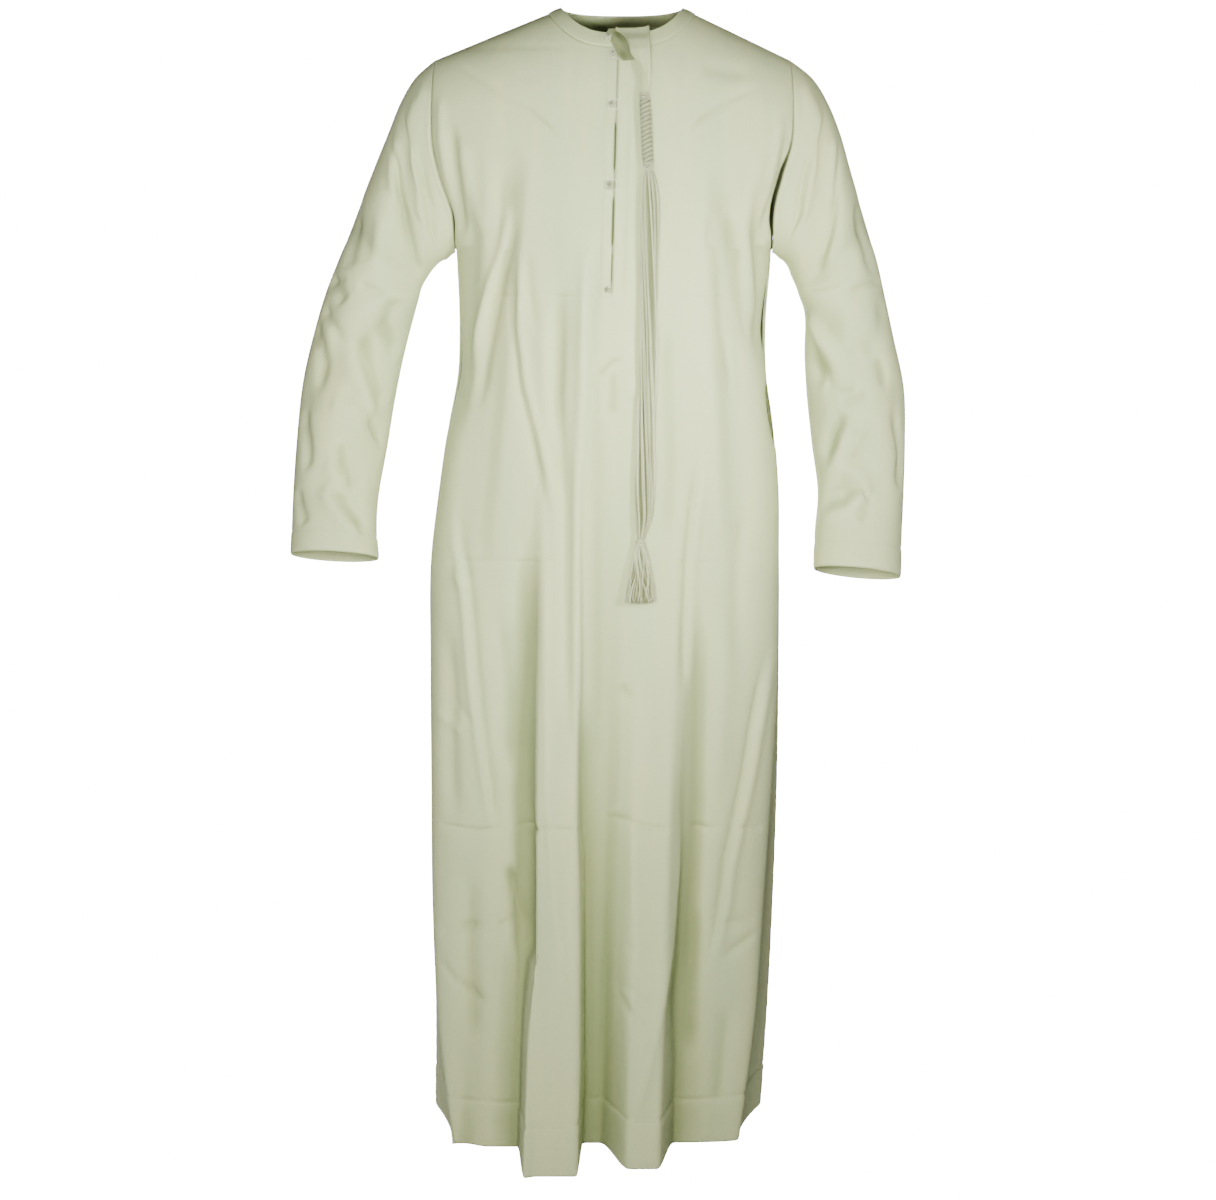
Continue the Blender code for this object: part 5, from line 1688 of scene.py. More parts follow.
@dataclass
class Sleeve:
    """A set-in sleeve, from the armhole seam to the open cuff."""

    form: RobeForm
    cloth: bpy.types.Material
    name: str
    node: str
    rings: Sequence[SleeveRing]
    creases: Sequence[Crease]
    levels: int = 176
    sides: int = 132
    girth_radius: float = 0.058
    length: float = 0.60
    sections: int = 19
    slack: float = 1.02
    head_dip: float = 0.0009
    head_rise: float = 0.0012
    head_roll: float = 0.007
    under_dip: float = 0.0008
    under_width: float = 0.0016
    hem: TurnedHem = TurnedHem(0.030, 0.0005, 0.0009, 0.0024, 0.0020)
    points: Array = field(init=False)

    @property
    def outward(self) -> float:
        """Which way the sleeve stands out, along X."""
        return math.copysign(1.0, self.rings[0].outer_x)

    def armhole(self, turn: Array) -> Array:
        """Finds points of the armhole seam.

        Args:
            turn: Turns from its top, by way of the front, in radians.

        Returns:
            The points.
        """
        form = self.form
        share = (1 - np.cos(turn)) / 2
        z = form.tip_z + (form.armpit_z - form.tip_z) * share
        name = "seam_left" if self.outward < 0 else "seam_right"
        front = form.front(form.body.at(z, name), z)
        back = form.back(np.full(z.shape, self.outward), z)
        return np.where((np.sin(turn) >= 0)[:, None], front, back)

    def broad_folds(self, share: Array, turn: Array) -> Array:
        """How far the broad folds move the cloth out.

        Args:
            share: Shares of the sleeve's length.
            turn: Turns round it, in radians.

        Returns:
            The rise at each place.
        """
        total = np.zeros(share.shape)
        for fold in SLEEVE_FOLDS:
            start = (fold.start_share * self.length, math.radians(fold.start_turn) * self.girth_radius)
            end = (fold.end_share * self.length, math.radians(fold.end_turn) * self.girth_radius)
            run = np.array(end) - np.array(start)
            down = share * self.length - start[0]
            across = turn * self.girth_radius - start[1]
            along = np.clip((down * run[0] + across * run[1]) / (run @ run), 0, 1)
            gap = np.hypot(down - along * run[0], across - along * run[1])
            total += fold.depth * bell(gap, fold.half_width)
        return total

    def grid(self) -> tuple[Array, Array, Array]:
        """Outer points before the creases, with each one's share of length and its turn."""
        turn = 2 * np.pi * np.arange(self.sides) / self.sides
        seam = self.armhole(turn)
        top, foot = seam[0], self.armhole(np.array([np.pi]))[0]
        axis, centre = (top - foot) / 2, (top + foot) / 2
        length = np.linalg.norm(axis)
        outward = np.array([self.outward, 0.0, 0.0])
        shape = seam - centre
        up = shape @ axis / length**2
        depth = shape[:, 1] / seam[:, 1].max()
        bulge = shape @ outward - up * (axis @ outward)
        first = SleeveRing(top[0], top[2], foot[0], foot[2], 0.0, float(seam[:, 1].max()), 0.0, 0.0)
        table = SmoothTable([first, *self.rings])
        shares = row_shares(self.levels, self.length)
        rows = []
        for share in shares:
            number = self.sections * share - 1
            step = 1 + (number * (len(self.rings) - 1) / (self.sections - 1) if number >= 0 else number)
            row = {name: float(table.at(np.array(step), name)) for name in table.names}
            out = np.array([row["outer_x"], row["y"], row["outer_z"]])
            inner = np.array([row["inner_x"], row["y"], row["inner_z"]])
            middle, reach = (out + inner) / 2, (out - inner) / 2
            lean = math.radians(row["lean"])
            forward = np.array([0.0, -math.cos(lean), math.sin(lean)])
            away = np.cross(reach, forward)
            away *= math.copysign(1.0, away @ outward) / np.linalg.norm(away)
            own = row["own"]
            ratio = (1 - own) * up + own * np.cos(turn)
            side = (1 - own) * -depth + own * np.sin(turn)
            ring = middle + reach * ratio[:, None] + forward * row["half_depth"] * side[:, None]
            rows.append(ring + away * (bulge * (1 - own))[:, None])
        points = np.array(rows)
        points[0] = seam
        shares, turns = np.meshgrid(shares, turn, indexing="ij")
        fade = ramp(shares, 0.05, 0.2) * (1 - ramp(shares, 0.93, 1.0))
        spoke = np.stack([np.cos(turns) * self.outward, -np.sin(turns), 0 * turns], axis=-1)
        points = points + spoke * (fade * self.broad_folds(shares, turns))[..., None]
        return points, shares, turns

    def build(self) -> bpy.types.Object:
        """Makes the sleeve.

        Returns:
            The finished piece.
        """
        points, shares, turns = self.grid()
        normal = normals_of(points, ring=True) * -self.outward
        across, down = turns * self.girth_radius, shares * self.length
        around = 2 * np.pi * self.girth_radius
        total = sum(relief_of(self.creases, across + shift, down) for shift in (0.0, -around, around))
        total = total * ramp(shares, 0.0, 0.03)
        low = low_share(points[..., 2])
        total -= self.head_dip * low * bell(down, 0.0013)
        total += self.head_rise * low * bell(down - self.head_roll, self.head_roll / 2)
        total += self.hem.relief((self.length - down) * self.slack)
        under = np.abs(turns - np.pi) * self.girth_radius
        total -= self.under_dip * bell(under, self.under_width) * ramp(shares, 0.02, 0.06)
        self.points = points + normal * total[..., None]
        # painted shade in the sleeve's hollows, painted highlight on its crests
        shade = hollows_of(self.points, normals_of(self.points, ring=True) * -self.outward, ring=True)
        sheet = ClothSheet(
            self.name, self.points, ring=True, thickness=0.0013, flip=self.outward > 0, hollows=shade
        )
        piece = Bench.finish(sheet.build(), self.cloth)
        cuff = run_of(self.points[-1])[-1]
        log.info("%s: %.4f m2 of cloth, cuff %.3f m round", self.name, sheet.area(), cuff)
        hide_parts(self.node)
        return piece


@dataclass
class NeckBand:
    """The narrow doubled band round the neck, open at the slit."""

    form: RobeForm
    cloth: bpy.types.Material
    stations: int = 260
    seam: Array = field(init=False)
    edge: Array = field(init=False)
    out: Array = field(init=False)

    def measure(self) -> None:
        """Works out the band's seam, free edge and outward directions."""
        radius, neck_x = self.form.seam_radius, self.form.neck_x
        start = -(math.pi / 2 + math.asin((neck_x - self.form.slit_top_x - 0.0004) / radius))
        end = 2 * math.pi - (math.pi / 2 + math.asin((neck_x - self.form.slit_top_x + 0.0004) / radius))
        self.seam, self.edge = self.form.neck_ring(np.linspace(start, end, self.stations))
        along = np.gradient(self.seam, axis=0)
        out = np.cross(self.edge - self.seam, along)
        out /= -np.linalg.norm(out, axis=1, keepdims=True)
        self.out = out * np.sign(out[:, 2:3] + 1e-9)

    def build(self) -> bpy.types.Object:
        """Makes the band.

        Returns:
            The finished piece.
        """
        self.measure()
        profile = (
            #  down the band, out from its face
            (0.985, 0.0000),
            (0.93, 0.0009),
            (0.80, 0.0013),
            (0.55, 0.0015),
            (0.30, 0.0014),
            (0.17, 0.0009),
            (0.10, 0.0013),
            (0.03, 0.0009),
            (0.00, 0.0001),
            (0.02, -0.0009),
            (0.10, -0.0015),
            (0.50, -0.0015),
            (0.93, -0.0016),
            (0.985, -0.0014),
        )
        rings = []
        for seam, edge, out in zip(self.seam, self.edge, self.out):
            rings.append([edge + (seam - edge) * down + out * (rise - 0.0002) for down, rise in profile])
        piece = TubeWork.build("neck_band_cloth", [np.array(rings)])
        Bench.finish(piece, self.cloth)
        log.info("neck band: %.3f m long", run_of(self.seam)[-1])
        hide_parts("neck_band")
        return piece


class TabRow(NamedTuple):
    """A row of the tab in front of the chest: height, edges, distance from the chest and curl."""

    z: float
    left: float
    right: float
    stand: float
    curl: float


TAB = (
    #      z       left    right   stand   curl
    TabRow(-0.030, 0.0040, 0.0440, 0.006, 0.000),
    TabRow(-0.037, 0.0110, 0.0443, 0.010, 0.001),
    TabRow(-0.045, 0.0168, 0.0446, 0.013, 0.002),
    TabRow(-0.054, 0.0202, 0.0450, 0.015, 0.003),
    TabRow(-0.063, 0.0225, 0.0452, 0.016, 0.003),
    TabRow(-0.071, 0.0290, 0.0454, 0.015, 0.002),
    TabRow(-0.080, 0.0340, 0.0454, 0.013, 0.001),
    TabRow(-0.094, 0.0350, 0.0446, 0.011, 0.000),
    TabRow(-0.108, 0.0345, 0.0425, 0.0105, 0.000),
)


class TurnRow(NamedTuple):
    """A row of the tab's turned-back edge: height, far edge, the fold that it shares with the tab, depth."""

    z: float
    far: float
    fold: float
    back: float


TURNED = (
    #       z       far      fold    back
    TurnRow(-0.0295, -0.0035, 0.0040, 0.0012),
    TurnRow(-0.0370, -0.0072, 0.0110, 0.0012),
    TurnRow(-0.0440, -0.0028, 0.0163, 0.0012),
    TurnRow(-0.0520, 0.0020, 0.0196, 0.0012),
    TurnRow(-0.0590, 0.0058, 0.0216, 0.0012),
    TurnRow(-0.0637, 0.0082, 0.0226, 0.0010),
    TurnRow(-0.0690, 0.0120, 0.0262, 0.0008),
)


class Shade(NamedTuple):
    """A place of painted shade, or of painted light where its weight is below zero: its weight, place and
    half width across, place and half height down.
    """

    weight: float
    across: float
    half_width: float
    down: float
    half_height: float


# painted shade on the turned edge's underside, with one lighter patch of painted light
TURNED_SHADES = (
    Shade(0.9, 0.72, 0.22, 0.22, 0.25),
    Shade(0.8, 0.30, 0.30, 0.85, 0.18),
    Shade(-0.7, 0.72, 0.25, 0.60, 0.15),
)


@dataclass
class TasselTab:
    """The tab of the robe's own cloth: up behind the band, over the neckline and down to the tassel."""

    form: RobeForm
    cloth: bpy.types.Material
    band: NeckBand
    # dark cloth of painted shade, for the underside of the turned edge
    painted_shade_cloth: bpy.types.Material
    columns: int = 30
    inside: float = 0.012
    clear_in: float = 0.0041
    clear_out: float = 0.0021
    lift: float = 0.0052
    skin: float = 0.0006

    def band_edge(self, x: float) -> tuple[Array, Array]:
        """Finds the front of the band at a place across.

        Args:
            x: The place.

        Returns:
            The band's free edge there and its slope down to the seam.
        """
        front = self.band.edge[:, 1] < 0
        edge, seam = self.band.edge[front], self.band.seam[front]
        order = np.argsort(edge[:, 0])
        place = np.array([np.interp(x, edge[order, 0], edge[order, axis]) for axis in range(3)])
        foot = np.array([np.interp(x, edge[order, 0], seam[order, axis]) for axis in range(3)])
        slope = (foot - place) * np.array([0.0, 1.0, 1.0])
        return place, slope / np.linalg.norm(slope)

    def band_face(self, x: float, z: float) -> float:
        """Depth of the band's face at x and z."""
        edge, slope = self.band_edge(x)
        return edge[1] + slope[1] / slope[2] * (z - edge[2])

    def stand_at(self, x: float, z: float) -> float:
        """Depth of the tab's face, clear of the band and the chest.

        Args:
            x: The place across.
            z: Its height.

        Returns:
            The depth.
        """
        on_band = self.band_face(x, z)
        low = float(self.form.front(np.array([x]), np.array([min(z, -0.058)]))[0, 1])
        share = float(ramp(np.array(-z), 0.052, 0.062))
        chest = on_band * (1 - share) + low * share
        away = float(ramp(np.array(-z), 0.028, 0.045))
        stand = float(SmoothTable(TAB, "z").at(np.array(z), "stand")) * away
        return min(chest - stand, chest - self.clear_out - self.skin)

    def turned_edge(self) -> bpy.types.Object:
        """Makes the edge that turns back, whose underside shows as a hollow in painted shade."""
        table = SmoothTable(TURNED, "z")
        rows = []
        for z in np.linspace(TURNED[0].z, TURNED[-1].z, 30):
            far, fold = float(table.at(z, "far")), float(table.at(z, "fold"))
            back = float(table.at(z, "back"))
            near_y = self.stand_at(fold, float(z)) + self.skin
            far_y = self.band_face(far, float(z)) - 0.0022
            row = []
            for share in np.linspace(0.0, 1.0, 14):
                hollow = back * math.sin(math.pi * share) ** 1.2 * (1 - share)
                y = far_y + (near_y - far_y) * share**2.2 + hollow
                row.append([far + (fold - far) * share, y, z])
            rows.append(row)
        points = np.array(rows)
        share = np.linspace(0.0, 1.0, points.shape[1])[None, :]
        fall = np.linspace(0.0, 1.0, len(points))[:, None]
        # painted shade on the underside, with a lighter patch of painted light
        shade = 0.10 + 0.0 * share * fall
        for spot in TURNED_SHADES:
            spread_down = bell(fall - spot.down, spot.half_height)
            shade = shade + spot.weight * bell(share - spot.across, spot.half_width) * spread_down
        sheet = ClothSheet("tassel_tab_turned_edge", points, thickness=0.0009, hollows=shade)
        piece = Bench.finish(sheet.build(), self.painted_shade_cloth)
        return piece

    def build(self) -> bpy.types.Object:
        """Makes the tab.

        Returns:
            The finished piece.
        """
        table = SmoothTable(TAB, "z")
        top = TAB[0]
        middle = (self.clear_out - self.clear_in) / 2
        reach = (self.clear_out + self.clear_in) / 2
        wrap = [(share * self.inside, -self.clear_in) for share in np.linspace(1, 0, 8)]
        for turn in np.radians(np.linspace(12, 168, 12)):
            wrap.append((-(reach + self.lift) * math.sin(turn), middle - reach * math.cos(turn)))
        shares = np.linspace(0, 1, self.columns + 1)
        rows = []
        for down, out in wrap:
            row = []
            for share in shares:
                x = top.left + (top.right - top.left) * share
                edge, slope = self.band_edge(x)
                outward = np.array([0.0, slope[2], -slope[1]])
                row.append(np.array([x, 0, 0]) + (edge + slope * down + outward * out) * [0, 1, 1])
            rows.append(row)
        for z in np.linspace(-0.0365, TAB[-1].z, 56):
            left, right = float(table.at(z, "left")), float(table.at(z, "right"))
            curl = float(table.at(z, "curl"))
            row = []
            for share in shares:
                x = left + (right - left) * share
                row.append(np.array([x, self.stand_at(x, float(z)) - curl * (1 - share) ** 2, z]))
            rows.append(row)
        points = np.array(rows)
        normal = normals_of(points)
        x, z = points[..., 0], points[..., 2]
        share = np.broadcast_to(shares, x.shape)
        rolls = 0.0012 * bell(share - 0.97, 0.035) + 0.0010 * bell(share - 0.03, 0.04)
        pleats = 0.0011 * np.sin(share * 9.5 + z * 60) * ramp(-z, 0.060, 0.085)
        dent = -0.0016 * bell(share - 0.45 - (z + 0.05) * 4, 0.16) * ramp(-z, 0.040, 0.060)
        points = points + normal * (rolls + pleats + dent)[..., None]
        # painted shade in the tab's hollows, painted highlight on its crests
        sheet = ClothSheet("tassel_tab_cloth", points, thickness=0.0011, hollows=hollows_of(points, normal))
        piece = Bench.finish(sheet.build(), self.cloth)
        log.info("tassel tab: %.5f m2 of cloth", sheet.area())
        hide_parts("tassel_tab")
        return piece


class StrandRow(NamedTuple):
    """A level of a bunch of threads: its height, middle, half width and half depth."""

    z: float
    x: float
    half_x: float
    half_y: float


SKEIN_ROWS = (
    #         z       x       half_x  half_y
    StrandRow(-0.1985, 0.0426, 0.0036, 0.0030),
    StrandRow(-0.205, 0.0432, 0.0060, 0.0040),
    StrandRow(-0.220, 0.0437, 0.0088, 0.0046),
    StrandRow(-0.250, 0.0438, 0.0104, 0.0048),
    StrandRow(-0.300, 0.0436, 0.0104, 0.0048),
    StrandRow(-0.360, 0.0434, 0.0098, 0.0048),
    StrandRow(-0.420, 0.0425, 0.0098, 0.0048),
    StrandRow(-0.480, 0.0412, 0.0106, 0.0048),
    StrandRow(-0.540, 0.0398, 0.0118, 0.0048),
    StrandRow(-0.585, 0.0385, 0.0124, 0.0048),
    StrandRow(-0.612, 0.0374, 0.0098, 0.0046),
    StrandRow(-0.628, 0.0350, 0.0058, 0.0038),
    StrandRow(-0.6355, 0.0340, 0.0032, 0.0030),
)

END_ROWS = (
    #         z       x       half_x  half_y
    StrandRow(-0.6345, 0.0340, 0.0030, 0.0028),
    StrandRow(-0.642, 0.0340, 0.0050, 0.0044),
    StrandRow(-0.652, 0.0341, 0.0080, 0.0056),
    StrandRow(-0.668, 0.0345, 0.0118, 0.0068),
    StrandRow(-0.690, 0.0338, 0.0160, 0.0080),
    StrandRow(-0.711, 0.0330, 0.0188, 0.0090),
)


# the turn that spreads threads evenly over a round bunch, in radians
GOLDEN_TURN = 2.399963


@dataclass
class Tassel:
    """The tassel: a twisted shank with a knot at each end, a loose skein and an end tuft."""

    front: FrontPanel
    thread: bpy.types.Material
    cord: bpy.types.Material
    shank_top: tuple[float, float] = (0.0380, -0.1084)
    shank_foot: tuple[float, float] = (0.0425, -0.196)
    shank_clear: tuple[float, float] = (0.0105, 0.0095)
    ply_radius: float = 0.0032
    ply_offset: float = 0.0038
    turns: float = 5.6
    skein_clear: float = 0.0090
    end_clear: float = 0.0130
    binding: float = 0.00105
    # painted shade on the turns that bind the knots
    bound_shade: float = 0.15
    seed: int = 11

    def hanging(self, x: float, z: float, clear: float) -> Array:
        """A place in front of the chest, this far clear of it."""
        y = float(self.front.form.front(np.array([x]), np.array([z]))[0, 1])
        return np.array([x, y - clear, z])

    def wraps(self, centre: Array, radius: float, height: float, down: Array, count: int) -> list[Array]:
        """Binds a knot with turns of thread.

        Args:
            centre: The knot's middle.
            radius: Its radius.
            height: Its height.
            down: The direction of the cord.
            count: Number of turns.

        Returns:
            The turns' rings.
        """
        loops = []
        hint = np.array([0.0, 0.0, 1.0]) if abs(down[2]) < 0.9 else np.array([0.0, 1.0, 0.0])
        first = unit(np.cross(down, hint))
        second = np.cross(first, down)
        angle = np.linspace(0, 2 * np.pi, 25)[:-1]
        for number in range(count):
            rise = (number / max(count - 1, 1) - 0.5) * height
            wide = radius * math.sqrt(max(1 - (1.5 * rise / max(height, 1e-6)) ** 2, 0.2))
            tilt = 0.22 * wide * np.sin(angle + number)
            spoke = np.cos(angle)[:, None] * first + np.sin(angle)[:, None] * second
            ring = centre + down * rise + wide * spoke
            ring = ring + down * tilt[:, None]
            path = np.concatenate([ring, ring[:1]])
            loops.append(TubeWork.rings(path, np.full(len(path), self.binding), 8, down))
        return loops

    def shank(self) -> bpy.types.Object:
        """Makes the twisted shank and its two knots."""
        top = self.hanging(*self.shank_top, self.shank_clear[0])
        foot = self.hanging(*self.shank_foot, self.shank_clear[1])
        down = foot - top
        length = float(np.linalg.norm(down))
        down /= length
        first = unit(np.cross(down, [0.0, 1.0, 0.0]))
        second = np.cross(first, down)
        share = np.linspace(0, 1, 150)
        loops, hollows = [], []
        pinch = 0.35 + 0.65 * ramp(share, 0.0, 0.12) * (1 - ramp(share, 0.90, 1.0))
        middle = top + down * (share * length)[:, None]
        wide = np.repeat((pinch * (self.ply_offset + self.ply_radius) * 1.20)[:, None], 2, axis=1)
        for ply in range(3):
            angle = 2 * np.pi * (self.turns * share + ply / 3)
            reach = self.ply_offset * pinch
            path = middle + (reach * np.cos(angle))[:, None] * first
            path = path - (reach * np.sin(angle))[:, None] * second
            loops.append(TubeWork.rings(path, self.ply_radius * pinch, 14, down))
            # painted shade where the plies press on each other
            hollows.append(TubeWork.buried(loops[-1], middle, wide))
        loops += self.wraps(top + down * 0.0045, radius=0.0056, height=0.0075, down=down, count=5)
        loops += self.wraps(foot - down * 0.0035, radius=0.0056, height=0.0060, down=down, count=4)
        hollows += [np.full(rings.shape[:2], self.bound_shade) for rings in loops[3:]]
        piece = TubeWork.build("tassel_shank_cord", loops, hollows=hollows)
        Bench.finish(piece, self.cord)
        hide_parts("tassel_shank")
        return piece

    def bunch(
        self,
        rows: Sequence[StrandRow],
        clear: Array,
        count: int,
        steps: int,
        radius: float,
        sway: float,
        twist: float,
    ) -> tuple[list[Array], list[Array]]:
        """Threads that keep their own places in a bunch as it widens and narrows.

        Args:
            rows: Levels of the bunch.
            clear: Distance from the chest at the top and at the foot.
            count: Number of threads.
            steps: Points along each thread.
            radius: Thread radius in metres.
            sway: How far a thread wanders, as a share of the bunch.
            twist: How far the bunch turns on its way down, in radians.

        Returns:
            The threads' rings, and the painted shade of each of their points: darker deeper in the bunch,
            with a random tone for each thread.
        """
        random = np.random.default_rng(self.seed)
        table = SmoothTable(rows, "z")
        heights = np.linspace(rows[0].z, rows[-1].z, steps)
        share = np.linspace(0, 1, steps)
        x, half_x = table.at(heights, "x"), table.at(heights, "half_x")
        half_y = table.at(heights, "half_y")
        chest = self.front.form.front(x, heights)[:, 1]
        stand = clear[0] + (clear[1] - clear[0]) * ramp(share, 0.0, 1.0)
        middle = np.stack([x, chest - stand, heights], axis=-1)
        wide = np.stack([half_x, half_y], axis=-1) + radius
        loops, hollows = [], []
        for number in range(count):
            radial = math.sqrt((number + 0.5) / count)
            angle = number * GOLDEN_TURN + 0.3 * random.standard_normal()
            phase = random.uniform(0, 2 * np.pi, 3)
            waves = np.sin(share * 7 + phase[0]) + 0.6 * np.sin(share * 15 + phase[1])
            turn = angle + twist * share + sway * 0.6 * np.sin(share * 5 + phase[2])
            reach = np.clip(radial * (1 + 0.10 * waves * sway * 4), 0, 1.04)
            short = 1 if sway < 0.2 else 1 - 0.035 * random.random()
            z = rows[0].z + (heights - rows[0].z) * short
            path = np.stack(
                [
                    x + half_x * reach * np.cos(turn) + 0.0004 * waves,
                    chest - stand + half_y * reach * np.sin(turn),
                    z,
                ],
                axis=-1,
            )
            loops.append(TubeWork.rings(path, np.full(steps, radius), 5, np.array([0.0, 1.0, 0.01])))
            deep = TubeWork.buried(loops[-1], middle, wide)
            # painted shade deeper in the bunch, plus a random tone for each thread
            hollows.append(np.clip(deep + 0.45 * random.random() ** 2, 0.0, 1.0))
        return loops, hollows

    def skein(self) -> bpy.types.Object:
        """Makes the loose skein of long threads."""
        clear = np.array([self.skein_clear, self.skein_clear])
        loops, hollows = self.bunch(
            SKEIN_ROWS, clear, count=74, steps=72, radius=0.00105, sway=0.17, twist=2.6
        )
        piece = TubeWork.build("tassel_skein_threads", loops, hollows=hollows)
        Bench.finish(piece, self.thread)
        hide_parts("tassel_skein")
        return piece

    def end(self) -> bpy.types.Object:
        """Makes the end tuft with its bound neck."""
        clear = np.array([self.skein_clear, self.end_clear])
        loops, hollows = self.bunch(
            END_ROWS, clear, count=120, steps=16, radius=0.00085, sway=0.35, twist=0.5
        )
        neck = self.hanging(0.0340, -0.6385, self.skein_clear + 0.0003)
        straight = np.array([0.0, 0.0, -1.0])
        turns = self.wraps(neck, radius=0.0052, height=0.0060, down=straight, count=4)
        hollows += [np.full(rings.shape[:2], self.bound_shade) for rings in turns]
        piece = TubeWork.build("tassel_end_threads", loops + turns, hollows=hollows)
        Bench.finish(piece, self.thread)
        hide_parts("tassel_end")
        return piece

    def build(self) -> None:
        """Makes the tassel's three pieces."""
        for piece in (self.shank(), self.skein(), self.end()):
            log.info("%s: %d faces", piece.name, len(piece.data.polygons))


class ButtonPlace(NamedTuple):
    """A knot button beside the slit: its height, its distance from the slit and its radius."""

    name: str
    z: float
    beside: float
    radius: float


BUTTONS = (
    #           name        z       beside   radius
    ButtonPlace("button_1", -0.062, -0.0050, 0.0040),
    ButtonPlace("button_2", -0.121, -0.0050, 0.0045),
    ButtonPlace("button_3", -0.215, -0.0045, 0.0048),
    ButtonPlace("button_4", -0.337, -0.0045, 0.0048),
)


@dataclass
class Buttons:
    """Knot buttons of fine cord beside the slit, with the thread loops that hold three of them."""

    front: FrontPanel
    band: NeckBand
    knot: bpy.types.Material
    cord_radius: float = 0.00062
    ball_share: float = 0.80
    core_share: float = 0.84
    neck_share: float = 0.34
    loop_clear: float = 0.0012
    loop_cord: float = 0.00085
    tail_cord: float = 0.00060
    neck_stations: int = 7
    neck_lift: float = 0.0014
    neck_size: float = 0.0040

    def knot_loops(self, seat: Array, out: Array, radius: float) -> list[Array]:
        """Winds a button's cord, one line that goes over and under itself round a ball.

        Args:
            seat: The button's place on the cloth.
            out: The cloth's outward direction there.
            radius: The button's radius.

        Returns:
            The cord's rings.
        """
        angle = np.linspace(0, 2 * np.pi, 241)
        round_turn, over_turn = 4 * angle, 5 * angle
        tilt = 1.12 * np.sin(over_turn)
        ball = radius * self.ball_share
        lift = 1 + 0.10 * np.cos(2 * over_turn + round_turn)
        flat_x, flat_y = np.cos(tilt) * np.cos(round_turn), np.cos(tilt) * np.sin(round_turn)
        local = np.stack([flat_x, flat_y, np.sin(tilt) * 0.86], axis=-1) * (ball * lift)[:, None]
        first = unit(np.cross(out, [0.31, 0.0, 0.95]))
        second = np.cross(out, first)
        centre = seat + out * ball
        path = centre + local[:, :1] * first + local[:, 1:2] * second + local[:, 2:] * out
        along = np.gradient(path, axis=0)
        radial = path - centre
        hint = np.cross(along, radial)
        first_side, second_side = unit(np.cross(hint, along)), unit(hint)
        turn = 2 * np.pi * np.arange(7) / 7
        round_first = np.cos(turn)[None, :, None] * first_side[:, None, :]
        round_second = np.sin(turn)[None, :, None] * second_side[:, None, :]
        return [path[:, None, :] + self.cord_radius * (round_first + round_second)]

    def ball(self, name: str, seat: Array, out: Array, radius: float) -> bpy.types.Object:
        """Makes a button's core, a flattened ball on a short shank of thread.

        Args:
            name: The core's name.
            seat: The button's place on the cloth.
            out: The cloth's outward direction there.
            radius: The button's radius.

        Returns:
            The core.
        """
        Bench.clear()
        centre, ball = seat + out * (radius * self.ball_share), radius * self.core_share
        bpy.ops.mesh.primitive_uv_sphere_add(segments=24, ring_count=14, radius=ball, location=centre)
        core = bpy.context.object
        bpy.ops.object.mode_set(mode="EDIT")
        bpy.ops.mesh.select_all(action="SELECT")
        bpy.ops.transform.resize(value=(1.0, 0.88, 1.0))
        bpy.ops.object.mode_set(mode="OBJECT")
        bpy.ops.object.shade_smooth()
        Bench.clear()
        bpy.ops.mesh.primitive_cylinder_add(
            vertices=12,
            radius=radius * self.neck_share,
            depth=0.0024,
            location=seat + out * 0.0006,
            rotation=(math.pi / 2, 0, 0),
        )
        neck = bpy.context.object
        return Bench.join([core, neck], name)

    def loop(self, button: ButtonPlace, out: Array) -> bpy.types.Object:
        """Makes the near-square thread loop round a button, with two tails to the slit's edge.

        Args:
            button: The button.
            out: The cloth's outward direction there.

        Returns:
            The loop.
        """
        angle = 2 * np.pi * (np.arange(49) + 0.5) / 48
        wide = np.sign(np.cos(angle)) * np.abs(np.cos(angle)) ** 0.55
        tall = np.sign(np.sin(angle)) * np.abs(np.sin(angle)) ** 0.55
        middle = float(self.front.form.slit_x(np.array(button.z))) + button.beside + self.loop_clear
        path = []
        for across, up in zip(wide, tall):
            x = middle + (button.radius + 0.0022) * across
            z = button.z + (button.radius + 0.0014) * up
            seat, normal = self.front.seat(x, z)
            path.append(seat + normal * 0.0010)
        rings = [TubeWork.rings(np.array(path), np.full(len(path), self.loop_cord), 8, out)]
        for side in (-1, 1):
            tail = []
            for share in np.linspace(0, 1, 8):
                x = middle + (button.radius + 0.0020) + share * 0.0050
                z = button.z + side * (0.0012 + 0.0006 * share)
                seat, normal = self.front.seat(x, z)
                tail.append(seat + normal * (0.0010 - 0.0012 * share**2))
            rings.append(TubeWork.rings(np.array(tail), np.full(8, self.tail_cord), 8, out))
        # painted shade on each cord's side towards the cloth
        hollows = []
        for cord in rings:
            rise = (cord - cord.mean(axis=1, keepdims=True)) @ out / 0.0008
            hollows.append(1.0 - ramp(rise, -0.1, 0.75))
        piece = TubeWork.build(button.name.replace("button", "loop") + "_thread", rings, hollows=hollows)
        Bench.finish(piece, self.knot)
        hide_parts(button.name.replace("button", "loop"))
        return piece

    def place(self, name: str, seat: Array, out: Array, radius: float) -> None:
        """Makes one button and lets it stand for its node.

        Args:
            name: The node's name.
            seat: The button's place on the cloth.
            out: The cloth's outward direction there.
            radius: The button's radius.
        """
        core = self.ball(name + "_core", seat, out, radius)
        cord = TubeWork.build(name + "_cord", self.knot_loops(seat, out, radius), caps=True)
        piece = Bench.join([core, cord], name + "_knot")
        # painted shade: darker close to the button's middle, lightest on the cord's outer turns
        places = np.empty(len(piece.data.vertices) * 3)
        piece.data.vertices.foreach_get("co", places)
        ball = radius * self.ball_share
        far = np.linalg.norm(places.reshape(-1, 3) - (seat + out * ball), axis=1)
        mark = piece.data.attributes.new("hollow", "FLOAT", "POINT")
        mark.data.foreach_set("value", 1.0 - ramp(far, ball, radius * 0.94))
        Bench.finish(piece, self.knot)
        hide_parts(name)

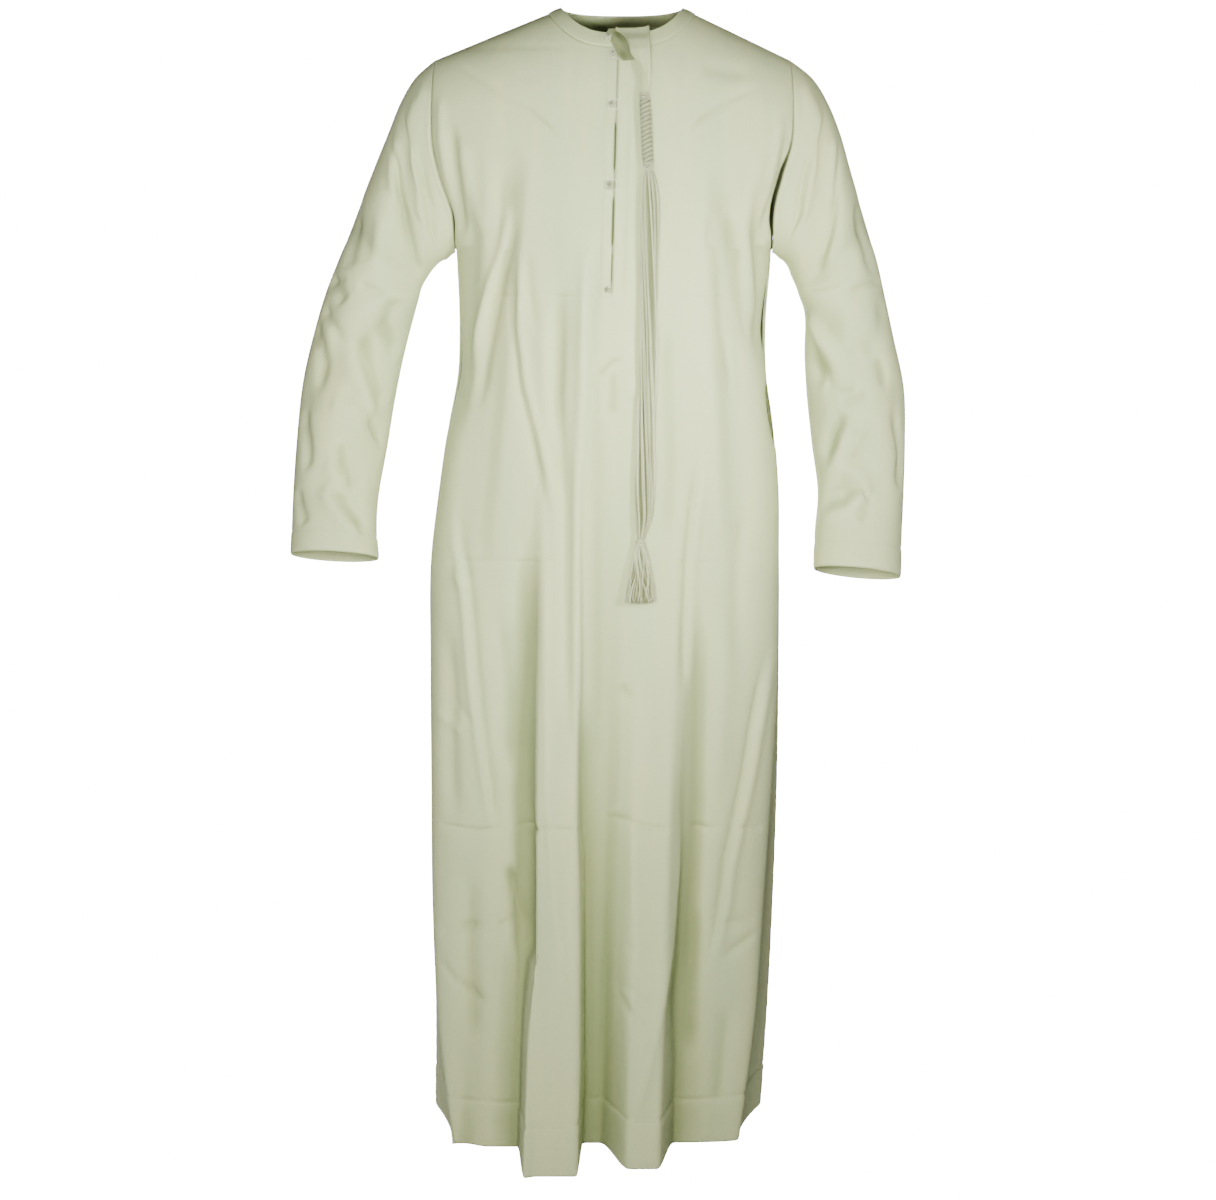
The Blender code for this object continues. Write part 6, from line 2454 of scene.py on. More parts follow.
    def build(self) -> None:
        """Makes every button and loop."""
        for button in BUTTONS:
            x = float(self.front.form.slit_x(np.array(button.z))) + button.beside
            seat, out = self.front.seat(x, button.z)
            self.place(button.name, seat, out, button.radius)
            if button.name != "button_4":
                self.loop(button, out)
        last = len(self.band.seam) - self.neck_stations
        seat = (self.band.seam[last] + self.band.edge[last]) / 2 + self.band.out[last] * self.neck_lift
        self.place("button_neck", seat, self.band.out[last], self.neck_size)
        log.info("buttons: %d", len(BUTTONS) + 1)


@dataclass
class Backings:
    """The cloth seen through the openings, the strip behind the slit and the pocket's facing, both darkened
    with painted shade.
    """

    front: FrontPanel
    painted_shade_cloth: bpy.types.Material
    behind: float = 0.0023
    underlap_span: tuple[float, float] = (-0.0555, -0.362)
    underlap_half: float = 0.0158
    pocket_span: tuple[float, float] = (-0.430, -0.548)
    mouth: tuple[float, float] = (-0.441, 0.096)
    mouth_dip: float = 0.0007
    facing_shade: float = 0.8

    def underlap(self) -> bpy.types.Object:
        """Makes the strip behind the slit."""
        form = self.front.form
        z = np.linspace(*self.underlap_span, 150)
        offsets = np.linspace(-self.underlap_half, self.underlap_half, 17)
        x = form.slit_x(z)[:, None] + offsets[None, :]
        points = form.front(x, np.repeat(z[:, None], len(offsets), axis=1))
        points = points - normals_of(points) * self.behind
        # painted shade: darker where the slit gapes, lighter where it is shut
        open_share = ramp(self.front.gap(z), 0.0006, 0.0016)
        shade = np.repeat(2.0 * open_share[:, None] - 1.0, points.shape[1], axis=1)
        sheet = ClothSheet("placket_underlap_cloth", points, thickness=0.0012, hollows=shade)
        piece = Bench.finish(sheet.build(), self.painted_shade_cloth)
        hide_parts("placket_underlap")
        return piece

    def pocket(self) -> bpy.types.Object:
        """Makes the pocket's facing, which sinks in behind the mouth."""
        form = self.front.form
        z = np.linspace(*self.pocket_span, 60)
        columns = []
        right = form.body.at(z, "seam_right")
        left = form.body.at(z, "seam_left")
        for share in np.linspace(0.986, 1.0, 10):
            x = (left + right) / 2 + (right - left) / 2 * share
            columns.append(form.front(x, z))
        for turn in np.linspace(0.995, 0.955, 8):
            columns.append(form.back(np.full(z.shape, turn), z))
        points = np.stack(columns, axis=1)
        top, height = self.mouth
        mouth = np.sin(np.pi * np.clip((top - z) / height, 0, 1))[:, None]
        seam = bell(np.arange(points.shape[1]) - 8, 4.0)[None, :]
        depth = self.behind - self.mouth_dip * mouth * seam
        points = points - normals_of(points) * depth[..., None]
        # painted shade over the whole facing
        shade = np.full(points.shape[:2], self.facing_shade)
        sheet = ClothSheet("pocket_facing_cloth", points, thickness=0.0012, hollows=shade)
        piece = Bench.finish(sheet.build(), self.painted_shade_cloth)
        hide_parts("pocket_facing")
        return piece

    def build(self) -> list[bpy.types.Object]:
        """Makes both backings."""
        return [self.underlap(), self.pocket()]


@dataclass
class SeamAllowances:
    """The bound seam edges inside the robe, which back the side, armhole, shoulder and neck seams."""

    front: FrontPanel
    back: BackPanel
    sleeves: Sequence[Sleeve]
    band: NeckBand
    cloth: bpy.types.Material
    half_width: float = 0.0042
    half_depth: float = 0.0009
    wall: float = 0.0024

    def strip(self, path: Array, across: Array, inward: Array, shift: float = 0.0) -> Array:
        """One flat seam edge.

        Args:
            path: Points of the seam.
            across: Directions over the cloth, away from the seam.
            inward: Directions into the robe.
            shift: How far the strip lies to one side of the seam.

        Returns:
            Its rings.
        """
        turn = 2 * np.pi * np.arange(8) / 8
        centre = path + inward * self.wall + across * shift
        wide = self.half_width * np.cos(turn)[None, :, None] * across[:, None, :]
        deep = self.half_depth * np.sin(turn)[None, :, None] * inward[:, None, :]
        return centre[:, None, :] + wide + deep

    def build(self) -> bpy.types.Object:
        """Makes all the seam edges as one piece."""
        loops = []
        normals = normals_of(self.back.points)
        below = self.back.points[:, 0, 2] < self.front.form.armpit_z + 0.004
        for edge, beside in ((0, 3), (-1, -4)):
            path, away = self.back.points[below, edge], self.back.points[below, beside]
            rings = self.strip(path, unit(away - path), -normals[below, beside], 0.0012)
            shut = (path[:, 2] > self.front.pocket[1] + 0.004) | (path[:, 2] < self.front.pocket[0] - 0.004)
            if edge == 0:
                split = int(np.argmin(shut))
                resume = split + int(np.argmax(shut[split:]))
                loops += [rings[:split], rings[resume:]]
            else:
                loops.append(rings)
        for sleeve in self.sleeves:
            path = np.concatenate([sleeve.points[0], sleeve.points[0][:1]])
            middle = path[:-1].mean(axis=0)
            inward = unit(middle - path)
            along = unit(np.gradient(path, axis=0))
            side = unit(np.cross(along, inward))
            inside = path + inward * (self.half_width + 0.0009) - side * self.wall
            loops.append(self.strip(inside, inward, side))
        points, normals = self.front.points, normals_of(self.front.points)
        outside = np.abs(points[0, :, 0] - self.front.form.neck_x) > self.front.form.seam_radius
        for chosen in (outside & (points[0, :, 0] < 0), outside & (points[0, :, 0] > 0)):
            path, away = points[0, chosen], points[4, chosen]
            loops.append(self.strip(path, unit(away - path), -normals[4, chosen], 0.0030))
        seam, edge = self.band.seam, self.band.edge
        loops.append(self.strip(seam, unit(seam - edge), -self.band.out, 0.0012))
        piece = TubeWork.build("seam_allowances", loops)
        Bench.finish(piece, self.cloth)
        log.info("seam edges: %d", len(loops))
        return piece


@dataclass
class Stitching:
    """Rows of small stitches along hems, slit and cuffs, and across the slit's foot."""

    front: FrontPanel
    back: BackPanel
    sleeves: Sequence[Sleeve]
    thread: bpy.types.Material
    length: float = 0.0024
    pitch: float = 0.0036
    radius: float = 0.00022
    hem_rise: float = 0.0585
    cuff_rise: float = 0.0285
    slit_offsets: tuple[float, ...] = (-0.0118, 0.0142)
    slit_span: tuple[float, float, float] = (-0.066, -0.352, -0.003)
    bar_heights: tuple[float, ...] = (-0.3535, -0.3580)
    bar_span: tuple[float, float, float] = (-0.0135, 0.0132, 0.002)

    def dashes(self, path: Array, normals: Array) -> list[Array]:
        """Stitches along a line on the cloth.

        Args:
            path: Points of the line.
            normals: The cloth's outward directions there.

        Returns:
            The stitches' rings.
        """
        run = run_of(path)
        loops = []
        for start in np.arange(0.002, run[-1] - self.length, self.pitch):
            where = np.array([start, start + self.length * 0.5, start + self.length])
            points = np.stack([np.interp(where, run, path[:, axis]) for axis in range(3)], axis=-1)
            out = np.stack([np.interp(where, run, normals[:, axis]) for axis in range(3)], axis=-1)
            points = points + out * np.array([0.0000, 0.00016, 0.0000])[:, None]
            loops.append(TubeWork.rings(points, self.radius * np.array([0.7, 1.0, 0.7]), 4, out[1] + 0.01))
        return loops

    def build(self) -> bpy.types.Object:
        """Makes all the stitches as one piece."""
        loops: list[Array] = []
        for points in (self.front.points, self.back.points):
            normals = normals_of(points)
            down = np.linalg.norm(np.diff(points, axis=0), axis=-1)
            rise = np.concatenate([np.cumsum(down[::-1], axis=0)[::-1], np.zeros((1, points.shape[1]))])
            path, outs = [], []
            for column in range(2, points.shape[1] - 2):
                row = int(np.argmin(np.abs(rise[:, column] - self.hem_rise)))
                path.append(points[row, column])
                outs.append(normals[row, column])
            loops += self.dashes(self.smooth(np.array(path)), np.array(outs))
        for sleeve in self.sleeves:
            points = np.concatenate([sleeve.points, sleeve.points[:, :1]], axis=1)
            normals = normals_of(points) * -sleeve.outward
            row = len(points) - 1 - int(round(self.cuff_rise / sleeve.length * sleeve.levels))
            loops += self.dashes(points[row], normals[row])
        slit_x = self.front.form.slit_x
        for offset in self.slit_offsets:
            heights = np.arange(*self.slit_span)
            loops += self.along([(float(slit_x(np.array(z))) + offset, float(z)) for z in heights])
        for z in self.bar_heights:
            loops += self.along([(float(x), z) for x in np.arange(*self.bar_span)])
        piece = TubeWork.build("stitches", loops)
        Bench.finish(piece, self.thread)
        log.info("stitches: %d", len(loops))
        return piece

    def along(self, places: Sequence[tuple[float, float]]) -> list[Array]:
        """Stitches along these places on the front panel, each across and up."""
        seats, outs = zip(*[self.front.seat(x, z) for x, z in places])
        return self.dashes(np.array(seats), np.array(outs))

    @staticmethod
    def smooth(path: Array) -> Array:
        """Evens out the small steps of a line read from grid rows.

        Args:
            path: The line's points.

        Returns:
            As many points, moved.
        """
        kernel = np.array([1, 2, 3, 2, 1]) / 9
        padded = np.pad(path, ((2, 2), (0, 0)), mode="edge")
        return np.stack([np.convolve(padded[:, axis], kernel, mode="valid") for axis in range(3)], axis=-1)


class Lamp(NamedTuple):
    """A round soft light: its place, what it points at, its width, its spread in degrees, its watts."""

    name: str
    place: tuple[float, float, float]
    aim: tuple[float, float, float]
    size: float
    spread: float
    power: float


LAMPS = (
    Lamp("key", (-0.10, -1.68, -0.38), (-0.01, 0.0, -0.42), 0.34, 122.0, 19.0),
    Lamp("side", (0.95, -1.55, -0.20), (0.00, 0.0, -0.40), 0.14, 40.0, 2.1),
    Lamp("fill", (-1.6, -2.2, 0.1), (-0.1, 0.0, -0.20), 1.0, 70.0, 2.0),
    Lamp("low", (0.05, -1.90, -1.05), (-0.03, 0.0, -0.84), 0.30, 50.0, 0.8),
    Lamp("back", (-0.7, 2.8, 0.0), (0.0, 0.0, -0.5), 1.5, 180.0, 165.0),
)


@dataclass
class Studio:
    """A plain pale floor, soft lights and the camera."""

    floor_z: float = -1.452
    floor_reach: float = 60.0
    ambient: float = 0.07
    white: float = 22.0
    floor_share: float = 0.90
    sky_share: float = 0.905
    grey: tuple[float, ...] = (0.55, 0.55, 0.55, 1.0)
    plain: tuple[float, ...] = (1.0, 1.0, 1.0, 1.0)
    eye: tuple[float, ...] = (-0.005, -3.30, -0.285)
    tilt: float = 7.6
    lens: float = 78.75

    def floor(self) -> None:
        """Lays the floor."""
        Bench.clear()
        bpy.ops.mesh.primitive_plane_add(size=self.floor_reach, location=(0, 0, self.floor_z))
        piece = bpy.context.object
        piece.name = "floor"
        bpy.ops.object.transform_apply(location=True, rotation=True, scale=True)
        material = bpy.data.materials.new("floor_paint")
        material.use_nodes = True
        nodes = Nodes(material.node_tree)
        paint = nodes.tree.nodes["Principled BSDF"]
        nodes.feed(paint, {"Base Color": self.grey, "Roughness": 0.9})
        glow = nodes.add("Emission", {"Strength": self.white})
        seen = nodes.add("LightPath", {}).outputs["Is Camera Ray"]
        share = nodes.add("Math", {0: seen, 1: self.floor_share}, operation="MULTIPLY")
        mixed = nodes.add("MixShader", {0: share.outputs[0], 1: paint.outputs[0], 2: glow.outputs[0]})
        nodes.feed(nodes.tree.nodes["Material Output"], {"Surface": mixed.outputs[0]})
        piece.data.materials.append(material)

    def lights(self) -> None:
        """Hangs the lights and sets a white surround that lights the robe only a little."""
        world = bpy.data.worlds.new("studio")
        world.use_nodes = True
        nodes = Nodes(world.node_tree)
        sky = nodes.tree.nodes["Background"]
        nodes.feed(sky, {"Color": self.plain, "Strength": self.ambient})
        bright = nodes.add("Background", {"Color": self.plain, "Strength": self.white * self.sky_share})
        seen = nodes.add("LightPath", {}).outputs["Is Camera Ray"]
        mixed = nodes.add("MixShader", {0: seen, 1: sky.outputs[0], 2: bright.outputs[0]})
        nodes.feed(nodes.tree.nodes["World Output"], {"Surface": mixed.outputs[0]})
        bpy.context.scene.world = world
        for lamp in LAMPS:
            light = bpy.data.lights.new(lamp.name, "AREA")
            light.shape = "DISK"
            light.size = lamp.size
            light.energy = lamp.power
            light.spread = math.radians(lamp.spread)
            holder = bpy.data.objects.new(lamp.name, light)
            holder.location = lamp.place
            way = Vector(lamp.aim) - Vector(lamp.place)
            holder.rotation_euler = way.to_track_quat("-Z", "Y").to_euler()
            holder.visible_camera = False
            bpy.context.scene.collection.objects.link(holder)

    def camera(self) -> None:
        """Sets up the camera."""
        data = bpy.data.cameras.new("view")
        data.lens = self.lens
        data.sensor_width = 36.0
        data.sensor_fit = "HORIZONTAL"
        data.dof.use_dof = False
        holder = bpy.data.objects.new("view", data)
        holder.location = self.eye
        holder.rotation_euler = (math.radians(90 - self.tilt), 0.0, 0.0)
        bpy.context.scene.collection.objects.link(holder)
        bpy.context.scene.camera = holder

    def build(self) -> None:
        """Sets up the studio."""
        self.floor()
        self.lights()
        self.camera()


FRONT_CREASES = creases(
    # the chest: two pressed lines in a V, the shoulders and the armholes
    (PRESSED, 3, -4, -190, -65, -135, -105, -100, -125, -55, -165),
    (PRESSED, 3, -4, 172, -98, 135, -116, 88, -152),
    (PRESSED, 3, -1.5, -190, -50, -110, -50, -45, -52),
    (PRESSED, 3, -1.5, -115, -88, -78, -90),
    (PRESSED, 3, -1, -80, -35, -88, -45),
    (SOFT, 9, -3, 105, -75, 135, -80, 165, -82),
    (SOFT, 5, 4, -205, -105, -204, -160, -196, -215),
    (SOFT, 6, -7, -192, -140, -187, -210, -183, -280),
    (SOFT, 6, -6, 212, -145, 205, -195, 192, -245, 186, -285),
    (SOFT, 5, 3, 201, -130, 198, -170, 188, -215),
    (SOFT, 9, 4, -180, -160, -170, -220, -160, -275),
    (SOFT, 9, 4, 178, -175, 167, -235, 158, -280),
    (SOFT, 16, -6, 162, -170, 176, -260, 182, -360, 188, -450),
    # the wearer's right of the body, from the armhole to the hip
    (SOFT, 6, 6, -120, -235, -130, -290, -148, -335, -163, -385, -173, -430),
    (SOFT, 8, -5.5, -112, -250, -130, -305, -140, -360, -150, -410, -165, -490),
    (SOFT, 14, -7, -168, -175, -168, -255, -175, -350, -183, -450, -195, -530),
    (PRESSED, 4, -4.5, -118, -280, -120, -380, -112, -450, -95, -515, -85, -560, -78, -615),
    (SOFT, 5, 3.5, -109, -285, -111, -380, -103, -450, -86, -515, -76, -560, -69, -615),
    (SOFT, 6, -2.5, -105, -290, -98, -345, -88, -395),
    # the middle of the body
    (SOFT, 8, 6, -20, -250, -30, -300, -34, -370, -36, -470, -42, -590, -44, -750, -42, -900),
    (SOFT, 11, -6.5, -50, -280, -60, -350, -66, -470, -56, -590, -56, -750, -56, -920),
    (SOFT, 10, 3, -82, -360, -77, -460, -68, -550),
    (PRESSED, 3, -3, -18, -440, 0, -422, 16, -418),
    (SOFT, 9, 3.5, 20, -440, 22, -465),
    (SOFT, 7, -2.5, 0, -430, 0, -490),
    (SOFT, 14, -4.5, 70, -350, 68, -445, 72, -540, 68, -660),
    (SOFT, 12, 3.5, 110, -385, 121, -490, 126, -615),
    # the wearer's left of the body
    (SOFT, 6, -3, 117, -250, 115, -290),
    (PRESSED, 4, -3, 125, -280, 130, -385, 145, -465),
    (SOFT, 9, -6.5, 136, -240, 146, -290, 158, -350, 170, -415),
    (SOFT, 7, 3.5, 146, -235, 163, -285, 177, -340, 183, -390),
    (SOFT, 8, -5, 179, -245, 183, -340, 182, -420),
    (PRESSED, 4, -4, 105, -515, 96, -590, 89, -660, 86, -760, 85, -835),
    (SOFT, 5, 4, 114, -515, 105, -590, 98, -660, 95, -760, 94, -835),
    (SOFT, 10, -4, 158, -590, 153, -690, 151, -790),
    (SOFT, 14, 4, 138, -715, 134, -835, 123, -960),
    # the wavy line over the wearer's right thigh, with its creases
    (PRESSED, 4, -5, -186, -600, -184, -645, -177, -680, -171, -730, -167, -790, -160, -860, -151, -920,
     -138, -1010),
    (SOFT, 5, 3.5, -195, -600, -193, -645, -186, -680, -180, -730, -176, -790, -169, -860, -160, -920,
     -147, -1010),
    (PRESSED, 3, 3.5, -195, -682, -184, -692, -174, -702),
    (PRESSED, 3.5, 3.5, -220, -855, -203, -868, -184, -882),
    (PRESSED, 3, -2.5, -198, -835, -168, -872),
    (SOFT, 10, -5, -205, -740, -198, -820, -200, -915, -195, -1000),
    (SOFT, 13, -5.5, -136, -715, -131, -810, -128, -930),
    # the long slanting line over the wearer's left thigh
    (PRESSED, 4.5, -5.5, 193, -765, 180, -830, 171, -880, 162, -935, 148, -1000, 139, -1040, 133, -1090,
     126, -1130, 112, -1185),
    (SOFT, 6, 4, 203, -768, 190, -833, 181, -883, 172, -938, 158, -1003, 149, -1043, 143, -1093,
     136, -1133, 122, -1188),
    (PRESSED, 3, -2, 190, -650, 168, -648),
    # the lines where the cloth lay folded: knee, chest and hip
    (PRESSED, 2.6, -4, -218, -998, -165, -1000, -138, -994),
    (PRESSED, 2.6, -3.5, -125, -994, -80, -986, -37, -990),
    (PRESSED, 2.6, -4, -10, -974, 10, -976, 40, -987, 78, -992),
    (PRESSED, 2.6, -3, 96, -992, 133, -997),
    (PRESSED, 2.6, -3.5, 155, -996, 188, -1003),
    (PRESSED, 2.6, -1.5, -172, -345, -95, -343, -18, -345),
    (PRESSED, 2.6, -1.5, 58, -345, 172, -346),
    (PRESSED, 2.6, -1.5, -210, -667, -135, -664, -63, -661),
    (PRESSED, 2.6, -1.5, 64, -661, 130, -665, 193, -668),
    # the two deep folds of the skirt, with the valleys beside them
    (PRESSED, 5, 5, -78, -615, -80, -735, -80, -845, -78, -965, -74, -1020, -68, -1095, -60, -1175,
     -57, -1225),
    (SOFT, 15, -10, -102, -615, -107, -710, -112, -835, -112, -955, -107, -1050, -98, -1155, -92, -1260),
    (SOFT, 8, -8, -130, -1035, -120, -1085, -110, -1160),
    (PRESSED, 4, -5, -128, -1045, -120, -1090, -110, -1130),
    (PRESSED, 4.5, 4.5, -36, -960, -40, -1110, -40, -1260, -38, -1335, -38, -1385),
    (PRESSED, 4, 3, -87, -1315, -79, -1335, -66, -1395),
    (PRESSED, 5, 3, 24, -955, 27, -1075, 34, -1180),
    (PRESSED, 5, 5, 83, -960, 79, -1050, 71, -1140, 62, -1195, 50, -1260, 36, -1315, 24, -1345, 18, -1390),
    (SOFT, 14, -9, 106, -700, 107, -830, 106, -960, 102, -1055, 96, -1150, 86, -1210, 78, -1290),
    # small wrinkles low on the skirt
    (PRESSED, 3.5, -4, 15, -1180, 50, -1208),
    (PRESSED, 3.5, -4, 5, -1195, 25, -1217, 45, -1242),
    (PRESSED, 3, -3, 16, -1135, 30, -1138),
    (PRESSED, 3.5, -3, 10, -810, 26, -832),
    (PRESSED, 4, -4.5, -218, -1140, -190, -1126, -160, -1115),
    (PRESSED, 4, -4.5, -218, -1165, -200, -1190, -150, -1220),
    (PRESSED, 3.5, -3, -145, -1118, -120, -1105),
    (PRESSED, 4, -4.5, 138, -1162, 160, -1148, 181, -1136),
    (PRESSED, 3.5, -3.5, 134, -1117, 181, -1117),
    (SOFT, 11, -5, 108, -1090, 103, -1190, 97, -1290),
    (SOFT, 11, -5, -176, -1050, -179, -1165, -170, -1280),
    (SOFT, 10, -4.5, 144, -1220, 138, -1295, 130, -1360),
)

BACK_CREASES = creases(
    (PRESSED, 3.5, -2.1, -150, -105, -110, -135, -60, -150),
    (PRESSED, 3.5, -2.3, 155, -100, 118, -128, 70, -158),
    (PRESSED, 3, -1.1, -165, -52, -100, -55, -48, -52),
    (PRESSED, 3, -1.1, 52, -54, 110, -50, 168, -55),
    (SOFT, 7, -5.3, -196, -120, -188, -190, -180, -270),
    (SOFT, 7, -4.9, 198, -115, 190, -185, 183, -275),
    (SOFT, 9, 3.8, -168, -150, -158, -220, -160, -300),
    (SOFT, 9, 3.4, 172, -140, 160, -205, 158, -310),
    (SOFT, 12, -5.7, -120, -170, -108, -260, -112, -380, -126, -480),
    (SOFT, 12, -5.3, 112, -160, 102, -250, 106, -360, 122, -470),
    (SOFT, 10, 4.2, -70, -200, -60, -320, -66, -430),
    (SOFT, 10, 3.8, 64, -190, 52, -310, 58, -450),
    (SOFT, 8, -3.4, -22, -240, -14, -330, -18, -400),
    (SOFT, 6, 2.7, 20, -260, 24, -370, 16, -460),
    (PRESSED, 5, -3, -150, -330, -110, -342, -62, -335),
    (PRESSED, 5, -3, 150, -345, 112, -338, 70, -350),
    (SOFT, 6, -3.4, -170, -400, -140, -420, -96, -418),
    (SOFT, 6, -3.4, 172, -410, 146, -428, 104, -424),
    (PRESSED, 2.6, -1.7, -172, -352, -90, -350, -10, -353),
    (PRESSED, 2.6, -1.7, 20, -352, 90, -354, 170, -351),
    (PRESSED, 2.6, -2.3, -186, -678, -100, -680, -20, -677),
    (PRESSED, 2.6, -2.3, 10, -680, 100, -677, 184, -680),
    (PRESSED, 2.6, -3.2, -190, -1002, -120, -1006, -60, -1003),
    (PRESSED, 2.6, -2.8, -40, -1006, 30, -1003, 80, -1006),
    (PRESSED, 2.6, -3.2, 96, -1002, 140, -1006, 188, -1003),
    (PRESSED, 4.5, -4.2, -150, -560, -140, -640, -146, -740, -156, -880),
    (PRESSED, 4.5, -4.2, 152, -540, 146, -650, 138, -760, 146, -900),
    (SOFT, 10, 4.2, -168, -620, -164, -740, -172, -860),
    (SOFT, 10, 4.2, 172, -600, 166, -720, 172, -840),
    (SOFT, 11, -5.7, -86, -560, -74, -700, -70, -860),
    (SOFT, 11, -5.7, 70, -580, 60, -720, 64, -880),
    (SOFT, 8, 4.2, -40, -600, -34, -760, -46, -940),
    (SOFT, 9, 4.2, 36, -640, 40, -800, 48, -960),
    (PRESSED, 4, -3.8, -110, -900, -90, -960, -60, -985),
    (PRESSED, 4, -3.4, 120, -880, 98, -930, 84, -990),
    (PRESSED, 4, -3.6, -180, -1080, -150, -1110, -110, -1125),
    (PRESSED, 4, -3.6, 186, -1070, 160, -1100, 118, -1092),
    (SOFT, 8, -5.7, -52, -1060, -34, -1130, -40, -1220),
    (SOFT, 8, -5.7, 60, -1050, 72, -1140, 66, -1240),
    (PRESSED, 4, -3.4, -16, -1090, 4, -1115, 22, -1150),
    (SOFT, 9, -4.2, -140, -1180, -128, -1260, -134, -1340),
    (SOFT, 9, -4.2, 150, -1160, 142, -1240, 150, -1330),
)

RIGHT_SLEEVE_CREASES = creases(
    (SOFT, 9, 4, 40, 100, 75, 160),
    (SOFT, 9, -7.5, 25, 108, 67, 124, 93, 147, 127, 210, 158, 270),
    (SOFT, 10, -5.5, 80, 20, 108, 45, 136, 130),
    (SOFT, 8, 4, 70, 50, 100, 70, 116, 126),
    (SOFT, 11, 3, 41, 5, 50, 25, 56, 68),
    (SOFT, 12, -4, 15, 228, 36, 265, 55, 300),
    (SOFT, 11, 4.5, 72, 190, 78, 250, 88, 296),
    (PRESSED, 4, -5.5, 75, 315, 95, 318, 114, 324),
    (PRESSED, 3, -3, 12, 318, 55, 315),
    (SOFT, 9, -6, 15, 316, 49, 330, 66, 343),
    (PRESSED, 6, -7, 26, 350, 59, 367, 80, 387),
    (SOFT, 9, -6, 10, 367, 44, 387, 56, 407, 55, 434),
    (STEP, 11, 6.5, 87, 378, 108, 404, 130, 431, 148, 447),
    (SOFT, 13, -7.5, 124, 320, 127, 361, 158, 391),
    (PRESSED, 6, -7, 91, 421, 117, 442, 170, 475),
    (PRESSED, 5, 4, 75, 442, 118, 446),
    (SOFT, 9, -6, 93, 472, 105, 495, 123, 516),
    (PRESSED, 6, 4.5, 77, 492, 92, 505, 114, 505),
    (STEP, 11, 6.5, 95, 508, 95, 525, 117, 552, 140, 573),
    (SOFT, 9, -6, 28, 448, 47, 478, 54, 502),
    (SOFT, 10, -4.5, 30, 518, 54, 566),
    (SOFT, 10, -6, -30, 120, -52, 160, -60, 205),
    (SOFT, 10, -6, -110, 70, -92, 120, -80, 170),
    (PRESSED, 4.5, -4.5, -20, 268, -50, 262, -85, 270),
    (SOFT, 8, -6, -40, 292, -75, 300, -115, 288),
    (PRESSED, 6.5, -6, -60, 330, -90, 345, -130, 338),
    (SOFT, 8, 5, -30, 372, -62, 380, -88, 410),
    (PRESSED, 6.5, -5.5, -70, 440, -98, 428, -125, 432),
    (SOFT, 10, -5, -24, 470, -48, 490, -60, 530),
    (SOFT, 8, 4, -100, 490, -80, 520),
    (SOFT, 12, 4, -140, 180, -128, 240),
)

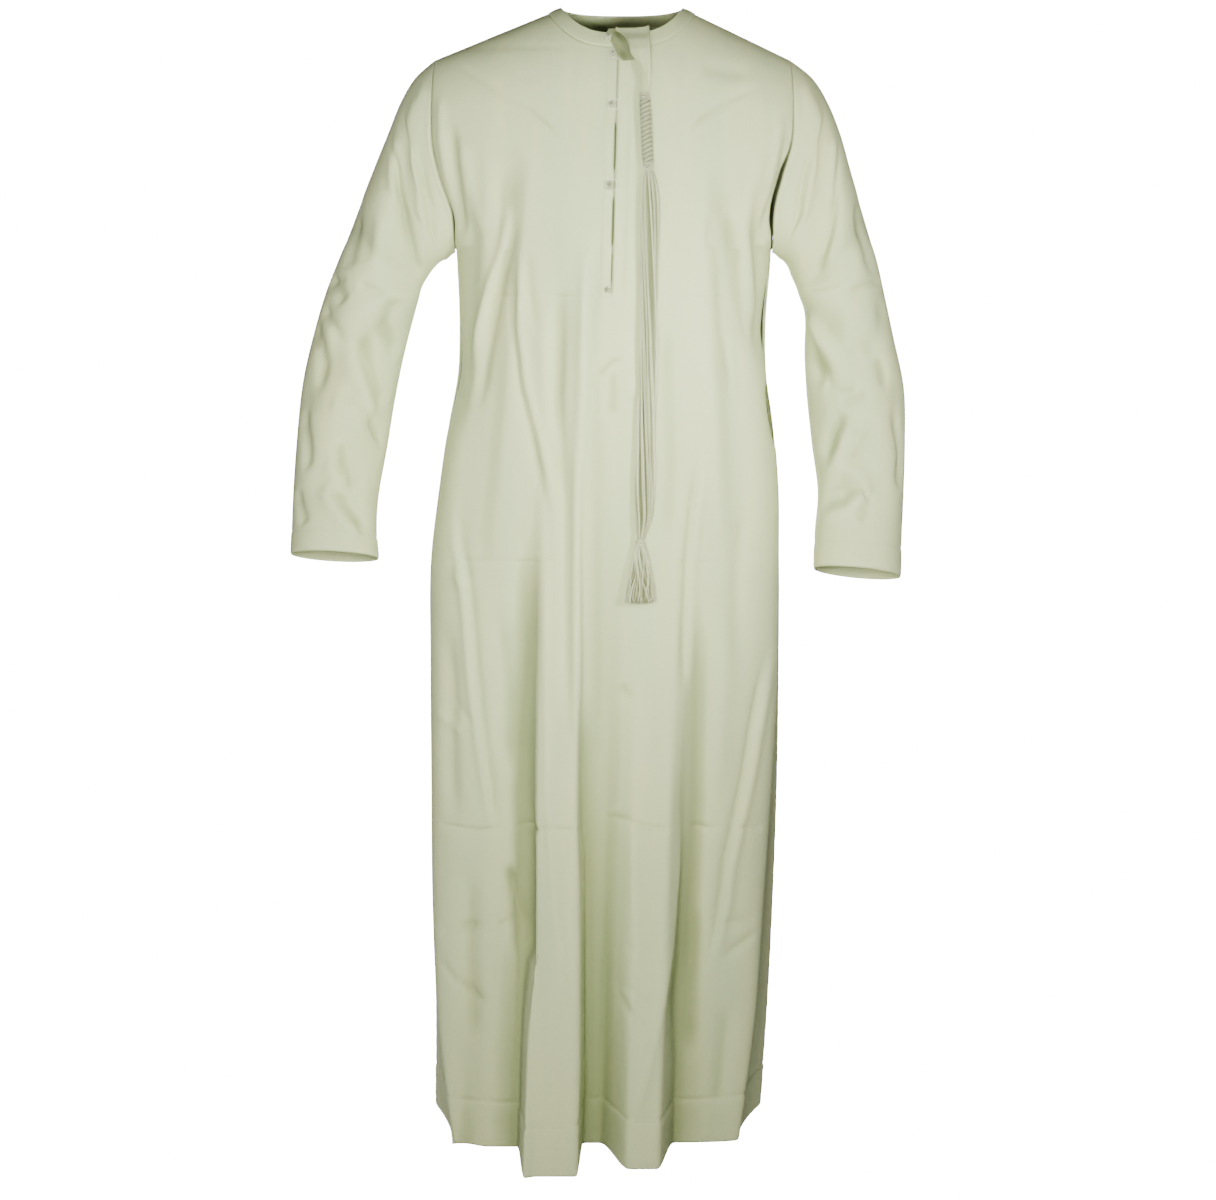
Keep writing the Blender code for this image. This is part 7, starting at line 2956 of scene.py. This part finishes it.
LEFT_SLEEVE_CREASES = creases(
    (SOFT, 9, 4.5, 44, 100, 66, 170),
    (SOFT, 9, -7.5, 37, 108, 71, 172, 91, 207, 127, 277),
    (SOFT, 10, -5.5, 83, 25, 105, 58, 127, 108),
    (SOFT, 8, 3, 69, 48, 97, 82, 116, 130),
    (SOFT, 13, -5.5, 30, 200, 30, 258, 46, 312),
    (SOFT, 11, 3, 39, 10, 47, 30, 55, 68),
    (PRESSED, 3, -3, 143, 300, 93, 308),
    (PRESSED, 4.5, -6, 89, 325, 65, 319, 20, 318),
    (STEP, 10, 6.5, 152, 335, 165, 362, 128, 401, 116, 421),
    (SOFT, 11, -6, 165, 348, 155, 395, 140, 425),
    (SOFT, 13, -5, 30, 345, 52, 372, 82, 400),
    (SOFT, 13, 4, 88, 330, 98, 365, 102, 395),
    (PRESSED, 5, -6, 137, 421, 108, 428, 92, 424),
    (PRESSED, 5, -5.5, 119, 441, 92, 434, 80, 430),
    (STEP, 10, 6.5, 104, 454, 122, 470, 140, 496),
    (PRESSED, 6, -6, 71, 458, 100, 481, 128, 503),
    (STEP, 9, 6, 158, 510, 124, 503, 98, 516, 117, 533, 165, 540),
    (SOFT, 10, -5.5, 47, 444, 28, 483, 37, 515),
    (SOFT, 8, -4.5, 82, 533, 95, 552),
    (SOFT, 8, -4.5, 58, 398, 55, 428),
    (SOFT, 10, -6, -26, 110, -46, 158, -56, 215),
    (SOFT, 10, -6, -116, 80, -96, 126, -86, 186),
    (PRESSED, 4.5, -4.5, -16, 262, -56, 270, -92, 262),
    (SOFT, 8, -6, -36, 300, -70, 292, -108, 304),
    (PRESSED, 6.5, -6, -54, 340, -96, 334, -134, 350),
    (SOFT, 8, 5, -34, 366, -58, 392, -94, 400),
    (PRESSED, 6.5, -5.5, -64, 430, -90, 442, -128, 436),
    (SOFT, 10, -5, -28, 480, -44, 500, -66, 540),
    (SOFT, 8, 4, -104, 476, -86, 512),
    (SOFT, 12, 4, -138, 200, -124, 252),
)


def main() -> None:
    """Builds the dressed robe."""
    form = RobeForm()
    cloth = WovenCloth("robe_cloth", Tone.CLOTH).make()
    inside = WovenCloth("inside_cloth", Tone.INSIDE).make()
    # a dark tone of the cloth as painted shade, for the pocket's facing, the strip behind the slit and the
    # underside of the tab's turned edge
    painted_shade_cloth = WovenCloth("painted_shade", Tone.PAINTED_SHADE, sheen=0.0).make()
    # painted shade deep between the shank's plies
    shank_shade_tint = (0.16, 0.17, 0.12)
    plied = TwistedThread("shank_cord", Tone.THREAD, turns_per_metre=420.0, strands=9.0, buried_shade_tint=shank_shade_tint)
    cord = plied.make()
    thread = TwistedThread("skein_thread", Tone.THREAD, turns_per_metre=520.0, strands=2.0).make()
    sewing = TwistedThread("sewing_thread", Tone.SEWING, turns_per_metre=900.0, strands=2.0).make()
    knot = TwistedThread("knot_cord", Tone.KNOT, turns_per_metre=900.0, strands=3.0, bump=0.3).make()

    Studio().build()
    front = FrontPanel(form, cloth, FRONT_CREASES)
    front_piece = front.build()
    back = BackPanel(form, cloth, BACK_CREASES)
    back_piece = back.build()
    name, node = "sleeve_right_cloth", "sleeve_right"
    right = Sleeve(form, cloth, name, node, SLEEVE_RIGHT_RINGS, RIGHT_SLEEVE_CREASES)
    right_piece = right.build()
    name, node = "sleeve_left_cloth", "sleeve_left"
    left = Sleeve(form, cloth, name, node, SLEEVE_LEFT_RINGS, LEFT_SLEEVE_CREASES)
    left_piece = left.build()
    band = NeckBand(form, cloth)
    band_piece = band.build()
    tab = TasselTab(form, cloth, band, painted_shade_cloth)
    tab_piece, turned_piece = tab.build(), tab.turned_edge()
    Tassel(front, thread, cord).build()
    Buttons(front, band, knot).build()
    underlap_piece, facing_piece = Backings(front, painted_shade_cloth).build()
    allowances = SeamAllowances(front, back, (right, left), band, inside).build()
    stitches = Stitching(front, back, (right, left), sewing).build()


if __name__ == "__main__":
    main()
